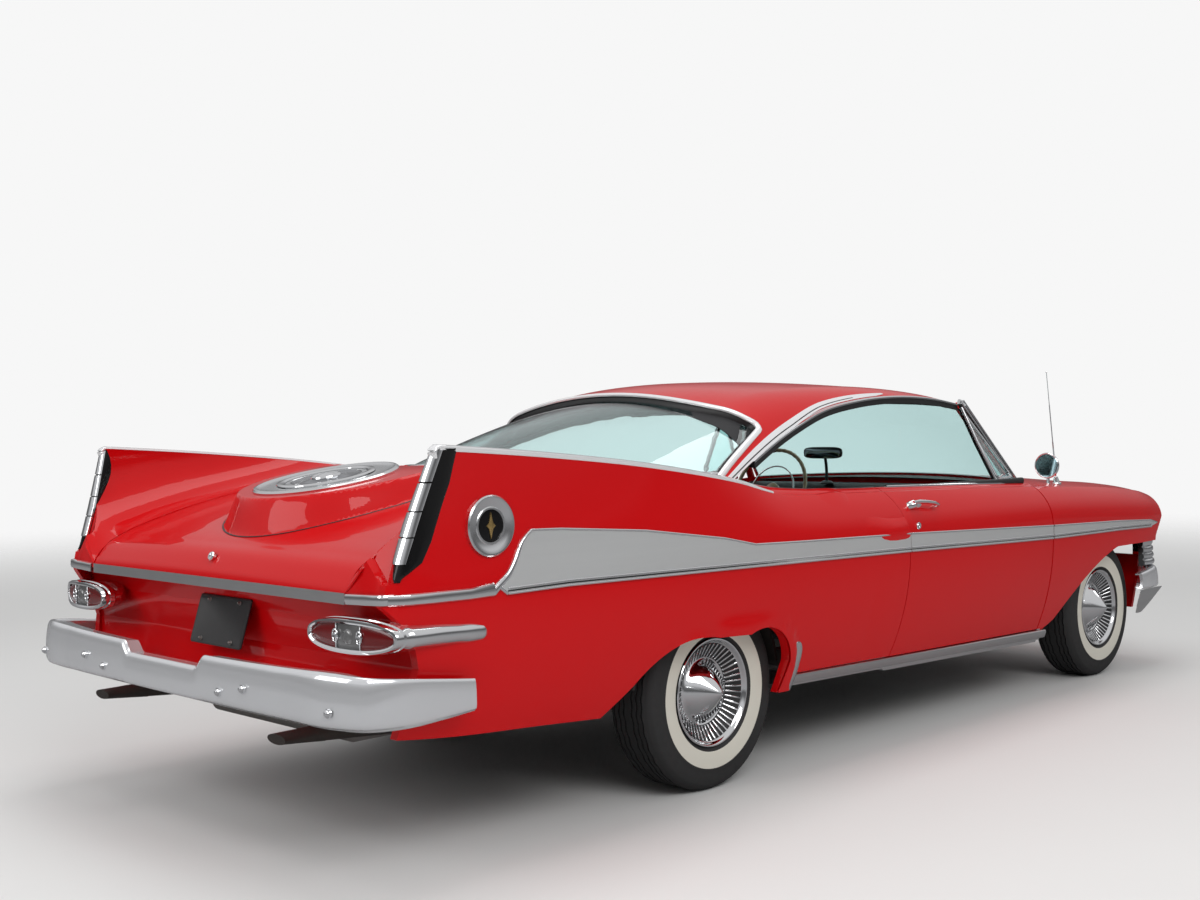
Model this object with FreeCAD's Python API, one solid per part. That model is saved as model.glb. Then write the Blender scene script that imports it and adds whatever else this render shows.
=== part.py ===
"""Two-door hardtop coupe of the late 1950s, with tail fins, built as separate panels and running gear.

Frame: X forward, Y to the car's left, Z up, millimetres. The origin is on the ground, below the middle of the
overall length and width. The body side, the hood, the lid and the roof are lofts through short tables of
cross-sections; seams, wheel arches and windows are cut from them with outlines drawn in side or plan view.
"""
import FreeCAD, Part
import math
import os

from FreeCAD import Vector

# ---------------------------------------------------------------- driving dimensions
length = 5334.0
half_length = length / 2
wheelbase = 2997.0
rear_overhang = 1630.0
rear_axle_x = rear_overhang - half_length
front_axle_x = rear_axle_x + wheelbase
front_track = 1547.0
rear_track = 1516.0
tyre_radius = 340.0
tyre_width = 205.0
tyre_bead_radius = 182.0
tyre_facets = 64
rim_width = 150.0
hub_height = tyre_radius

panel_gap = 5.0          # shut line between a moving panel and its neighbour
seat_gap = 0.3           # a fixed piece lies this far from what it sits on
skin = 26.0              # wall of a fender or quarter panel, with its folds
door_wall = 92.0         # outside of the door to its inner panel
sheet = 20.0             # hood, lid, roof and floor panels
roof_sheet = 24.0
glass = 6.0

trim_depth = 7.0         # bright mouldings stand this far proud of the paint

door_front_x = 1247.0
door_rear_x = 27.0
door_end_lean = 12.0     # degrees by which the door's rear face leans away from the lock pillar
sill_rear_z = 346.0
sill_slope = -0.0275
sill_height = 52.0
sill_depth = 90.0
sill_gap = 9.0           # under the door, whose lower edge rises to the rear as it swings
sill_y = 884.0
sill_rear_x = -660.0
sill_front_x = 1285.0
lid_front_x = -1530.0

windshield_base_side_x = 1290.0
windshield_base_centre_x = 1500.0
glass_header_side_x = -612.0
glass_header_side_y = 676.0
glass_header_centre_x = -668.0
glass_base_side_x = -850.0
glass_base_side_y = 808.0
glass_base_centre_x = -1480.0
glass_margin = 3.0

lamp_x = -2536.0
lamp_y = 798.0
lamp_z = 701.0
lamp_half_y = 178.0
lamp_half_z = 51.0
headlamp_x = 2568.0
headlamp_y = 684.0
bezel_half_y = 204.0
bezel_half_z = 92.0
headlamp_z = 716.0
headlamp_spacing = 168.0
headlamp_radius = 70.0
header_x = 2610.0
grille_x = 2560.0
grille_half_width = 478.0
grille_pitch = 44.0
grille_low = 570.0
grille_high = 772.0
notch_half_width = 250.0
fin_segments = 4
fin_trim_width = 36.0
fin_trim_depth = 26.0
medallion_x = -2160.0
medallion_y = 966.0
medallion_z = 989.0
medallion_radius = 88.0
tail_half_width = 925.0
plate_offset = 2440.0
plate_half_width = 152.0
plate_height = 152.0
plate_low = 592.0
plate_bolt_z = 728.0
plate_bolt_spacing = 178.0
plate_hole_radius = 3.5
antenna_x = 1590.0
antenna_y = 828.0

rail_y = 470.0
rail_end_x = -2362.0
front_rail_end_x = 2440.0
front_rail_y = 370.0
rail_width = 70.0
rail_depth = 105.0
rail_top = 308.0         # under the cabin, where the rails run level
iron_inset = 26.0
floor_sheet = 12.0
floor_half_width = 792.0
tunnel_half = 150.0
tunnel_height = 120.0
apron_y = 478.0
wheelhouse_inner_y = rear_track / 2 - tyre_width / 2 - 45.5
wheelhouse_radius = 385.0
spring_y = 560.0
spring_half = 590.0
spring_rise = 78.0
spring_drop = 44.0
spring_leaf = 8.0
axle_radius = 42.0
spindle_radius = 24.0
kingpin_y = front_track / 2 - 83.5
kingpin_radius = 18.0
steer_post_low = 288.0
steer_post_high = 470.0
pipe_z = 232.0
pipe_radius = 25.0
hub_bore = spindle_radius + seat_gap
cover_fins = 5
steering_wheel_radius = 212.0
steering_wheel_centre = (880.0, 360.0, 950.0)
column_rake = 22.0

vent_frame_share = 0.16
hump_half_width = 400.0
hump_fade_x = -1800.0    # ahead of this the form runs down to the deck
hump_front_z = 1118.0
disc_x = -2040.0
disc_z = 1105.0
disc_radius = 246.0
disc_tilt = 10.5

# ---------------------------------------------------------------- body side sections
# Each row is one cross-section of the left side, from the sill up and over to the seam with the hood, glass or lid:
# x, sill (y, z), low (y, z), wide (y, z), up (y, z), crest (y, z), lip y, roll (y, z), seam (y, z)
FENDER = [
    (1150, 883, 287, 961, 550, 978, 789, 960, 897, 897, 974, 880, 800, 991, 705, 999),
    (1500, 878, 285, 955, 550, 971, 782, 952, 885, 888, 962, 872, 795, 982, 700, 990),
    (1900, 870, 290, 945, 555, 960, 770, 940, 868, 875, 945, 858, 785, 964, 690, 972),
    (2250, 860, 300, 932, 560, 946, 758, 926, 848, 862, 922, 845, 770, 941, 675, 950),
    (2480, 850, 320, 918, 570, 930, 750, 910, 835, 848, 900, 830, 757, 918, 662, 928),
    (2610, 842, 335, 905, 575, 914, 745, 894, 826, 836, 878, 818, 745, 898, 650, 908),
]
DOOR = [
    (-150, 886, 292, 965, 550, 984, 795, 965, 905, 905, 1000, 898, 885, 1012, 868, 1018),
    (300, 885, 290, 964, 550, 983, 795, 964, 902, 903, 992, 896, 882, 1003, 865, 1009),
    (800, 883, 287, 962, 550, 980, 792, 961, 898, 899, 982, 892, 878, 993, 861, 999),
    (1300, 880, 285, 957, 550, 974, 786, 956, 891, 893, 970, 885, 871, 981, 854, 987),
]
QUARTER = [
    (80, 886, 292, 965, 550, 984, 795, 965, 907, 904, 996, 897, 883, 1008, 866, 1014),
    (-300, 886, 294, 965, 552, 984, 796, 966, 913, 908, 1003, 900, 887, 1014, 870, 1020),
    (-520, 887, 297, 965, 553, 984, 796, 966, 921, 914, 1006, 904, 889, 1021, 869, 1028),
    (-700, 888, 300, 966, 555, 984, 797, 966, 935, 922, 1014, 910, 893, 1032, 866, 1040),
    (-1000, 890, 312, 967, 560, 984, 798, 966, 960, 938, 1075, 920, 888, 1080, 845, 1084),
    (-1400, 894, 335, 968, 570, 984, 800, 965, 985, 955, 1134, 930, 872, 1112, 790, 1108),
    (-1900, 898, 370, 966, 585, 982, 803, 966, 1010, 974, 1183, 945, 868, 1070, 760, 1044),
    (-2300, 895, 398, 955, 600, 972, 805, 966, 1020, 986, 1211, 957, 868, 990, 755, 946),
    (-2400, 888, 408, 946, 602, 964, 805, 958, 1022, 988, 1217, 960, 866, 960, 755, 909),
    (-2460, 878, 415, 932, 604, 948, 805, 942, 1024, 989, 1220, 962, 849, 934, 755, 873),
    (-2505, 850, 420, 898, 606, 915, 805, 915, 1026, 990, 1224, 964, 833, 887, 755, 815),
]

# Roof shell: x, crown z, shoulder (y, z), edge (y, z). The edge is the drip rail over the side windows.
ROOF = [
    (960, 1396, 480, 1384, 666, 1352),
    (750, 1424, 490, 1408, 673, 1374),
    (400, 1452, 500, 1430, 677, 1383),
    (100, 1462, 505, 1432, 684, 1362),
    (-180, 1458, 515, 1418, 706, 1318),
    (-350, 1450, 530, 1400, 730, 1271),
    (-510, 1434, 550, 1370, 755, 1219),
    (-675, 1402, 580, 1318, 786, 1158),
    (-873, 1330, 640, 1226, 826, 1078),
    (-960, 1290, 660, 1180, 842, 1040),
]

# Hood: x, crown z, edge (y, z)
HOOD = [
    (1575, 1013, 696, 986),
    (1800, 1004, 690, 976),
    (2100, 984, 678, 958),
    (2400, 950, 662, 934),
    (2550, 922, 650, 915),
]

# Deck between the fins, behind the rear glass: x, crown z, edge (y, z)
DECK = [
    (-1400, 1140, 790, 1108),
    (-1600, 1112, 775, 1094),
    (-1900, 1062, 760, 1044),
    (-2150, 1003, 756, 990),
    (-2300, 956, 755, 946),
    (-2400, 916, 755, 909),
    (-2460, 882, 755, 873),
    (-2505, 822, 755, 815),
]


def arc_or_line(a, m, b):
    """An arc through three points, or a line where they are in line."""
    if (m - a).cross(b - a).Length < 1e-3 * (b - a).Length:
        return Part.makeLine(a, b)
    return Part.Arc(a, m, b).toShape()


def closed_wire(start, steps):
    """A closed wire from start. Each step is (point,) for a line or (middle, point) for an arc."""
    edges = []
    here = start
    for step in steps:
        target = step[-1]
        edges.append(Part.makeLine(here, target) if len(step) == 1 else arc_or_line(here, step[0], target))
        here = target
    if (here - start).Length > 1e-6:
        edges.append(Part.makeLine(here, start))
    return Part.Wire(edges)


def loft(wires):
    return Part.makeLoft(wires, True, False)


def mirrored(shape):
    """The same shape on the other side of the car."""
    return shape.mirror(Vector(0, 0, 0), Vector(0, 1, 0))


def side_prism(points, y0, y1):
    """A prism across the car from an outline in side view: each point is (x, z), or (x, z, x, z) for an arc by way
    of the first pair to the second."""
    at = [tuple(Vector(p[i], y0, p[i + 1]) for i in range(0, len(p), 2)) for p in points]
    wire = closed_wire(at[0][-1], at[1:])
    return Part.Face(wire).extrude(Vector(0, y1 - y0, 0))


def plan_prism(points, z0, z1):
    """A prism upwards from an outline in plan view, with points as for side_prism."""
    at = [tuple(Vector(p[i], p[i + 1], z0) for i in range(0, len(p), 2)) for p in points]
    wire = closed_wire(at[0][-1], at[1:])
    return Part.Face(wire).extrude(Vector(0, 0, z1 - z0))


def box(x0, x1, y0, y1, z0, z1):
    return Part.makeBox(x1 - x0, y1 - y0, z1 - z0, Vector(x0, y0, z0))


def tube(a, b, radius):
    """A solid round bar from a to b."""
    a, b = Vector(*a), Vector(*b)
    return Part.makeCylinder(radius, (b - a).Length, a, b - a)


def revolve(profile, centre, axis):
    """A solid of revolution. The profile is (along the axis, radius) pairs from centre."""
    axis = Vector(*axis)
    across = axis.cross(Vector(0, 1, 0)) if abs(axis.y) < 0.5 else Vector(0, 0, 1)
    centre = Vector(*centre)
    points = [centre + axis * a + across * r for a, r in profile]
    return Part.Face(Part.makePolygon(points + points[:1])).revolve(centre, axis, 360)


def fused(shapes):
    whole = shapes[0].multiFuse(shapes[1:]) if len(shapes) > 1 else shapes[0]
    return whole.removeSplitter()


def largest(shape):
    """The main solid of a cut shape, without the slivers that the cut leaves."""
    return max(shape.Solids, key=lambda solid: solid.Volume)


def under(shape, cover):
    """A post shortened to end a seat's gap below the cover that rests on it."""
    lowered = cover.copy()
    lowered.translate(Vector(0, 0, -seat_gap))
    return min(shape.cut(lowered).Solids, key=lambda solid: solid.BoundBox.ZMin)


def both(shape):
    """A shape and its mirror image, as separate solids of one node."""
    return Part.Compound([shape, mirrored(shape)])


def side_section(row, wall, proud=0.0):
    """One closed section of the body side, with its inner face a wall's thickness in."""
    (x, sill_y, sill_z, low_y, low_z, wide_y, wide_z, up_y, up_z, crest_y, crest_z, lip_y,
     roll_y, roll_z, seam_y, seam_z) = row
    p = lambda y, z: Vector(x, y, z)
    inner_top = min(up_z, seam_z) - sheet - 10
    return closed_wire(p(sill_y, sill_z), [
        (p(low_y, low_z), p(wide_y, wide_z)),
        (p(up_y, up_z), p(crest_y, crest_z)),
        (p(lip_y, crest_z + 2),),
        (p(roll_y, roll_z), p(seam_y, seam_z)),
        (p(seam_y, seam_z - sheet),),
        (p(min(up_y - wall - 12, seam_y + 200), inner_top),),
        (p(wide_y - wall, wide_z),),
        (p(low_y - wall, low_z),),
        (p(sill_y - wall, sill_z),),
    ])


def side_loft(table, wall):
    return loft([side_section(row, wall) for row in table])


# ---------------------------------------------------------------- seams and openings, in side view (x, z)
def sill_line(x):
    """Height of the joint between the sill and the panels above it."""
    return sill_rear_z + (x - door_rear_x) * sill_slope


def door_outline(grow):
    """The door's outline in side view, grown by a shut line where it is used as a cutter."""
    front, rear = door_front_x + grow, door_rear_x - grow
    return [
        (front - 5, sill_line(front) - grow),
        (front + 3, 560, front, 800),
        (front - 8, 905, front - 60, 1080),
        (rear - 130, 1080),
        (rear - 20, 905, rear, 800),
        (rear - 12, 560, rear - 46, sill_line(rear) - grow),
    ]


FRONT_ARCH = [
    (1180, 180), (1284, 300), (1385, 342), (1640, 524, 1985, 648), (2385, 646), (2760, 646), (2760, 180),
]
REAR_ARCH = [
    (-1790, 180), (-1646, 354), (-1533, 442), (-1350, 549, -1147, 555), (-975, 546),
    (-800, 535, -712, 420), (-730, 300), (-730, 180),
]
FRONT_END = [(2598, 1000), (2603, 907), (2637, 795), (2584, 744), (2505, 675), (2500, 600), (2900, 600), (2900, 1000)]
REAR_END = [(-2335, 1252), (-2463, 850), (-2490, 845), (-2504, 788), (-2428, 700), (-2404, 610), (-2424, 520),
            (-2440, 380), (-2800, 380), (-2800, 1252)]
FIN_FOOT = [(-2335, 1352), (-2463, 950), (-2490, 945), (-2504, 788), (-2428, 700), (-2404, 610), (-2424, 520),
            (-2440, 380), (-2800, 380), (-2800, 1352)]
fin_foot_y = 895.0       # inside this the body runs on from the fin's foot to the lid
fin_foot_inner_y = 800.0


def tail_cutters():
    """Behind the fin and the tail: square across the fin, and rising inwards over its foot."""
    wires = []
    for outline, y in ((REAR_END, fin_foot_y), (FIN_FOOT, fin_foot_inner_y)):
        corners = [Vector(x, y, z) for x, z in outline]
        wires.append(Part.makePolygon(corners + corners[:1]))
    slope = Part.makeLoft(wires, True, True)
    return [side_prism(REAR_END, fin_foot_y - 0.01, 1100), slope, side_prism(FIN_FOOT, 560, fin_foot_inner_y + 0.01)]


def across(outline):
    """A cutter through the left body side."""
    return side_prism(outline, 560, 1100)


def sill_cutter():
    """Everything below the joint with the sill, between the wheel arches."""
    rear, front = sill_rear_x, sill_front_x
    return across([(rear, 150), (rear, sill_line(rear)), (front, sill_line(front)), (front, 150)])


def fender():
    panel = side_loft(FENDER, skin)
    for outline in (door_outline(panel_gap), FRONT_ARCH, FRONT_END):
        panel = panel.cut(across(outline))
    panel = panel.cut(sill_cutter())
    return panel.cut(box(1000, door_front_x - 75, 600, 1100, 200, 1100))


def quarter():
    panel = side_loft(QUARTER, skin)
    for outline in (door_outline(panel_gap), REAR_ARCH):
        panel = panel.cut(across(outline))
    for cutter in tail_cutters():
        panel = panel.cut(cutter)
    return panel.cut(sill_cutter()).cut(box(door_rear_x - 60, 100, 600, 1100, 200, 700))


def door_shell():
    shell = side_loft(DOOR, door_wall).common(across(door_outline(0)))
    lean = math.tan(math.radians(door_end_lean)) * door_wall
    outer, inner = 1000, 1000 - door_wall - 130
    rear = plan_prism([(door_rear_x - 200, outer), (door_rear_x - 60, outer), (door_rear_x - 60 + lean * 2, inner),
                       (door_rear_x - 200, inner)], 200, 1100)
    return shell.cut(rear.cut(box(-500, 500, 905, 1100, 100, 1200)))


def sill():
    """The box section under the door, from wheel arch to wheel arch."""
    wires = []
    door_starts, door_ends = door_rear_x - 60, door_front_x + 6
    for x, clear in ((sill_rear_x + seat_gap, seat_gap), (door_starts, seat_gap), (door_starts + 10, sill_gap),
                     (door_ends - 4, sill_gap), (door_ends, seat_gap), (sill_front_x - seat_gap, seat_gap)):
        top = sill_line(x) - clear
        bottom = top - sill_height
        outer = sill_y
        wires.append(Part.makePolygon([Vector(x, y, z) for y, z in (
            (outer, bottom), (outer + 6, top), (outer - sill_depth, top), (outer - sill_depth, bottom),
            (outer, bottom))]))
    return Part.makeLoft(wires, True, True)


# ---------------------------------------------------------------- panels across the car
def cross_arc(x, crown, edge_y, edge_z, down):
    """A section of a crowned panel: an arc over the top, the same arc a sheet's thickness below."""
    left, right = Vector(x, edge_y, edge_z), Vector(x, -edge_y, edge_z)
    drop = Vector(0, 0, -down)
    top = Vector(x, 0, crown)
    return closed_wire(left, [(top, right), (right + drop,), (top + drop, left + drop)])


def crowned(table, down, inset=0.0):
    return loft([cross_arc(x, crown, y - inset, z, down) for x, crown, y, z in table])


def roof():
    wires = []
    for x, crown, shoulder_y, shoulder_z, edge_y, edge_z in ROOF:
        p = lambda y, z: Vector(x, y, z)
        mid_y = (shoulder_y + edge_y) / 2 + 10
        mid_z = (shoulder_z + edge_z) / 2 + 0.12 * (shoulder_z - edge_z) + 4
        wires.append(closed_wire(p(-shoulder_y, shoulder_z), [
            (p(0, crown), p(shoulder_y, shoulder_z)),
            (p(mid_y, mid_z), p(edge_y, edge_z)),
            (p(edge_y - roof_sheet, edge_z - 8),),
            (p(mid_y - roof_sheet, mid_z - roof_sheet), p(shoulder_y - 10, shoulder_z - roof_sheet)),
            (p(0, crown - roof_sheet), p(-shoulder_y + 10, shoulder_z - roof_sheet)),
            (p(-mid_y + roof_sheet, mid_z - roof_sheet), p(-edge_y + roof_sheet, edge_z - 8)),
            (p(-edge_y, edge_z),),
            (p(-mid_y, mid_z),  p(-shoulder_y, shoulder_z)),
        ]))
    shell = loft(wires)
    hx, hy = glass_header_side_x, glass_header_side_y + glass_margin
    bx, by = glass_base_side_x, glass_base_side_y + glass_margin
    opening = plan_prism([(bx - 400, -by - 40), (bx, -by), (hx, -hy), (glass_header_centre_x, 0, hx, hy), (bx, by),
                          (bx - 400, by + 40)], 900, 1600)
    return shell.cut(opening)


def pillar(a, b, width, depth):
    """A windshield pillar: a flat bar from a to b, on the left side."""
    a, b = Vector(*a), Vector(*b)
    along = (b - a).normalize()
    out = Vector(0, 1, 0)
    side = along.cross(out).normalize()
    out = side.cross(along).normalize()
    corners = [side * (sx * width / 2) + out * (sy * depth / 2) for sx, sy in
               ((-1, -1), (1, -1), (1, 1), (-1, 1), (-1, -1))]
    return loft([Part.makePolygon([end + c for c in corners]) for end in (a, b)])


def glass_band(rows):
    """Curved glass lofted through arcs: each row is (side x, side y, side z, centre x, centre z)."""
    wires = []
    for side_x, side_y, side_z, centre_x, centre_z in rows:
        left, right = Vector(side_x, side_y, side_z), Vector(side_x, -side_y, side_z)
        centre = Vector(centre_x, 0, centre_z)
        inward = (Vector(side_x, 0, side_z) - centre).normalize() * glass
        shrink = Vector(0, -glass, 0)
        wires.append(closed_wire(left, [
            (centre, right), (right - shrink,), (centre + inward, left + shrink)]))
    return loft(wires)


def windshield():
    return glass_band([
        (windshield_base_side_x, 752, 992, windshield_base_centre_x, 1014),
        (1128, 714, 1170, 1270, 1215),
        (963, 662, 1348, 1030, 1388),
    ])


def backlight():
    return glass_band([
        (glass_header_side_x, glass_header_side_y, 1262, glass_header_centre_x, 1384),
        (-735, 752, 1168, -1120, 1262),
        (glass_base_side_x, glass_base_side_y, 1084, glass_base_centre_x, 1128),
    ])


def hood():
    return crowned([(x, c, y - panel_gap, z) for x, c, y, z in HOOD], sheet)


def deck_outline_front():
    """Plan outline ahead of the lid's front seam."""
    return [(-1200, -900), (lid_front_x + 60, -900), (lid_front_x - 60, 0, lid_front_x + 60, 900), (-1200, 900)]


def deck_lid():
    table = [(x, c, y - panel_gap, z) for x, c, y, z in DECK]
    lid = crowned(table, sheet).cut(plan_prism(deck_outline_front(), 800, 1400))
    lid = lid.fuse(hump())
    return lid.cut(side_prism([(-2476, 860), (-2488, 845), (-2500, 797), (-2500, 700), (-2600, 700), (-2600, 900)],
                              -800, 800)).removeSplitter()


def hump():
    """The raised spare-wheel form on the lid: a horseshoe with sloping sides, fading out towards the glass."""
    wires = []
    for half, rear, top in ((hump_half_width, -2368, 0), (hump_half_width - 45, -2318, 1)):
        front = lid_front_x + 40
        def at(x, y):
            rise = (deck_height(x) - 12) if not top else hump_height(x)
            return Vector(x, y, rise)
        wires.append(closed_wire(at(front, half), [
            (at(rear + half, half),), (at(rear, 0), at(rear + half, -half)), (at(front, -half),)]))
    fade = [(hump_fade_x, hump_height(hump_fade_x)), (lid_front_x + 100, hump_front_z), (lid_front_x + 100, 1400),
            (hump_fade_x, 1400)]
    form = loft(wires).cut(side_prism(fade, -600, 600))
    return form.cut(plan_prism([(p[0] - panel_gap,) + tuple(p[1:]) for p in deck_outline_front()], 800, 1400))


def deck_height(x):
    """A straight line along the deck, a little under its crown."""
    return 930 + (x + 2368) * 0.225


def hump_height(x):
    return disc_z + (x - disc_x) * math.tan(math.radians(disc_tilt)) - seat_gap


def rear_deck():
    """The fixed panel between the rear glass and the lid."""
    panel = crowned(DECK, sheet)
    shelf = crowned([(-900, 1078, 838, 1078), (-1100, 1110, 828, 1092), (-1400, 1140, 790, 1108)], sheet)
    panel = panel.fuse(shelf)
    keep = plan_prism([(-900, -900), (lid_front_x + 60 + panel_gap, -900),
                       (lid_front_x - 60 + panel_gap, 0, lid_front_x + 60 + panel_gap, 900), (-900, 900)], 800, 1400)
    return panel.common(keep)


# ---------------------------------------------------------------- bumpers, lamps and bright parts
def blade(stations, section):
    """A bumper blade lofted through stations: (x, y, outward heading in degrees, low z, high z, depth)."""
    wires = []
    for x, y, heading, low, high, depth in stations:
        out = Vector(math.cos(math.radians(heading)), math.sin(math.radians(heading)), 0)
        at = lambda inward, share: (Vector(x, y, low + share * (high - low)) - out * (inward * depth))
        wires.append(closed_wire(at(*section[0]), [tuple(at(*p) for p in step) for step in section[1:]]))
    return loft(wires)


BUMPER_SECTION = [
    (1.0, 0.06), ((0.35, 0.02), (0.06, 0.22)), ((0.0, 0.5), (0.06, 0.78)), ((0.35, 0.98), (1.0, 0.94)),
    ((1.0, 0.80),), ((0.42, 0.74),), ((0.42, 0.26),), ((1.0, 0.20),),
]


def mirrored_stations(half):
    """Stations from the right end to the left end, from a table of the left half that starts at the middle."""
    right = [(x, -y, -heading, low, high, depth) for x, y, heading, low, high, depth in reversed(half[1:])]
    return right + half


def rear_bumper():
    half = [
        (-half_length, 0, 180, 468, 606, 66),
        (-half_length + 2, 330, 179, 468, 606, 66),
        (-half_length + 12, 640, 176, 466, 610, 70),
        (-half_length + 34, 850, 162, 462, 612, 78),
        (-half_length + 88, 950, 132, 462, 604, 60),
        (-half_length + 190, 988, 104, 464, 594, 30),
        (-half_length + 310, 997, 95, 470, 580, 26),
        (-half_length + 430, 997, 91, 478, 566, 26),
    ]
    bar = blade(mirrored_stations(half), BUMPER_SECTION)
    notch = Part.Face(closed_wire(Vector(-3000, -notch_half_width, 700), [
        (Vector(-3000, -notch_half_width, 640),),
        (Vector(-3000, -notch_half_width + 50, 556), Vector(-3000, -notch_half_width + 110, 548)),
        (Vector(-3000, notch_half_width - 110, 548),),
        (Vector(-3000, notch_half_width - 50, 556), Vector(-3000, notch_half_width, 640)),
        (Vector(-3000, notch_half_width, 700),),
    ])).extrude(Vector(800, 0, 0))
    return bar.cut(notch).fuse(bumper_irons(rail_end_x - seat_gap, -half_length, rail_y, 408)).removeSplitter()


def front_bumper():
    half = [
        (half_length, 0, 0, 392, 520, 70),
        (half_length - 4, 330, 1, 392, 520, 70),
        (half_length - 22, 640, 6, 392, 520, 72),
        (half_length - 70, 850, 24, 394, 516, 78),
        (half_length - 160, 935, 58, 398, 510, 74),
        (half_length - 300, 962, 84, 404, 500, 56),
        (half_length - 420, 966, 88, 412, 490, 40),
    ]
    bar = blade(mirrored_stations(half), BUMPER_SECTION)
    irons = bumper_irons(front_rail_end_x + seat_gap, half_length, front_rail_y, 398)
    return bar.fuse(irons).removeSplitter()


def bumper_irons(end_x, blade_x, y, z):
    """Angle irons from the ends of the frame rails up to the back of a bumper blade."""
    inward = 1 if end_x > blade_x else -1
    face = blade_x + inward * iron_inset
    level = box(min(face, end_x), max(face, end_x), y - 22, y + 22, z, z + 28)
    upright = box(min(face, face + inward * 14), max(face, face + inward * 14), y - 22, y + 22, z, z + 110)
    return both(level.fuse(upright))


def oval(x, y, z, half_y, half_z):
    """An elliptical wire across the car."""
    major = Vector(x, y + half_y, z)
    minor = Vector(x, y, z + half_z)
    return Part.Wire([Part.Ellipse(major, minor, Vector(x, y, z)).toShape()])


def tail_lamp_housing(body):
    """The bright bezel and its tail, which runs forward along the quarter panel."""
    shell = loft([oval(lamp_x - 4, lamp_y, lamp_z, lamp_half_y, lamp_half_z),
                  oval(lamp_x + 60, lamp_y + 8, lamp_z, lamp_half_y + 4, lamp_half_z + 2),
                  oval(lamp_x + 170, lamp_y + 40, lamp_z - 4, lamp_half_y - 20, lamp_half_z - 10),
                  oval(lamp_x + 330, lamp_y + 130, lamp_z - 8, lamp_half_y - 115, lamp_half_z - 24)])
    bowl = loft([oval(lamp_x - 10, lamp_y, lamp_z, lamp_half_y - 14, lamp_half_z - 12),
                 oval(lamp_x + 34, lamp_y, lamp_z, lamp_half_y - 22, lamp_half_z - 18)])
    return shell.cut(body).cut(bowl)


def tail_lamp_lens():
    face = loft([oval(lamp_x - 1, lamp_y, lamp_z, lamp_half_y - 17, lamp_half_z - 14),
                 oval(lamp_x + 34 - seat_gap, lamp_y, lamp_z, lamp_half_y - 23, lamp_half_z - 19)])
    gaps = [box(lamp_x - 10, lamp_x + 60, lamp_y + d - 1, lamp_y + d + 1, lamp_z - 90, lamp_z + 90) for d in (-62, 62)]
    return face.cut(gaps[0]).cut(gaps[1])


def headlamp_pods(body):
    """Paired headlamps in an oval bezel under each fender's brow."""
    pod = loft([oval(x, headlamp_y, headlamp_z, bezel_half_y, bezel_half_z) for x in (headlamp_x, headlamp_x - 90)])
    for side in (-1, 1):
        y = headlamp_y + side * headlamp_spacing / 2
        pod = pod.cut(Part.makeCylinder(headlamp_radius + 6, 60, Vector(headlamp_x - 44, y, headlamp_z), Vector(1, 0, 0)))
    return pod.cut(body)


def headlamp(y):
    r = headlamp_radius
    dome = revolve([(0, 0), (0, r + 4), (8, r + 4), (10, r), (20, r * 0.75), (27, r * 0.4), (30, 0)],
                   (headlamp_x - 44 + seat_gap, y, headlamp_z), (1, 0, 0))
    return dome


def grille(pods):
    """An egg-crate of thin upright and level bars across the nose."""
    bars = []
    count = int(2 * grille_half_width / grille_pitch)
    for i in range(count + 1):
        y = -grille_half_width + i * 2 * grille_half_width / count
        bars.append(box(grille_x - 30, grille_x, y - 2, y + 2, grille_low, grille_high))
    levels = 5
    for i in range(levels + 1):
        z = grille_low + i * (grille_high - grille_low) / levels
        bars.append(box(grille_x - 34, grille_x + 4, -grille_half_width - 40, grille_half_width + 40, z - 3, z + 3))
    crate = fused(bars).cut(pods)
    return largest(crate)


def front_panel(body):
    """The body-coloured header under the hood, and the painted pan behind the bumper."""
    wires = []
    for y, low in ((-740, 790), (-400, 782), (0, 780), (400, 782), (740, 790)):
        x = header_x
        p = lambda dx, z: Vector(x + dx, y, z)
        wires.append(closed_wire(p(-54, 914), [
            (p(-12, 896), p(14, 850)), (p(18, 820), p(0, low)), (p(-20, low),), (p(-20, 840), p(-54, 880))]))
    header = loft(wires)
    top = grille_low - 3 - seat_gap
    pan = loft([closed_wire(Vector(x, y, top), [
        (Vector(x - 40, y, 420), Vector(x - 90, y, 300)), (Vector(x - 112, y, 300),),
        (Vector(x - 62, y, 420), Vector(x - 22, y, top))])
        for x, y in ((2480, -850), (2530, -500), (2545, 0), (2530, 500), (2480, 850))])
    slots = both(box(2300, 2620, front_rail_y - 30, front_rail_y + 30, 380, 600))
    return Part.Compound([largest(header.cut(body)), largest(pan.cut(body).cut(slots))])


def fender_vents():
    """Bright strips stacked under the fender's nose, above the end of the bumper."""
    wires = []
    for x, y, heading in ((2340, 934, 88), (2440, 926, 84), (2530, 905, 66), (2580, 860, 30), (2590, 780, 6)):
        out = Vector(math.cos(math.radians(heading)), math.sin(math.radians(heading)), 0)
        at = lambda inward, z: Vector(x, y, z) - out * inward
        wires.append(closed_wire(at(30, 522), [
            (at(4, 522),), (at(-2, 536), at(4, 550),), (at(10, 554),), (at(2, 568), at(6, 582)), (at(12, 586),),
            (at(4, 600), at(8, 614)), (at(14, 618),), (at(6, 640), at(10, 662)), (at(30, 662),)]))
    return loft(wires)


SPEAR_TOP = [(-2136, 814), (-2086, 854), (-2034, 940, -2000, 968), (-1880, 964), (-1507, 936), (-1123, 887),
             (-960, 856), (-655, 848), (29, 833), (1238, 795), (1986, 775), (2414, 756), (2520, 737)]
SPEAR_BOTTOM = [(2412, 717), (1985, 726), (1236, 732), (20, 759), (-925, 775), (-1862, 790), (-2106, 787)]


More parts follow.
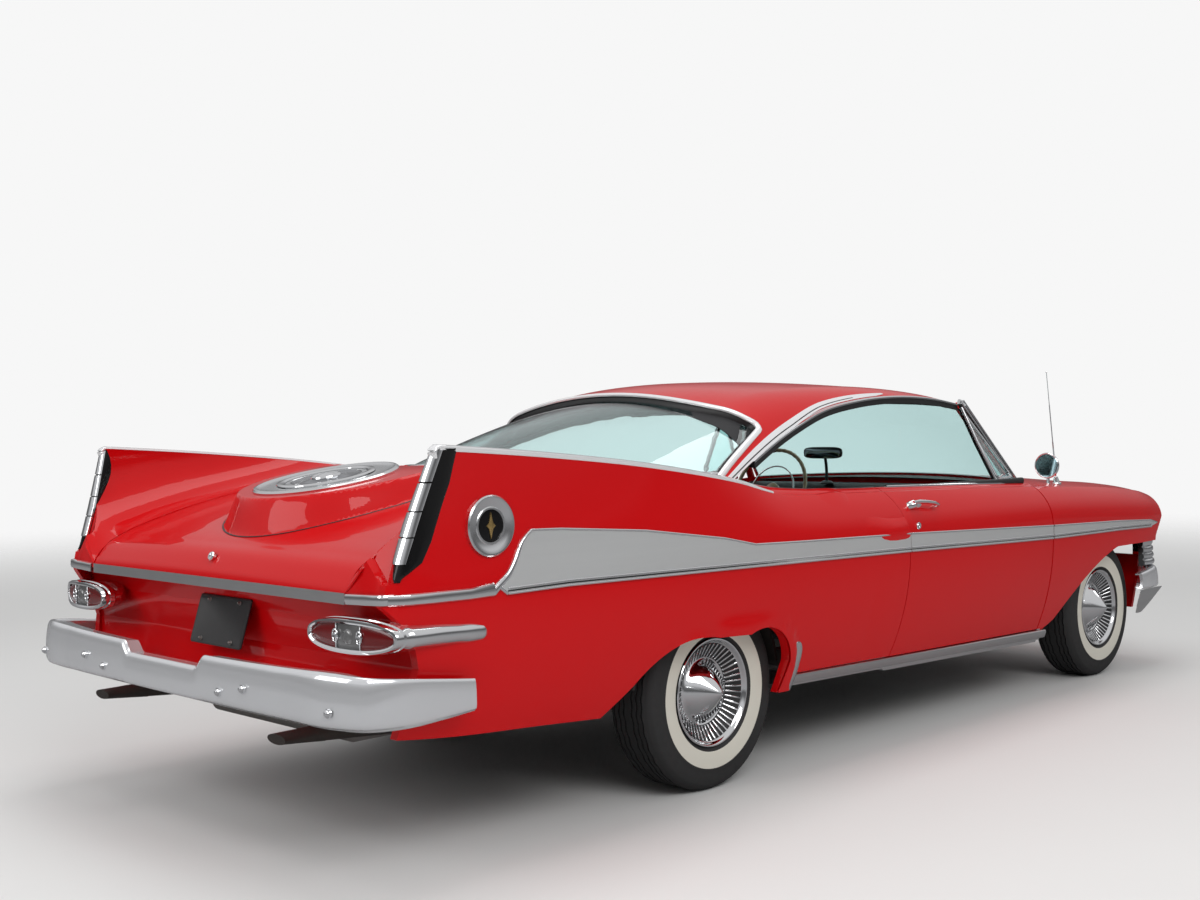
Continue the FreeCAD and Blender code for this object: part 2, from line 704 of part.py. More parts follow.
def band_section(row):
    """Section of a bright strip over the side's outer face, from its seat to a trim's depth."""
    x, y0, z0, y1, z1, y2, z2, y3, z3, y4, z4 = row[:11]
    faces = []
    for off in (trim_depth, seat_gap):
        faces.append([Vector(x, y + off, z) for y, z in ((y0, z0), (y1, z1), (y2, z2), (y3, z3), (y4, z4))])
    a, b = faces
    return closed_wire(a[0], [(a[1], a[2]), (a[3], a[4]), (b[4],), (b[3], b[2]), (b[1], b[0])])


def band(table, outline, x0, x1):
    """Bright trim inside an outline in side view: the side's own form, a trim's depth proud of it."""
    outer = loft([band_section(row) for row in table])
    kept = side_prism(outline, 700, 1100).common(box(x0, x1, sill_y, 1100, 250, 1100))
    return largest(outer.common(kept))


def fin_trim(panel):
    """The segmented bright edge down the back of a fin, and the strip along its crest."""
    spine = [(-2350, 973, 1208), (-2406, 962, 1030), (-2461, 922, 852)]
    pieces = []
    steps = fin_segments
    for i in range(steps):
        a = i / steps + 0.006
        b = (i + 1) / steps - 0.006
        ends = []
        for t in (a, b):
            low = Vector(*spine[2]) * t * (2 * t - 1) + Vector(*spine[1]) * 4 * t * (1 - t)
            ends.append(low + Vector(*spine[0]) * (1 - t) * (1 - 2 * t))
        half = [fin_trim_width * (1 - 0.45 * abs(t - 0.35)) / 2 for t in (a, b)]
        wires = []
        for p, w in zip(ends, half):
            wires.append(closed_wire(p + Vector(6, -w, 0), [
                (p + Vector(-fin_trim_depth, -w * 0.3, 0), p + Vector(-fin_trim_depth + 4, w * 0.6, 0)),
                (p + Vector(-8, w, 0),), (p + Vector(6, w, 0),)]))
        pieces.append(loft(wires).cut(panel))
    return pieces


def crest_strip():
    rows = [row for row in QUARTER if row[0] <= -700 and row[0] >= -2400]
    wires = []
    for row in rows:
        x, crest_y, crest_z, lip_y = row[0], row[9], row[10], row[11]
        top = crest_z + 2
        wires.append(Part.makePolygon([Vector(x, y, z) for y, z in (
            (crest_y + 1, crest_z - 6), (crest_y + 2, top + 3), (lip_y, top + 6), (lip_y, top + seat_gap),
            (crest_y - 2, top), (crest_y - 2, crest_z - 6), (crest_y + 1, crest_z - 6))]))
    return loft(wires).common(box(-2345, -785, 800, 1100, 900, 1300))


def sill_moulding():
    """The bright moulding along the sill."""
    wires = []
    for x in (sill_rear_x + 10, (sill_rear_x + sill_front_x) / 2, sill_front_x + 40):
        top = sill_line(x) - panel_gap - 2
        wires.append(closed_wire(Vector(x, sill_y + 6 + seat_gap, top), [
            (Vector(x, sill_y + 15, top - 8), Vector(x, sill_y + 10, top - 40)),
            (Vector(x, sill_y + 6 + seat_gap, top - 40),)]))
    return loft(wires)


def medallion():
    profile = [(0, 0), (0, medallion_radius), (8, medallion_radius), (11, medallion_radius - 7),
               (6, medallion_radius - 14), (4, medallion_radius - 18), (7, 0)]
    return revolve(profile, (medallion_x, medallion_y, medallion_z), (0, 1, 0))


def deck_disc():
    lean = math.radians(disc_tilt)
    axis = (-math.sin(lean), 0, math.cos(lean))
    profile = [(0, 0), (0, disc_radius), (5, disc_radius), (9, disc_radius - 8), (10, disc_radius - 40),
               (14, disc_radius - 110), (15, 0)]
    return revolve(profile, (disc_x, 0, disc_z), axis)


# ---------------------------------------------------------------- structure and cabin
def rail(outline, y, drop):
    """One box rail from the line of its top edge in side view."""
    lower = []
    for point in reversed(outline):
        lower.append(tuple(v - drop if i % 2 else v for i, v in enumerate(point[-2:])))
    return side_prism(outline + lower, y - rail_width / 2, y + rail_width / 2)


def frame_rails(floor):
    """Box rails that rise over the rear axle, narrow front rails and six cross-members."""
    rear = rail([(rail_end_x, 495), (-1450, 495), (-1350, 545), (-800, 545), (-640, rail_top), (1290, rail_top)],
                rail_y, rail_depth)
    front = rail([(1150, rail_top), (1200, rail_top), (1420, 400), (1520, 470), (front_rail_end_x, 470)],
                 front_rail_y, rail_depth)
    inner, outer = front_rail_y - rail_width / 2, rail_y + rail_width / 2
    torque_box = box(1160, 1280, inner, outer, rail_top - rail_depth + 8, rail_top - 2)
    pieces = [rear, mirrored(rear), front, mirrored(front), torque_box, mirrored(torque_box)]
    for x, top, half, depth in ((-2310, 488, outer, 70), (-1540, 488, outer, 60), (-520, rail_top - 5, outer, 34),
                                (420, rail_top - 5, outer, 34), (1220, rail_top - 5, outer, 34), (2390, 464, front_rail_y, 70)):
        pieces.append(box(x - 45, x + 45, -half + 4, half - 4, top - depth, top))
    eye_z = hub_height - spring_drop + spring_rise
    for side in (-1, 1):
        y0, y1 = sorted((side * outer, side * (spring_y + 35)))
        front_eye = rear_axle_x + spring_half - 20
        rear_eye = rear_axle_x - spring_half + 20
        pieces.append(box(front_eye - 22, front_eye + 22, y0, y1, 270, eye_z - spring_leaf - 12))
        pieces.append(box(rear_eye - 22, rear_eye + 22, y0, y1, eye_z + seat_gap, 440))
        for x in (-250, 450, 1050):
            puck = Part.makeCylinder(28, 60, Vector(x, side * rail_y, 300))
            pieces.append(under(puck, floor))
    return fused(pieces)


FLOOR_LINE = [(1404, 620), (1404, 480), (1270, 352), (-400, 340), (-440, 440), (-660, 440), (-780, 600),
              (-1340, 600), (-1460, 508), (-2378, 508)]


def below_floor():
    """The space under the rear part of the floor."""
    return side_prism(FLOOR_LINE[3:-1] + [(-1460, 100), (-400, 100)], -900, 900)


def floor_pan():
    """Cabin floor, toe board, heel board and trunk floor pressed in one, with the tunnel along the middle."""
    t = floor_sheet
    profile = FLOOR_LINE
    under = [(x, z - t) for x, z in reversed(profile)]
    under[-1] = (1404 + t, 620)
    under[-2] = (1404 + t, 480 - t)
    pan = side_prism(profile + under, -floor_half_width, floor_half_width)
    bump = Part.Face(closed_wire(Vector(-430, -tunnel_half, 335), [
        (Vector(-430, -tunnel_half, 420),),
        (Vector(-430, 0, 330 + tunnel_height + 40), Vector(-430, tunnel_half, 420)),
        (Vector(-430, tunnel_half, 335),)])).extrude(Vector(1800, 0, 0))
    core = Part.Face(closed_wire(Vector(-700, -tunnel_half + t, 280), [
        (Vector(-700, -tunnel_half + t, 415),),
        (Vector(-700, 0, 330 + tunnel_height + 40 - t), Vector(-700, tunnel_half - t, 415)),
        (Vector(-700, tunnel_half - t, 280),)])).extrude(Vector(2100, 0, 0))
    pan = pan.fuse(bump).cut(core)
    x = rear_axle_x
    for side in (-1, 1):
        inner, outer = wheelhouse_inner_y, floor_half_width + 40
        house = Part.makeCylinder(wheelhouse_radius + t, outer - inner + t,
                                  Vector(x, side * (inner - t), hub_height), Vector(0, side, 0))
        bore = Part.makeCylinder(wheelhouse_radius, outer - inner + 200,
                                 Vector(x, side * inner, hub_height), Vector(0, side, 0))
        house = house.common(box(x - 600, x + 600, -1000, 1000, 400, 900))
        pan = pan.fuse(house).cut(bore)
    return pan.removeSplitter()


def inner_fender(body, cover):
    """Apron beside the engine, with the shelf under the fender's edge and a rubber stop for the hood."""
    wall = box(1442, 2470, apron_y, apron_y + 4, 474, 884)
    shelf = box(1442, 2470, apron_y + 4, 900, 880, 884)
    arms = box(front_axle_x - 110, front_axle_x + 110, apron_y - 20, apron_y + 20, 400, 540)
    stop = under(Part.makeCylinder(12, 100, Vector(2380, 600, 882)), cover)
    return largest(wall.fuse(shelf).fuse(stop).cut(arms).cut(body))


def fuel_tank():
    tank = box(-2260, -1640, -390, 390, 300, FLOOR_LINE[-1][1] - floor_sheet - seat_gap)
    return tank.makeFillet(40, [e for e in tank.Edges if abs(e.tangentAt(e.FirstParameter).y) > 0.99])


def vent_window():
    """The quarter light behind the windshield pillar: a bright three-sided frame round its pane."""
    corners = [Vector(*p) for p in ((1196, 806, 1006), (955, 862, 1006), (905, 690, 1352))]
    centre = (corners[0] + corners[1] + corners[2]) * (1 / 3)
    normal = (corners[1] - corners[0]).cross(corners[2] - corners[0]).normalize()
    shrunk = [p + (centre - p) * vent_frame_share for p in corners]
    ring = lambda points, shift: Part.makePolygon([p + normal * shift for p in points + points[:1]])
    outer = Part.Face(ring(corners, -8)).extrude(normal * 16)
    inner = Part.Face(ring(shrunk, -9)).extrude(normal * 18)
    pane = Part.Face(ring(shrunk, -2.5)).extrude(normal * 5)
    plate = plan_prism([(940, 880), (940, 850), (1188, 794), (1200, 800), (1200, 880)], 986, 1004)
    return outer.cut(inner).cut(plate), pane.cut(plate), plate


def cowl():
    """Firewall and the louvred top panel in front of the windshield."""
    wall = box(1424, 1442, -690, 690, 470, 940)
    top = loft([closed_wire(Vector(x, 745, z - 6), [
        (Vector(x, 0, z + crown), Vector(x, -745, z - 6)), (Vector(x, -745, z - 60),), (Vector(x, 745, z - 60),)])
        for x, z, crown in ((1300, 990, 16), (1570, 984, 26))])
    plate = top.cut(box(1200, 1425, -720, 720, 900, 965))
    return wall.fuse(plate).removeSplitter()


def seat_rails():
    """Risers that carry the front bench on the floor."""
    return [box(120, 600, side * 430 - 60, side * 430 + 60, 332, 495) for side in (-1, 1)]


def bench(x0, x1, y_half, low, high, back_x, back_top, rake):
    """A bench seat: cushion and backrest as one upholstered form."""
    cushion = side_prism([(x0, low), (x1 - 20, low), (x1, low + 30), (x1 + 6, high - 40, x1 - 40, high),
                          (x0 + 60, high - 26), (x0, high - 20)], -y_half, y_half)
    lean = (back_top - low) * math.tan(math.radians(rake))
    back = side_prism([(back_x, low), (back_x + 130, low), (back_x + 105 - lean, back_top - 30),
                       (back_x + 70 - lean, back_top + 8, back_x + 20 - lean, back_top - 20), (back_x - lean, back_top - 60)],
                      -y_half, y_half)
    return cushion.fuse(back).removeSplitter()


def dashboard():
    return loft([closed_wire(Vector(x0, y, 975), [
        (Vector(x0 - 90, y, 968), Vector(x0 - 130, y, 925)), (Vector(x0 - 100, y, 850), Vector(x0 - 60, y, 780)),
        (Vector(x0, y, 780),)]) for x0, y in ((1262, -735), (1306, 0), (1262, 735))])


def engine():
    """One plain block with the size and place of the V8 and its gearbox."""
    block = box(1480, 2080, -270, 270, 380, 830)
    gearbox = loft([Part.makePolygon([Vector(x, y, z) for y, z in
                    ((-w, h0), (w, h0), (w, h1), (-w, h1), (-w, h0))])
                    for x, w, h0, h1 in ((1480, 124, 350, 415), (900, 80, 330, 415))])
    return block.fuse(gearbox).removeSplitter()


def radiator():
    core = box(2362, 2420, -300, 300, 464 + seat_gap, 830)
    tank = box(2358, 2424, -290, 290, 830, 870)
    return core.fuse(tank)


def rear_axle():
    """Axle tubes and the differential, with drum backs at the ends."""
    end = rear_track / 2
    housing = tube((rear_axle_x, 95 - end, hub_height), (rear_axle_x, end - 95, hub_height), axle_radius)
    housing = housing.fuse(tube((rear_axle_x, 4 - end, hub_height), (rear_axle_x, end - 4, hub_height), spindle_radius))
    centre = revolve([(-95, 0), (-90, 60), (-50, 125), (0, 138), (60, 120), (120, 62), (190, 46), (190, 0)],
                     (rear_axle_x, 0, hub_height), (1, 0, 0))
    whole = housing.fuse(centre)
    for side in (-1, 1):
        y = side * (rear_track / 2 - 95)
        whole = whole.fuse(Part.makeCylinder(140, 20, Vector(rear_axle_x, y, hub_height), Vector(0, -side, 0)))
    return whole.removeSplitter()


def leaf_spring():
    """Leaves of falling length, bowed under the axle."""
    leaves = []
    for i, share in enumerate((1, 0.8, 0.6, 0.4)):
        half = spring_half * share
        z = hub_height - spring_drop - i * (spring_leaf + 1)
        rise = share ** 2 * spring_rise
        at = lambda x, dz: Vector(rear_axle_x + x, spring_y - 30, z + dz)
        face = Part.Face(closed_wire(at(-half, rise), [(at(0, 0), at(half, rise)),
                                                       (at(half, rise - spring_leaf),),
                                                       (at(0, -spring_leaf), at(-half, rise - spring_leaf))]))
        leaves.append(face.extrude(Vector(0, 60, 0)))
    clamp = box(rear_axle_x - 50, rear_axle_x + 50, spring_y - 36, spring_y + 36, hub_height - 86, hub_height - axle_radius)
    return fused(leaves + [clamp])


def front_suspension():
    """Cross-member under the engine, with an upper and a lower arm to each knuckle."""
    beam = box(front_axle_x - 70, front_axle_x + 70, -470, 470, 235, 330)
    inner = front_rail_y + rail_width / 2
    towers = [box(front_axle_x - 60, front_axle_x + 60, inner, 473, 300, 500)]
    towers.append(mirrored(towers[0]))
    for side in (-1, 1):
        towers.append(box(front_axle_x - 40, front_axle_x + 40, side * 140 - 40, side * 140 + 40, 325, 380 - seat_gap))
    arms = []
    for side in (-1, 1):
        for z, inner, outer, spread in ((steer_post_low - 26, 440, kingpin_y + 8, 130),
                                        (steer_post_high, 470, kingpin_y + 8, 90)):
            face = Part.makePolygon([Vector(front_axle_x + dx, side * y, z) for dx, y in (
                (-spread, inner), (spread, inner), (22, outer), (-22, outer), (-spread, inner))])
            arms.append(Part.Face(face).extrude(Vector(0, 0, 26)))
    return fused([beam] + towers + arms)


def exhaust():
    """One pipe with its silencer, over the axle to a flat tip under the rear bumper."""
    route = [(1500, 300, 330), (1300, 300, pipe_z), (-600, 300, pipe_z), (-850, 340, 450), (-1230, 340, 450),
             (-1500, 340, 345), (-1800, 530, 335), (-2440, 530, 386)]
    pieces = []
    for a, b in zip(route, route[1:]):
        pieces.append(tube(a, b, pipe_radius))
        pieces.append(Part.makeSphere(pipe_radius, Vector(*b)))
    silencer = [Part.Wire([Part.Ellipse(Vector(x, 405, pipe_z), Vector(x, 300, pipe_z + 52),
                                        Vector(x, 300, pipe_z)).toShape()]) for x in (200, -330)]
    pieces.append(loft(silencer))
    tip = loft([oval(-2430, 530, 385, pipe_radius + 1, pipe_radius + 1), oval(-2590, 530, 390, 46, 15)])
    hanger = box(410, 430, 290, 310, pipe_z + pipe_radius - 4, 269 - seat_gap)
    return fused(pieces + [tip, hanger])


def knuckle():
    """The upright, its spindle and the brake backing plate, on the left."""
    y = front_track / 2
    post = tube((front_axle_x, kingpin_y, steer_post_low + seat_gap), (front_axle_x, kingpin_y, steer_post_high - seat_gap),
                kingpin_radius)
    spindle = tube((front_axle_x, kingpin_y, hub_height), (front_axle_x, y - 4, hub_height), spindle_radius)
    plate = Part.makeCylinder(140, 10, Vector(front_axle_x, y - 60, hub_height), Vector(0, 1, 0))
    arm = box(front_axle_x - 150, front_axle_x, kingpin_y - 14, kingpin_y + 10, 300, 322)
    return fused([post, spindle, plate, arm])


def rim():
    """Steel rim with its full cover: a dished ring, a deep bowl and a pointed cone with small fins."""
    r = tyre_bead_radius
    w = rim_width / 2
    barrel = revolve([(-w, r - 10), (-w, r + 10), (-w + 6, r + 10), (-w + 10, r - 3), (w - 10, r - 3), (w - 6, r + 10),
                      (w, r + 10), (w, r - 10), (w - 14, r - 14), (-w + 14, r - 14)], (0, 0, 0), (0, 1, 0))
    cover = revolve([(w - 22, 0), (w - 22, r - 16), (w + 2, r - 8), (w + 9, r + 3), (w + 13, r + 3), (w + 14, r - 6),
                     (w + 2, r - 28), (w + 4, r - 62), (w - 4, r - 70), (w + 6, 96), (w + 44, 26), (w + 58, 0)],
                    (0, 0, 0), (0, 1, 0))
    disc = revolve([(-14, hub_bore), (-14, r - 12), (-4, r - 12), (-4, hub_bore)], (0, 0, 0), (0, 1, 0))
    whole = barrel.fuse(cover).fuse(disc)
    fins = []
    for i in range(cover_fins):
        fin = Part.Face(Part.makePolygon([Vector(0, w + 2, 40), Vector(0, w + 2, 108), Vector(0, w + 15, 104),
                                          Vector(0, w + 46, 40), Vector(0, w + 2, 40)])).extrude(Vector(3, 0, 0))
        fin.rotate(Vector(0, 0, 0), Vector(0, 1, 0), i * 360 / cover_fins)
        fins.append(fin)
    whole = whole.multiFuse(fins).removeSplitter()
    return whole


def tyre():
    """A bias-ply tyre with bulged sidewalls and a bead that sits on the rim, in flat facets."""
    r = tyre_radius
    seat = tyre_bead_radius - 3 + seat_gap
    bead = rim_width / 2 - 10 - seat_gap
    w = tyre_width / 2
    half = [(bead, seat), (bead, seat + 14), (w, seat + 76), (w - 9, r - 24), (w - 34, r)]
    profile = half + [(-a, radius) for a, radius in reversed(half)]
    rings = []
    for i in range(tyre_facets):
        turn = 2 * math.pi * i / tyre_facets
        rings.append([Vector(-math.sin(turn) * radius, a, -math.cos(turn) * radius) for a, radius in profile])
    faces = []
    for i, ring in enumerate(rings):
        after = rings[(i + 1) % tyre_facets]
        for k in range(len(profile)):
            n = (k + 1) % len(profile)
            faces.append(Part.Face(Part.makePolygon([ring[k], ring[n], after[n], after[k], ring[k]])))
    shell = Part.makeShell(faces)
    solid = Part.makeSolid(shell)
    if solid.Volume < 0:
        solid.reverse()
    return solid


def steering_wheel():
    """Thin rim, two spokes with a horn ring, and a hub."""
    rim_ring = Part.makeTorus(steering_wheel_radius, 11)
    horn = Part.makeTorus(steering_wheel_radius * 0.62, 4, Vector(0, 0, -14))
    hub = Part.makeCylinder(34, 46, Vector(0, 0, -52))
    spokes = [tube((side * 22, 0, -30), (side * (steering_wheel_radius - 4), 0, -4), 8) for side in (-1, 1)]
    whole = fused([rim_ring, hub, horn] + spokes)
    whole.rotate(Vector(0, 0, 0), Vector(0, 1, 0), -(90 - column_rake))
    whole.translate(Vector(*steering_wheel_centre))
    return whole


def column(grow=0.0):
    """Steering column from the hub down through the toe board."""
    lean = math.radians(column_rake)
    along = Vector(math.cos(lean), 0, -math.sin(lean))
    start = Vector(*steering_wheel_centre) + along * (52 + seat_gap)
    return Part.makeCylinder(28 + grow, 520, start, along)


def place(shape, x, y, z):
    moved = shape.copy()
    moved.translate(Vector(x, y, z))
    return moved


def tail_panel():
    """The body-coloured panel between the quarters, recessed round the number plate."""
    outline = [(-2484, 790), (-2440, 776), (-2409, 715), (-2396, 610), (-2420, 440), (-2396, 440), (-2372, 610),
               (-2385, 722), (-2420, 790)]
    return side_prism(outline, -tail_half_width, tail_half_width)


def plate_bracket():
    """A blank plate on its bracket, with the two upper bolt holes."""
    face = -plate_offset
    plate = box(face, face + 4, -plate_half_width, plate_half_width, plate_low, plate_low + plate_height)
    plate = plate.makeFillet(10, [e for e in plate.Edges if abs(e.tangentAt(e.FirstParameter).x) > 0.99])
    for side in (-1, 1):
        hole = Part.makeCylinder(plate_hole_radius, 20, Vector(face - 5, side * plate_bolt_spacing / 2, plate_bolt_z),
                                 Vector(1, 0, 0))
        plate = plate.cut(hole)
    stem = box(face + 4, face + 60, -60, 60, plate_low + 40, plate_low + plate_height - 40)
    return plate.fuse(stem)


def mirror():
    """Round mirror on a short stem, on the right fender."""
    stem = tube((1500, -825, 962), (1500, -825, 1035), 6)
    head = revolve([(-8, 0), (-8, 40), (0, 46), (14, 38), (26, 18), (30, 0)], (1500, -825, 1062), (1, 0, 0))
    foot = revolve([(0, 0), (0, 20), (8, 12), (12, 0)], (1500, -825, 958), (0, 0, 1))
    return fused([stem, head, foot])


def export(name, shape):
    shape.exportStep("parts/" + name + ".step")
    print(name, shape.isValid(), len(shape.Solids), round(shape.Volume / 1e6, 2))


def export_pair(name, shape):
    """A left-hand piece and its mirror image, each in a node of its own."""
    export(name + "_left", shape)
    export(name + "_right", mirrored(shape))


def main():
    os.makedirs("parts", exist_ok=True)
    side = quarter()
    front = fender()
    shut = door_shell()
    bodies = side.fuse(mirrored(side))
    fronts = front.fuse(mirrored(front))
    rear_pane = backlight()
    roof_shell = largest(roof().cut(rear_pane))
    deck = rear_deck().cut(bodies).cut(rear_pane).cut(roof_shell)
    tail = largest(tail_panel().cut(bodies))
    rear_body = bodies.fuse(tail)
    left_rear = side.fuse(tail)

    export_pair("quarter", side)
    export_pair("fender", front)
    export_pair("door", shut)
    export("sills", both(sill()))
    posts = pillar((windshield_base_side_x - 12, 768, 985), (952, 672, 1362), 44, 30)
    post = posts.cut(roof_shell).cut(front)
    post = largest(post)
    export("roof", Part.Compound([largest(roof_shell.cut(bodies)), post, mirrored(post)]))
    export("windshield", windshield().cut(posts).cut(mirrored(posts)).cut(roof_shell).cut(fronts))
    export("rear_glass", rear_pane)
    cover = hood()
    lid = deck_lid()
    export("hood", cover)
    export("deck_lid", lid)
    export("deck_disc", deck_disc())
    export("rear_deck", deck)
    latch = under(box(-2466, -2440, -30, 30, 789, 960), lid)
    export("tail_panel", tail.fuse(latch))
    export("front_panel", front_panel(fronts))
    pods = both(largest(headlamp_pods(front)))
    export("grille", grille(pods))
    export("headlamp_bezels", pods)
    lamps = [headlamp(side_sign * (headlamp_y + off)) for side_sign in (-1, 1)
             for off in (-headlamp_spacing / 2, headlamp_spacing / 2)]
    export("headlamps", Part.Compound(lamps))
    export("fender_vents", both(largest(fender_vents().cut(front).cut(pods))))
    export("front_bumper", Part.Compound([front_bumper()]))
    export("rear_bumper", Part.Compound([rear_bumper()]))
    export("tail_lamp_bezels", both(tail_lamp_housing(left_rear)))
    export("tail_lamp_lenses", both(tail_lamp_lens()))
    spear = SPEAR_TOP + SPEAR_BOTTOM
    trims = fin_trim(side) + [crest_strip().cut(side)]
    export("fin_trims", Part.Compound(trims + [mirrored(t) for t in trims]))
    quarter_spear = band(QUARTER, spear, -2200, door_rear_x - panel_gap)
    fender_spear = band(FENDER, spear, door_front_x + panel_gap, 2600)
    bright = [quarter_spear, fender_spear, sill_moulding(), medallion().cut(side)]
    export("side_brightwork", Part.Compound(bright + [mirrored(b) for b in bright]))
    export_pair("door_spear", band(DOOR, spear, door_rear_x, door_front_x))
    floor = floor_pan().cut(both(sill())).cut(tail)
    export("floor_pan", floor)
    export("frame", frame_rails(floor))
    export("plate_bracket", largest(plate_bracket().cut(tail)))
    export("inner_fenders", both(inner_fender(front, cover)))
    export("fuel_tank", fuel_tank())
    scuttle = cowl().cut(fronts).cut(column(seat_gap))
    export("cowl", scuttle)
    export("dashboard", largest(dashboard().cut(column(seat_gap)).cut(fronts).cut(scuttle)))
    export("front_seat", largest(fused([bench(110, 640, 640, 495, 600, 20, 985, 12)] + seat_rails()).cut(floor)))
    export("rear_seat", bench(-820, -400, wheelhouse_inner_y - 20, 440, 590, -900, 960, 14).cut(below_floor()).cut(floor))
    export("engine", engine())
    export("radiator", radiator())
    export("rear_axle", rear_axle())
    export("leaf_springs", both(leaf_spring()))
    export("front_suspension", front_suspension())
    export("exhaust", both(exhaust()))
    export_pair("knuckle", knuckle())
    wheel = rim()
    rubber = tyre()
    for name, x, track in (("front", front_axle_x, front_track), ("rear", rear_axle_x, rear_track)):
        export_pair("wheel_" + name, place(wheel, x, track / 2, hub_height))
        export_pair("tyre_" + name, place(rubber, x, track / 2, hub_height))
    export("steering_wheel", steering_wheel())
    export("steering_column", column())
    export("antenna", tube((antenna_x, -antenna_y, 958), (antenna_x - 95, -antenna_y, 1510), 3).cut(fronts))
    frame_ring, pane, plate = vent_window()
    export_pair("vent_window", Part.Compound([frame_ring.fuse(plate.cut(shut)).cut(shut), pane]))
    export("mirror", mirror().cut(fronts))


main()
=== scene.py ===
import math

import bmesh
import bpy
import numpy as np
from mathutils import Matrix, Vector
from mathutils.geometry import delaunay_2d_cdt

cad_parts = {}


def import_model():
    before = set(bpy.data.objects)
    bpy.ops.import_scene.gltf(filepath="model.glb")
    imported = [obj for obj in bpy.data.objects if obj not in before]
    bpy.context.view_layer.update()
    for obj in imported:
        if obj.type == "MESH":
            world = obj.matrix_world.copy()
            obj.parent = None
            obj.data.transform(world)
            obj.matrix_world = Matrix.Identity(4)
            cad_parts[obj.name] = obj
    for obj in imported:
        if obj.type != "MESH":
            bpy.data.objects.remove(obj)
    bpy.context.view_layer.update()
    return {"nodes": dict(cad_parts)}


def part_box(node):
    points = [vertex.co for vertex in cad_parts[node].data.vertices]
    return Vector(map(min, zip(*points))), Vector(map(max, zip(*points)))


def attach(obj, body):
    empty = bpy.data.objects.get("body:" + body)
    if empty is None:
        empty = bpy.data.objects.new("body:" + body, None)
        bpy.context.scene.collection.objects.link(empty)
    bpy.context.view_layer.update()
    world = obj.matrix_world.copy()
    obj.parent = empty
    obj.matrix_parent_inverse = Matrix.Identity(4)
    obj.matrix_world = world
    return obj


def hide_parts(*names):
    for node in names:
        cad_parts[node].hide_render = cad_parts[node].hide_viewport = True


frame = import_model()
MM = 0.001


def box(node):
    low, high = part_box(node)
    return np.array(low), np.array(high)


# ------------------------------------------------------------------ body sections, in millimetres
# x, sill (y, z), low (y, z), wide (y, z), up (y, z), crest (y, z), lip y, roll (y, z), seam (y, z)
FENDER = [
    (1150, 883, 287, 961, 550, 978, 789, 960, 897, 897, 974, 880, 800, 991, 705, 999),
    (1500, 878, 285, 955, 550, 971, 782, 952, 885, 888, 962, 872, 795, 982, 700, 990),
    (1900, 870, 290, 945, 555, 960, 770, 940, 868, 875, 945, 858, 785, 964, 690, 972),
    (2250, 860, 300, 932, 560, 946, 758, 926, 848, 862, 922, 845, 770, 941, 675, 950),
    (2480, 850, 320, 918, 570, 930, 750, 910, 835, 848, 900, 830, 757, 918, 662, 928),
    (2610, 842, 335, 905, 575, 914, 745, 894, 826, 836, 878, 818, 745, 898, 650, 908),
]
DOOR = [
    (-150, 886, 292, 965, 550, 984, 795, 965, 905, 905, 1000, 898, 885, 1012, 868, 1018),
    (300, 885, 290, 964, 550, 983, 795, 964, 902, 903, 992, 896, 882, 1003, 865, 1009),
    (800, 883, 287, 962, 550, 980, 792, 961, 898, 899, 982, 892, 878, 993, 861, 999),
    (1300, 880, 285, 957, 550, 974, 786, 956, 891, 893, 970, 885, 871, 981, 854, 987),
]
QUARTER = [
    (80, 886, 292, 965, 550, 984, 795, 965, 907, 904, 996, 897, 883, 1008, 866, 1014),
    (-300, 886, 294, 965, 552, 984, 796, 966, 913, 908, 1003, 900, 887, 1014, 870, 1020),
    (-520, 887, 297, 965, 553, 984, 796, 966, 921, 914, 1006, 904, 889, 1021, 869, 1028),
    (-700, 888, 300, 966, 555, 984, 797, 966, 935, 922, 1014, 910, 893, 1032, 866, 1040),
    (-1000, 890, 312, 967, 560, 984, 798, 966, 960, 938, 1075, 920, 888, 1080, 845, 1084),
    (-1400, 894, 335, 968, 570, 984, 800, 965, 985, 955, 1134, 930, 872, 1112, 790, 1108),
    (-1900, 898, 370, 966, 585, 982, 803, 966, 1010, 974, 1183, 945, 868, 1070, 760, 1044),
    (-2300, 895, 398, 955, 600, 972, 805, 966, 1020, 986, 1211, 957, 868, 990, 755, 946),
    (-2400, 888, 408, 946, 602, 964, 805, 958, 1022, 988, 1217, 960, 866, 960, 755, 909),
    (-2460, 878, 415, 932, 604, 948, 805, 942, 1024, 989, 1220, 962, 849, 934, 755, 873),
    (-2505, 850, 420, 898, 606, 915, 805, 915, 1026, 990, 1224, 964, 833, 887, 755, 815),
]
# x, crown z, shoulder (y, z), edge (y, z)
ROOF = [
    (960, 1396, 480, 1384, 666, 1352), (750, 1424, 490, 1408, 673, 1374), (400, 1452, 500, 1430, 677, 1383),
    (100, 1462, 505, 1432, 684, 1362), (-180, 1458, 515, 1418, 706, 1318), (-350, 1450, 530, 1400, 730, 1271),
    (-510, 1434, 550, 1370, 755, 1219), (-675, 1402, 580, 1318, 786, 1158),
        (-873, 1330, 640, 1226, 826, 1078),
    (-960, 1290, 660, 1180, 842, 1040),
]
# x, crown z, edge (y, z)
HOOD = [(1575, 1013, 696, 986), (1800, 1004, 690, 976), (2100, 984, 678, 958), (2400, 950, 662, 934),
        (2550, 922, 650, 915)]
DECK = [(-1400, 1140, 790, 1108), (-1600, 1112, 775, 1094), (-1900, 1062, 760, 1044), (-2150, 1003, 756, 990),
        (-2300, 956, 755, 946), (-2400, 916, 755, 909), (-2460, 882, 755, 873), (-2505, 822, 755, 815)]
SHUT = 5.0            # gap round a moving panel
DOOR_FRONT, DOOR_REAR = 1247.0, 27.0
LID_FRONT = -1530.0


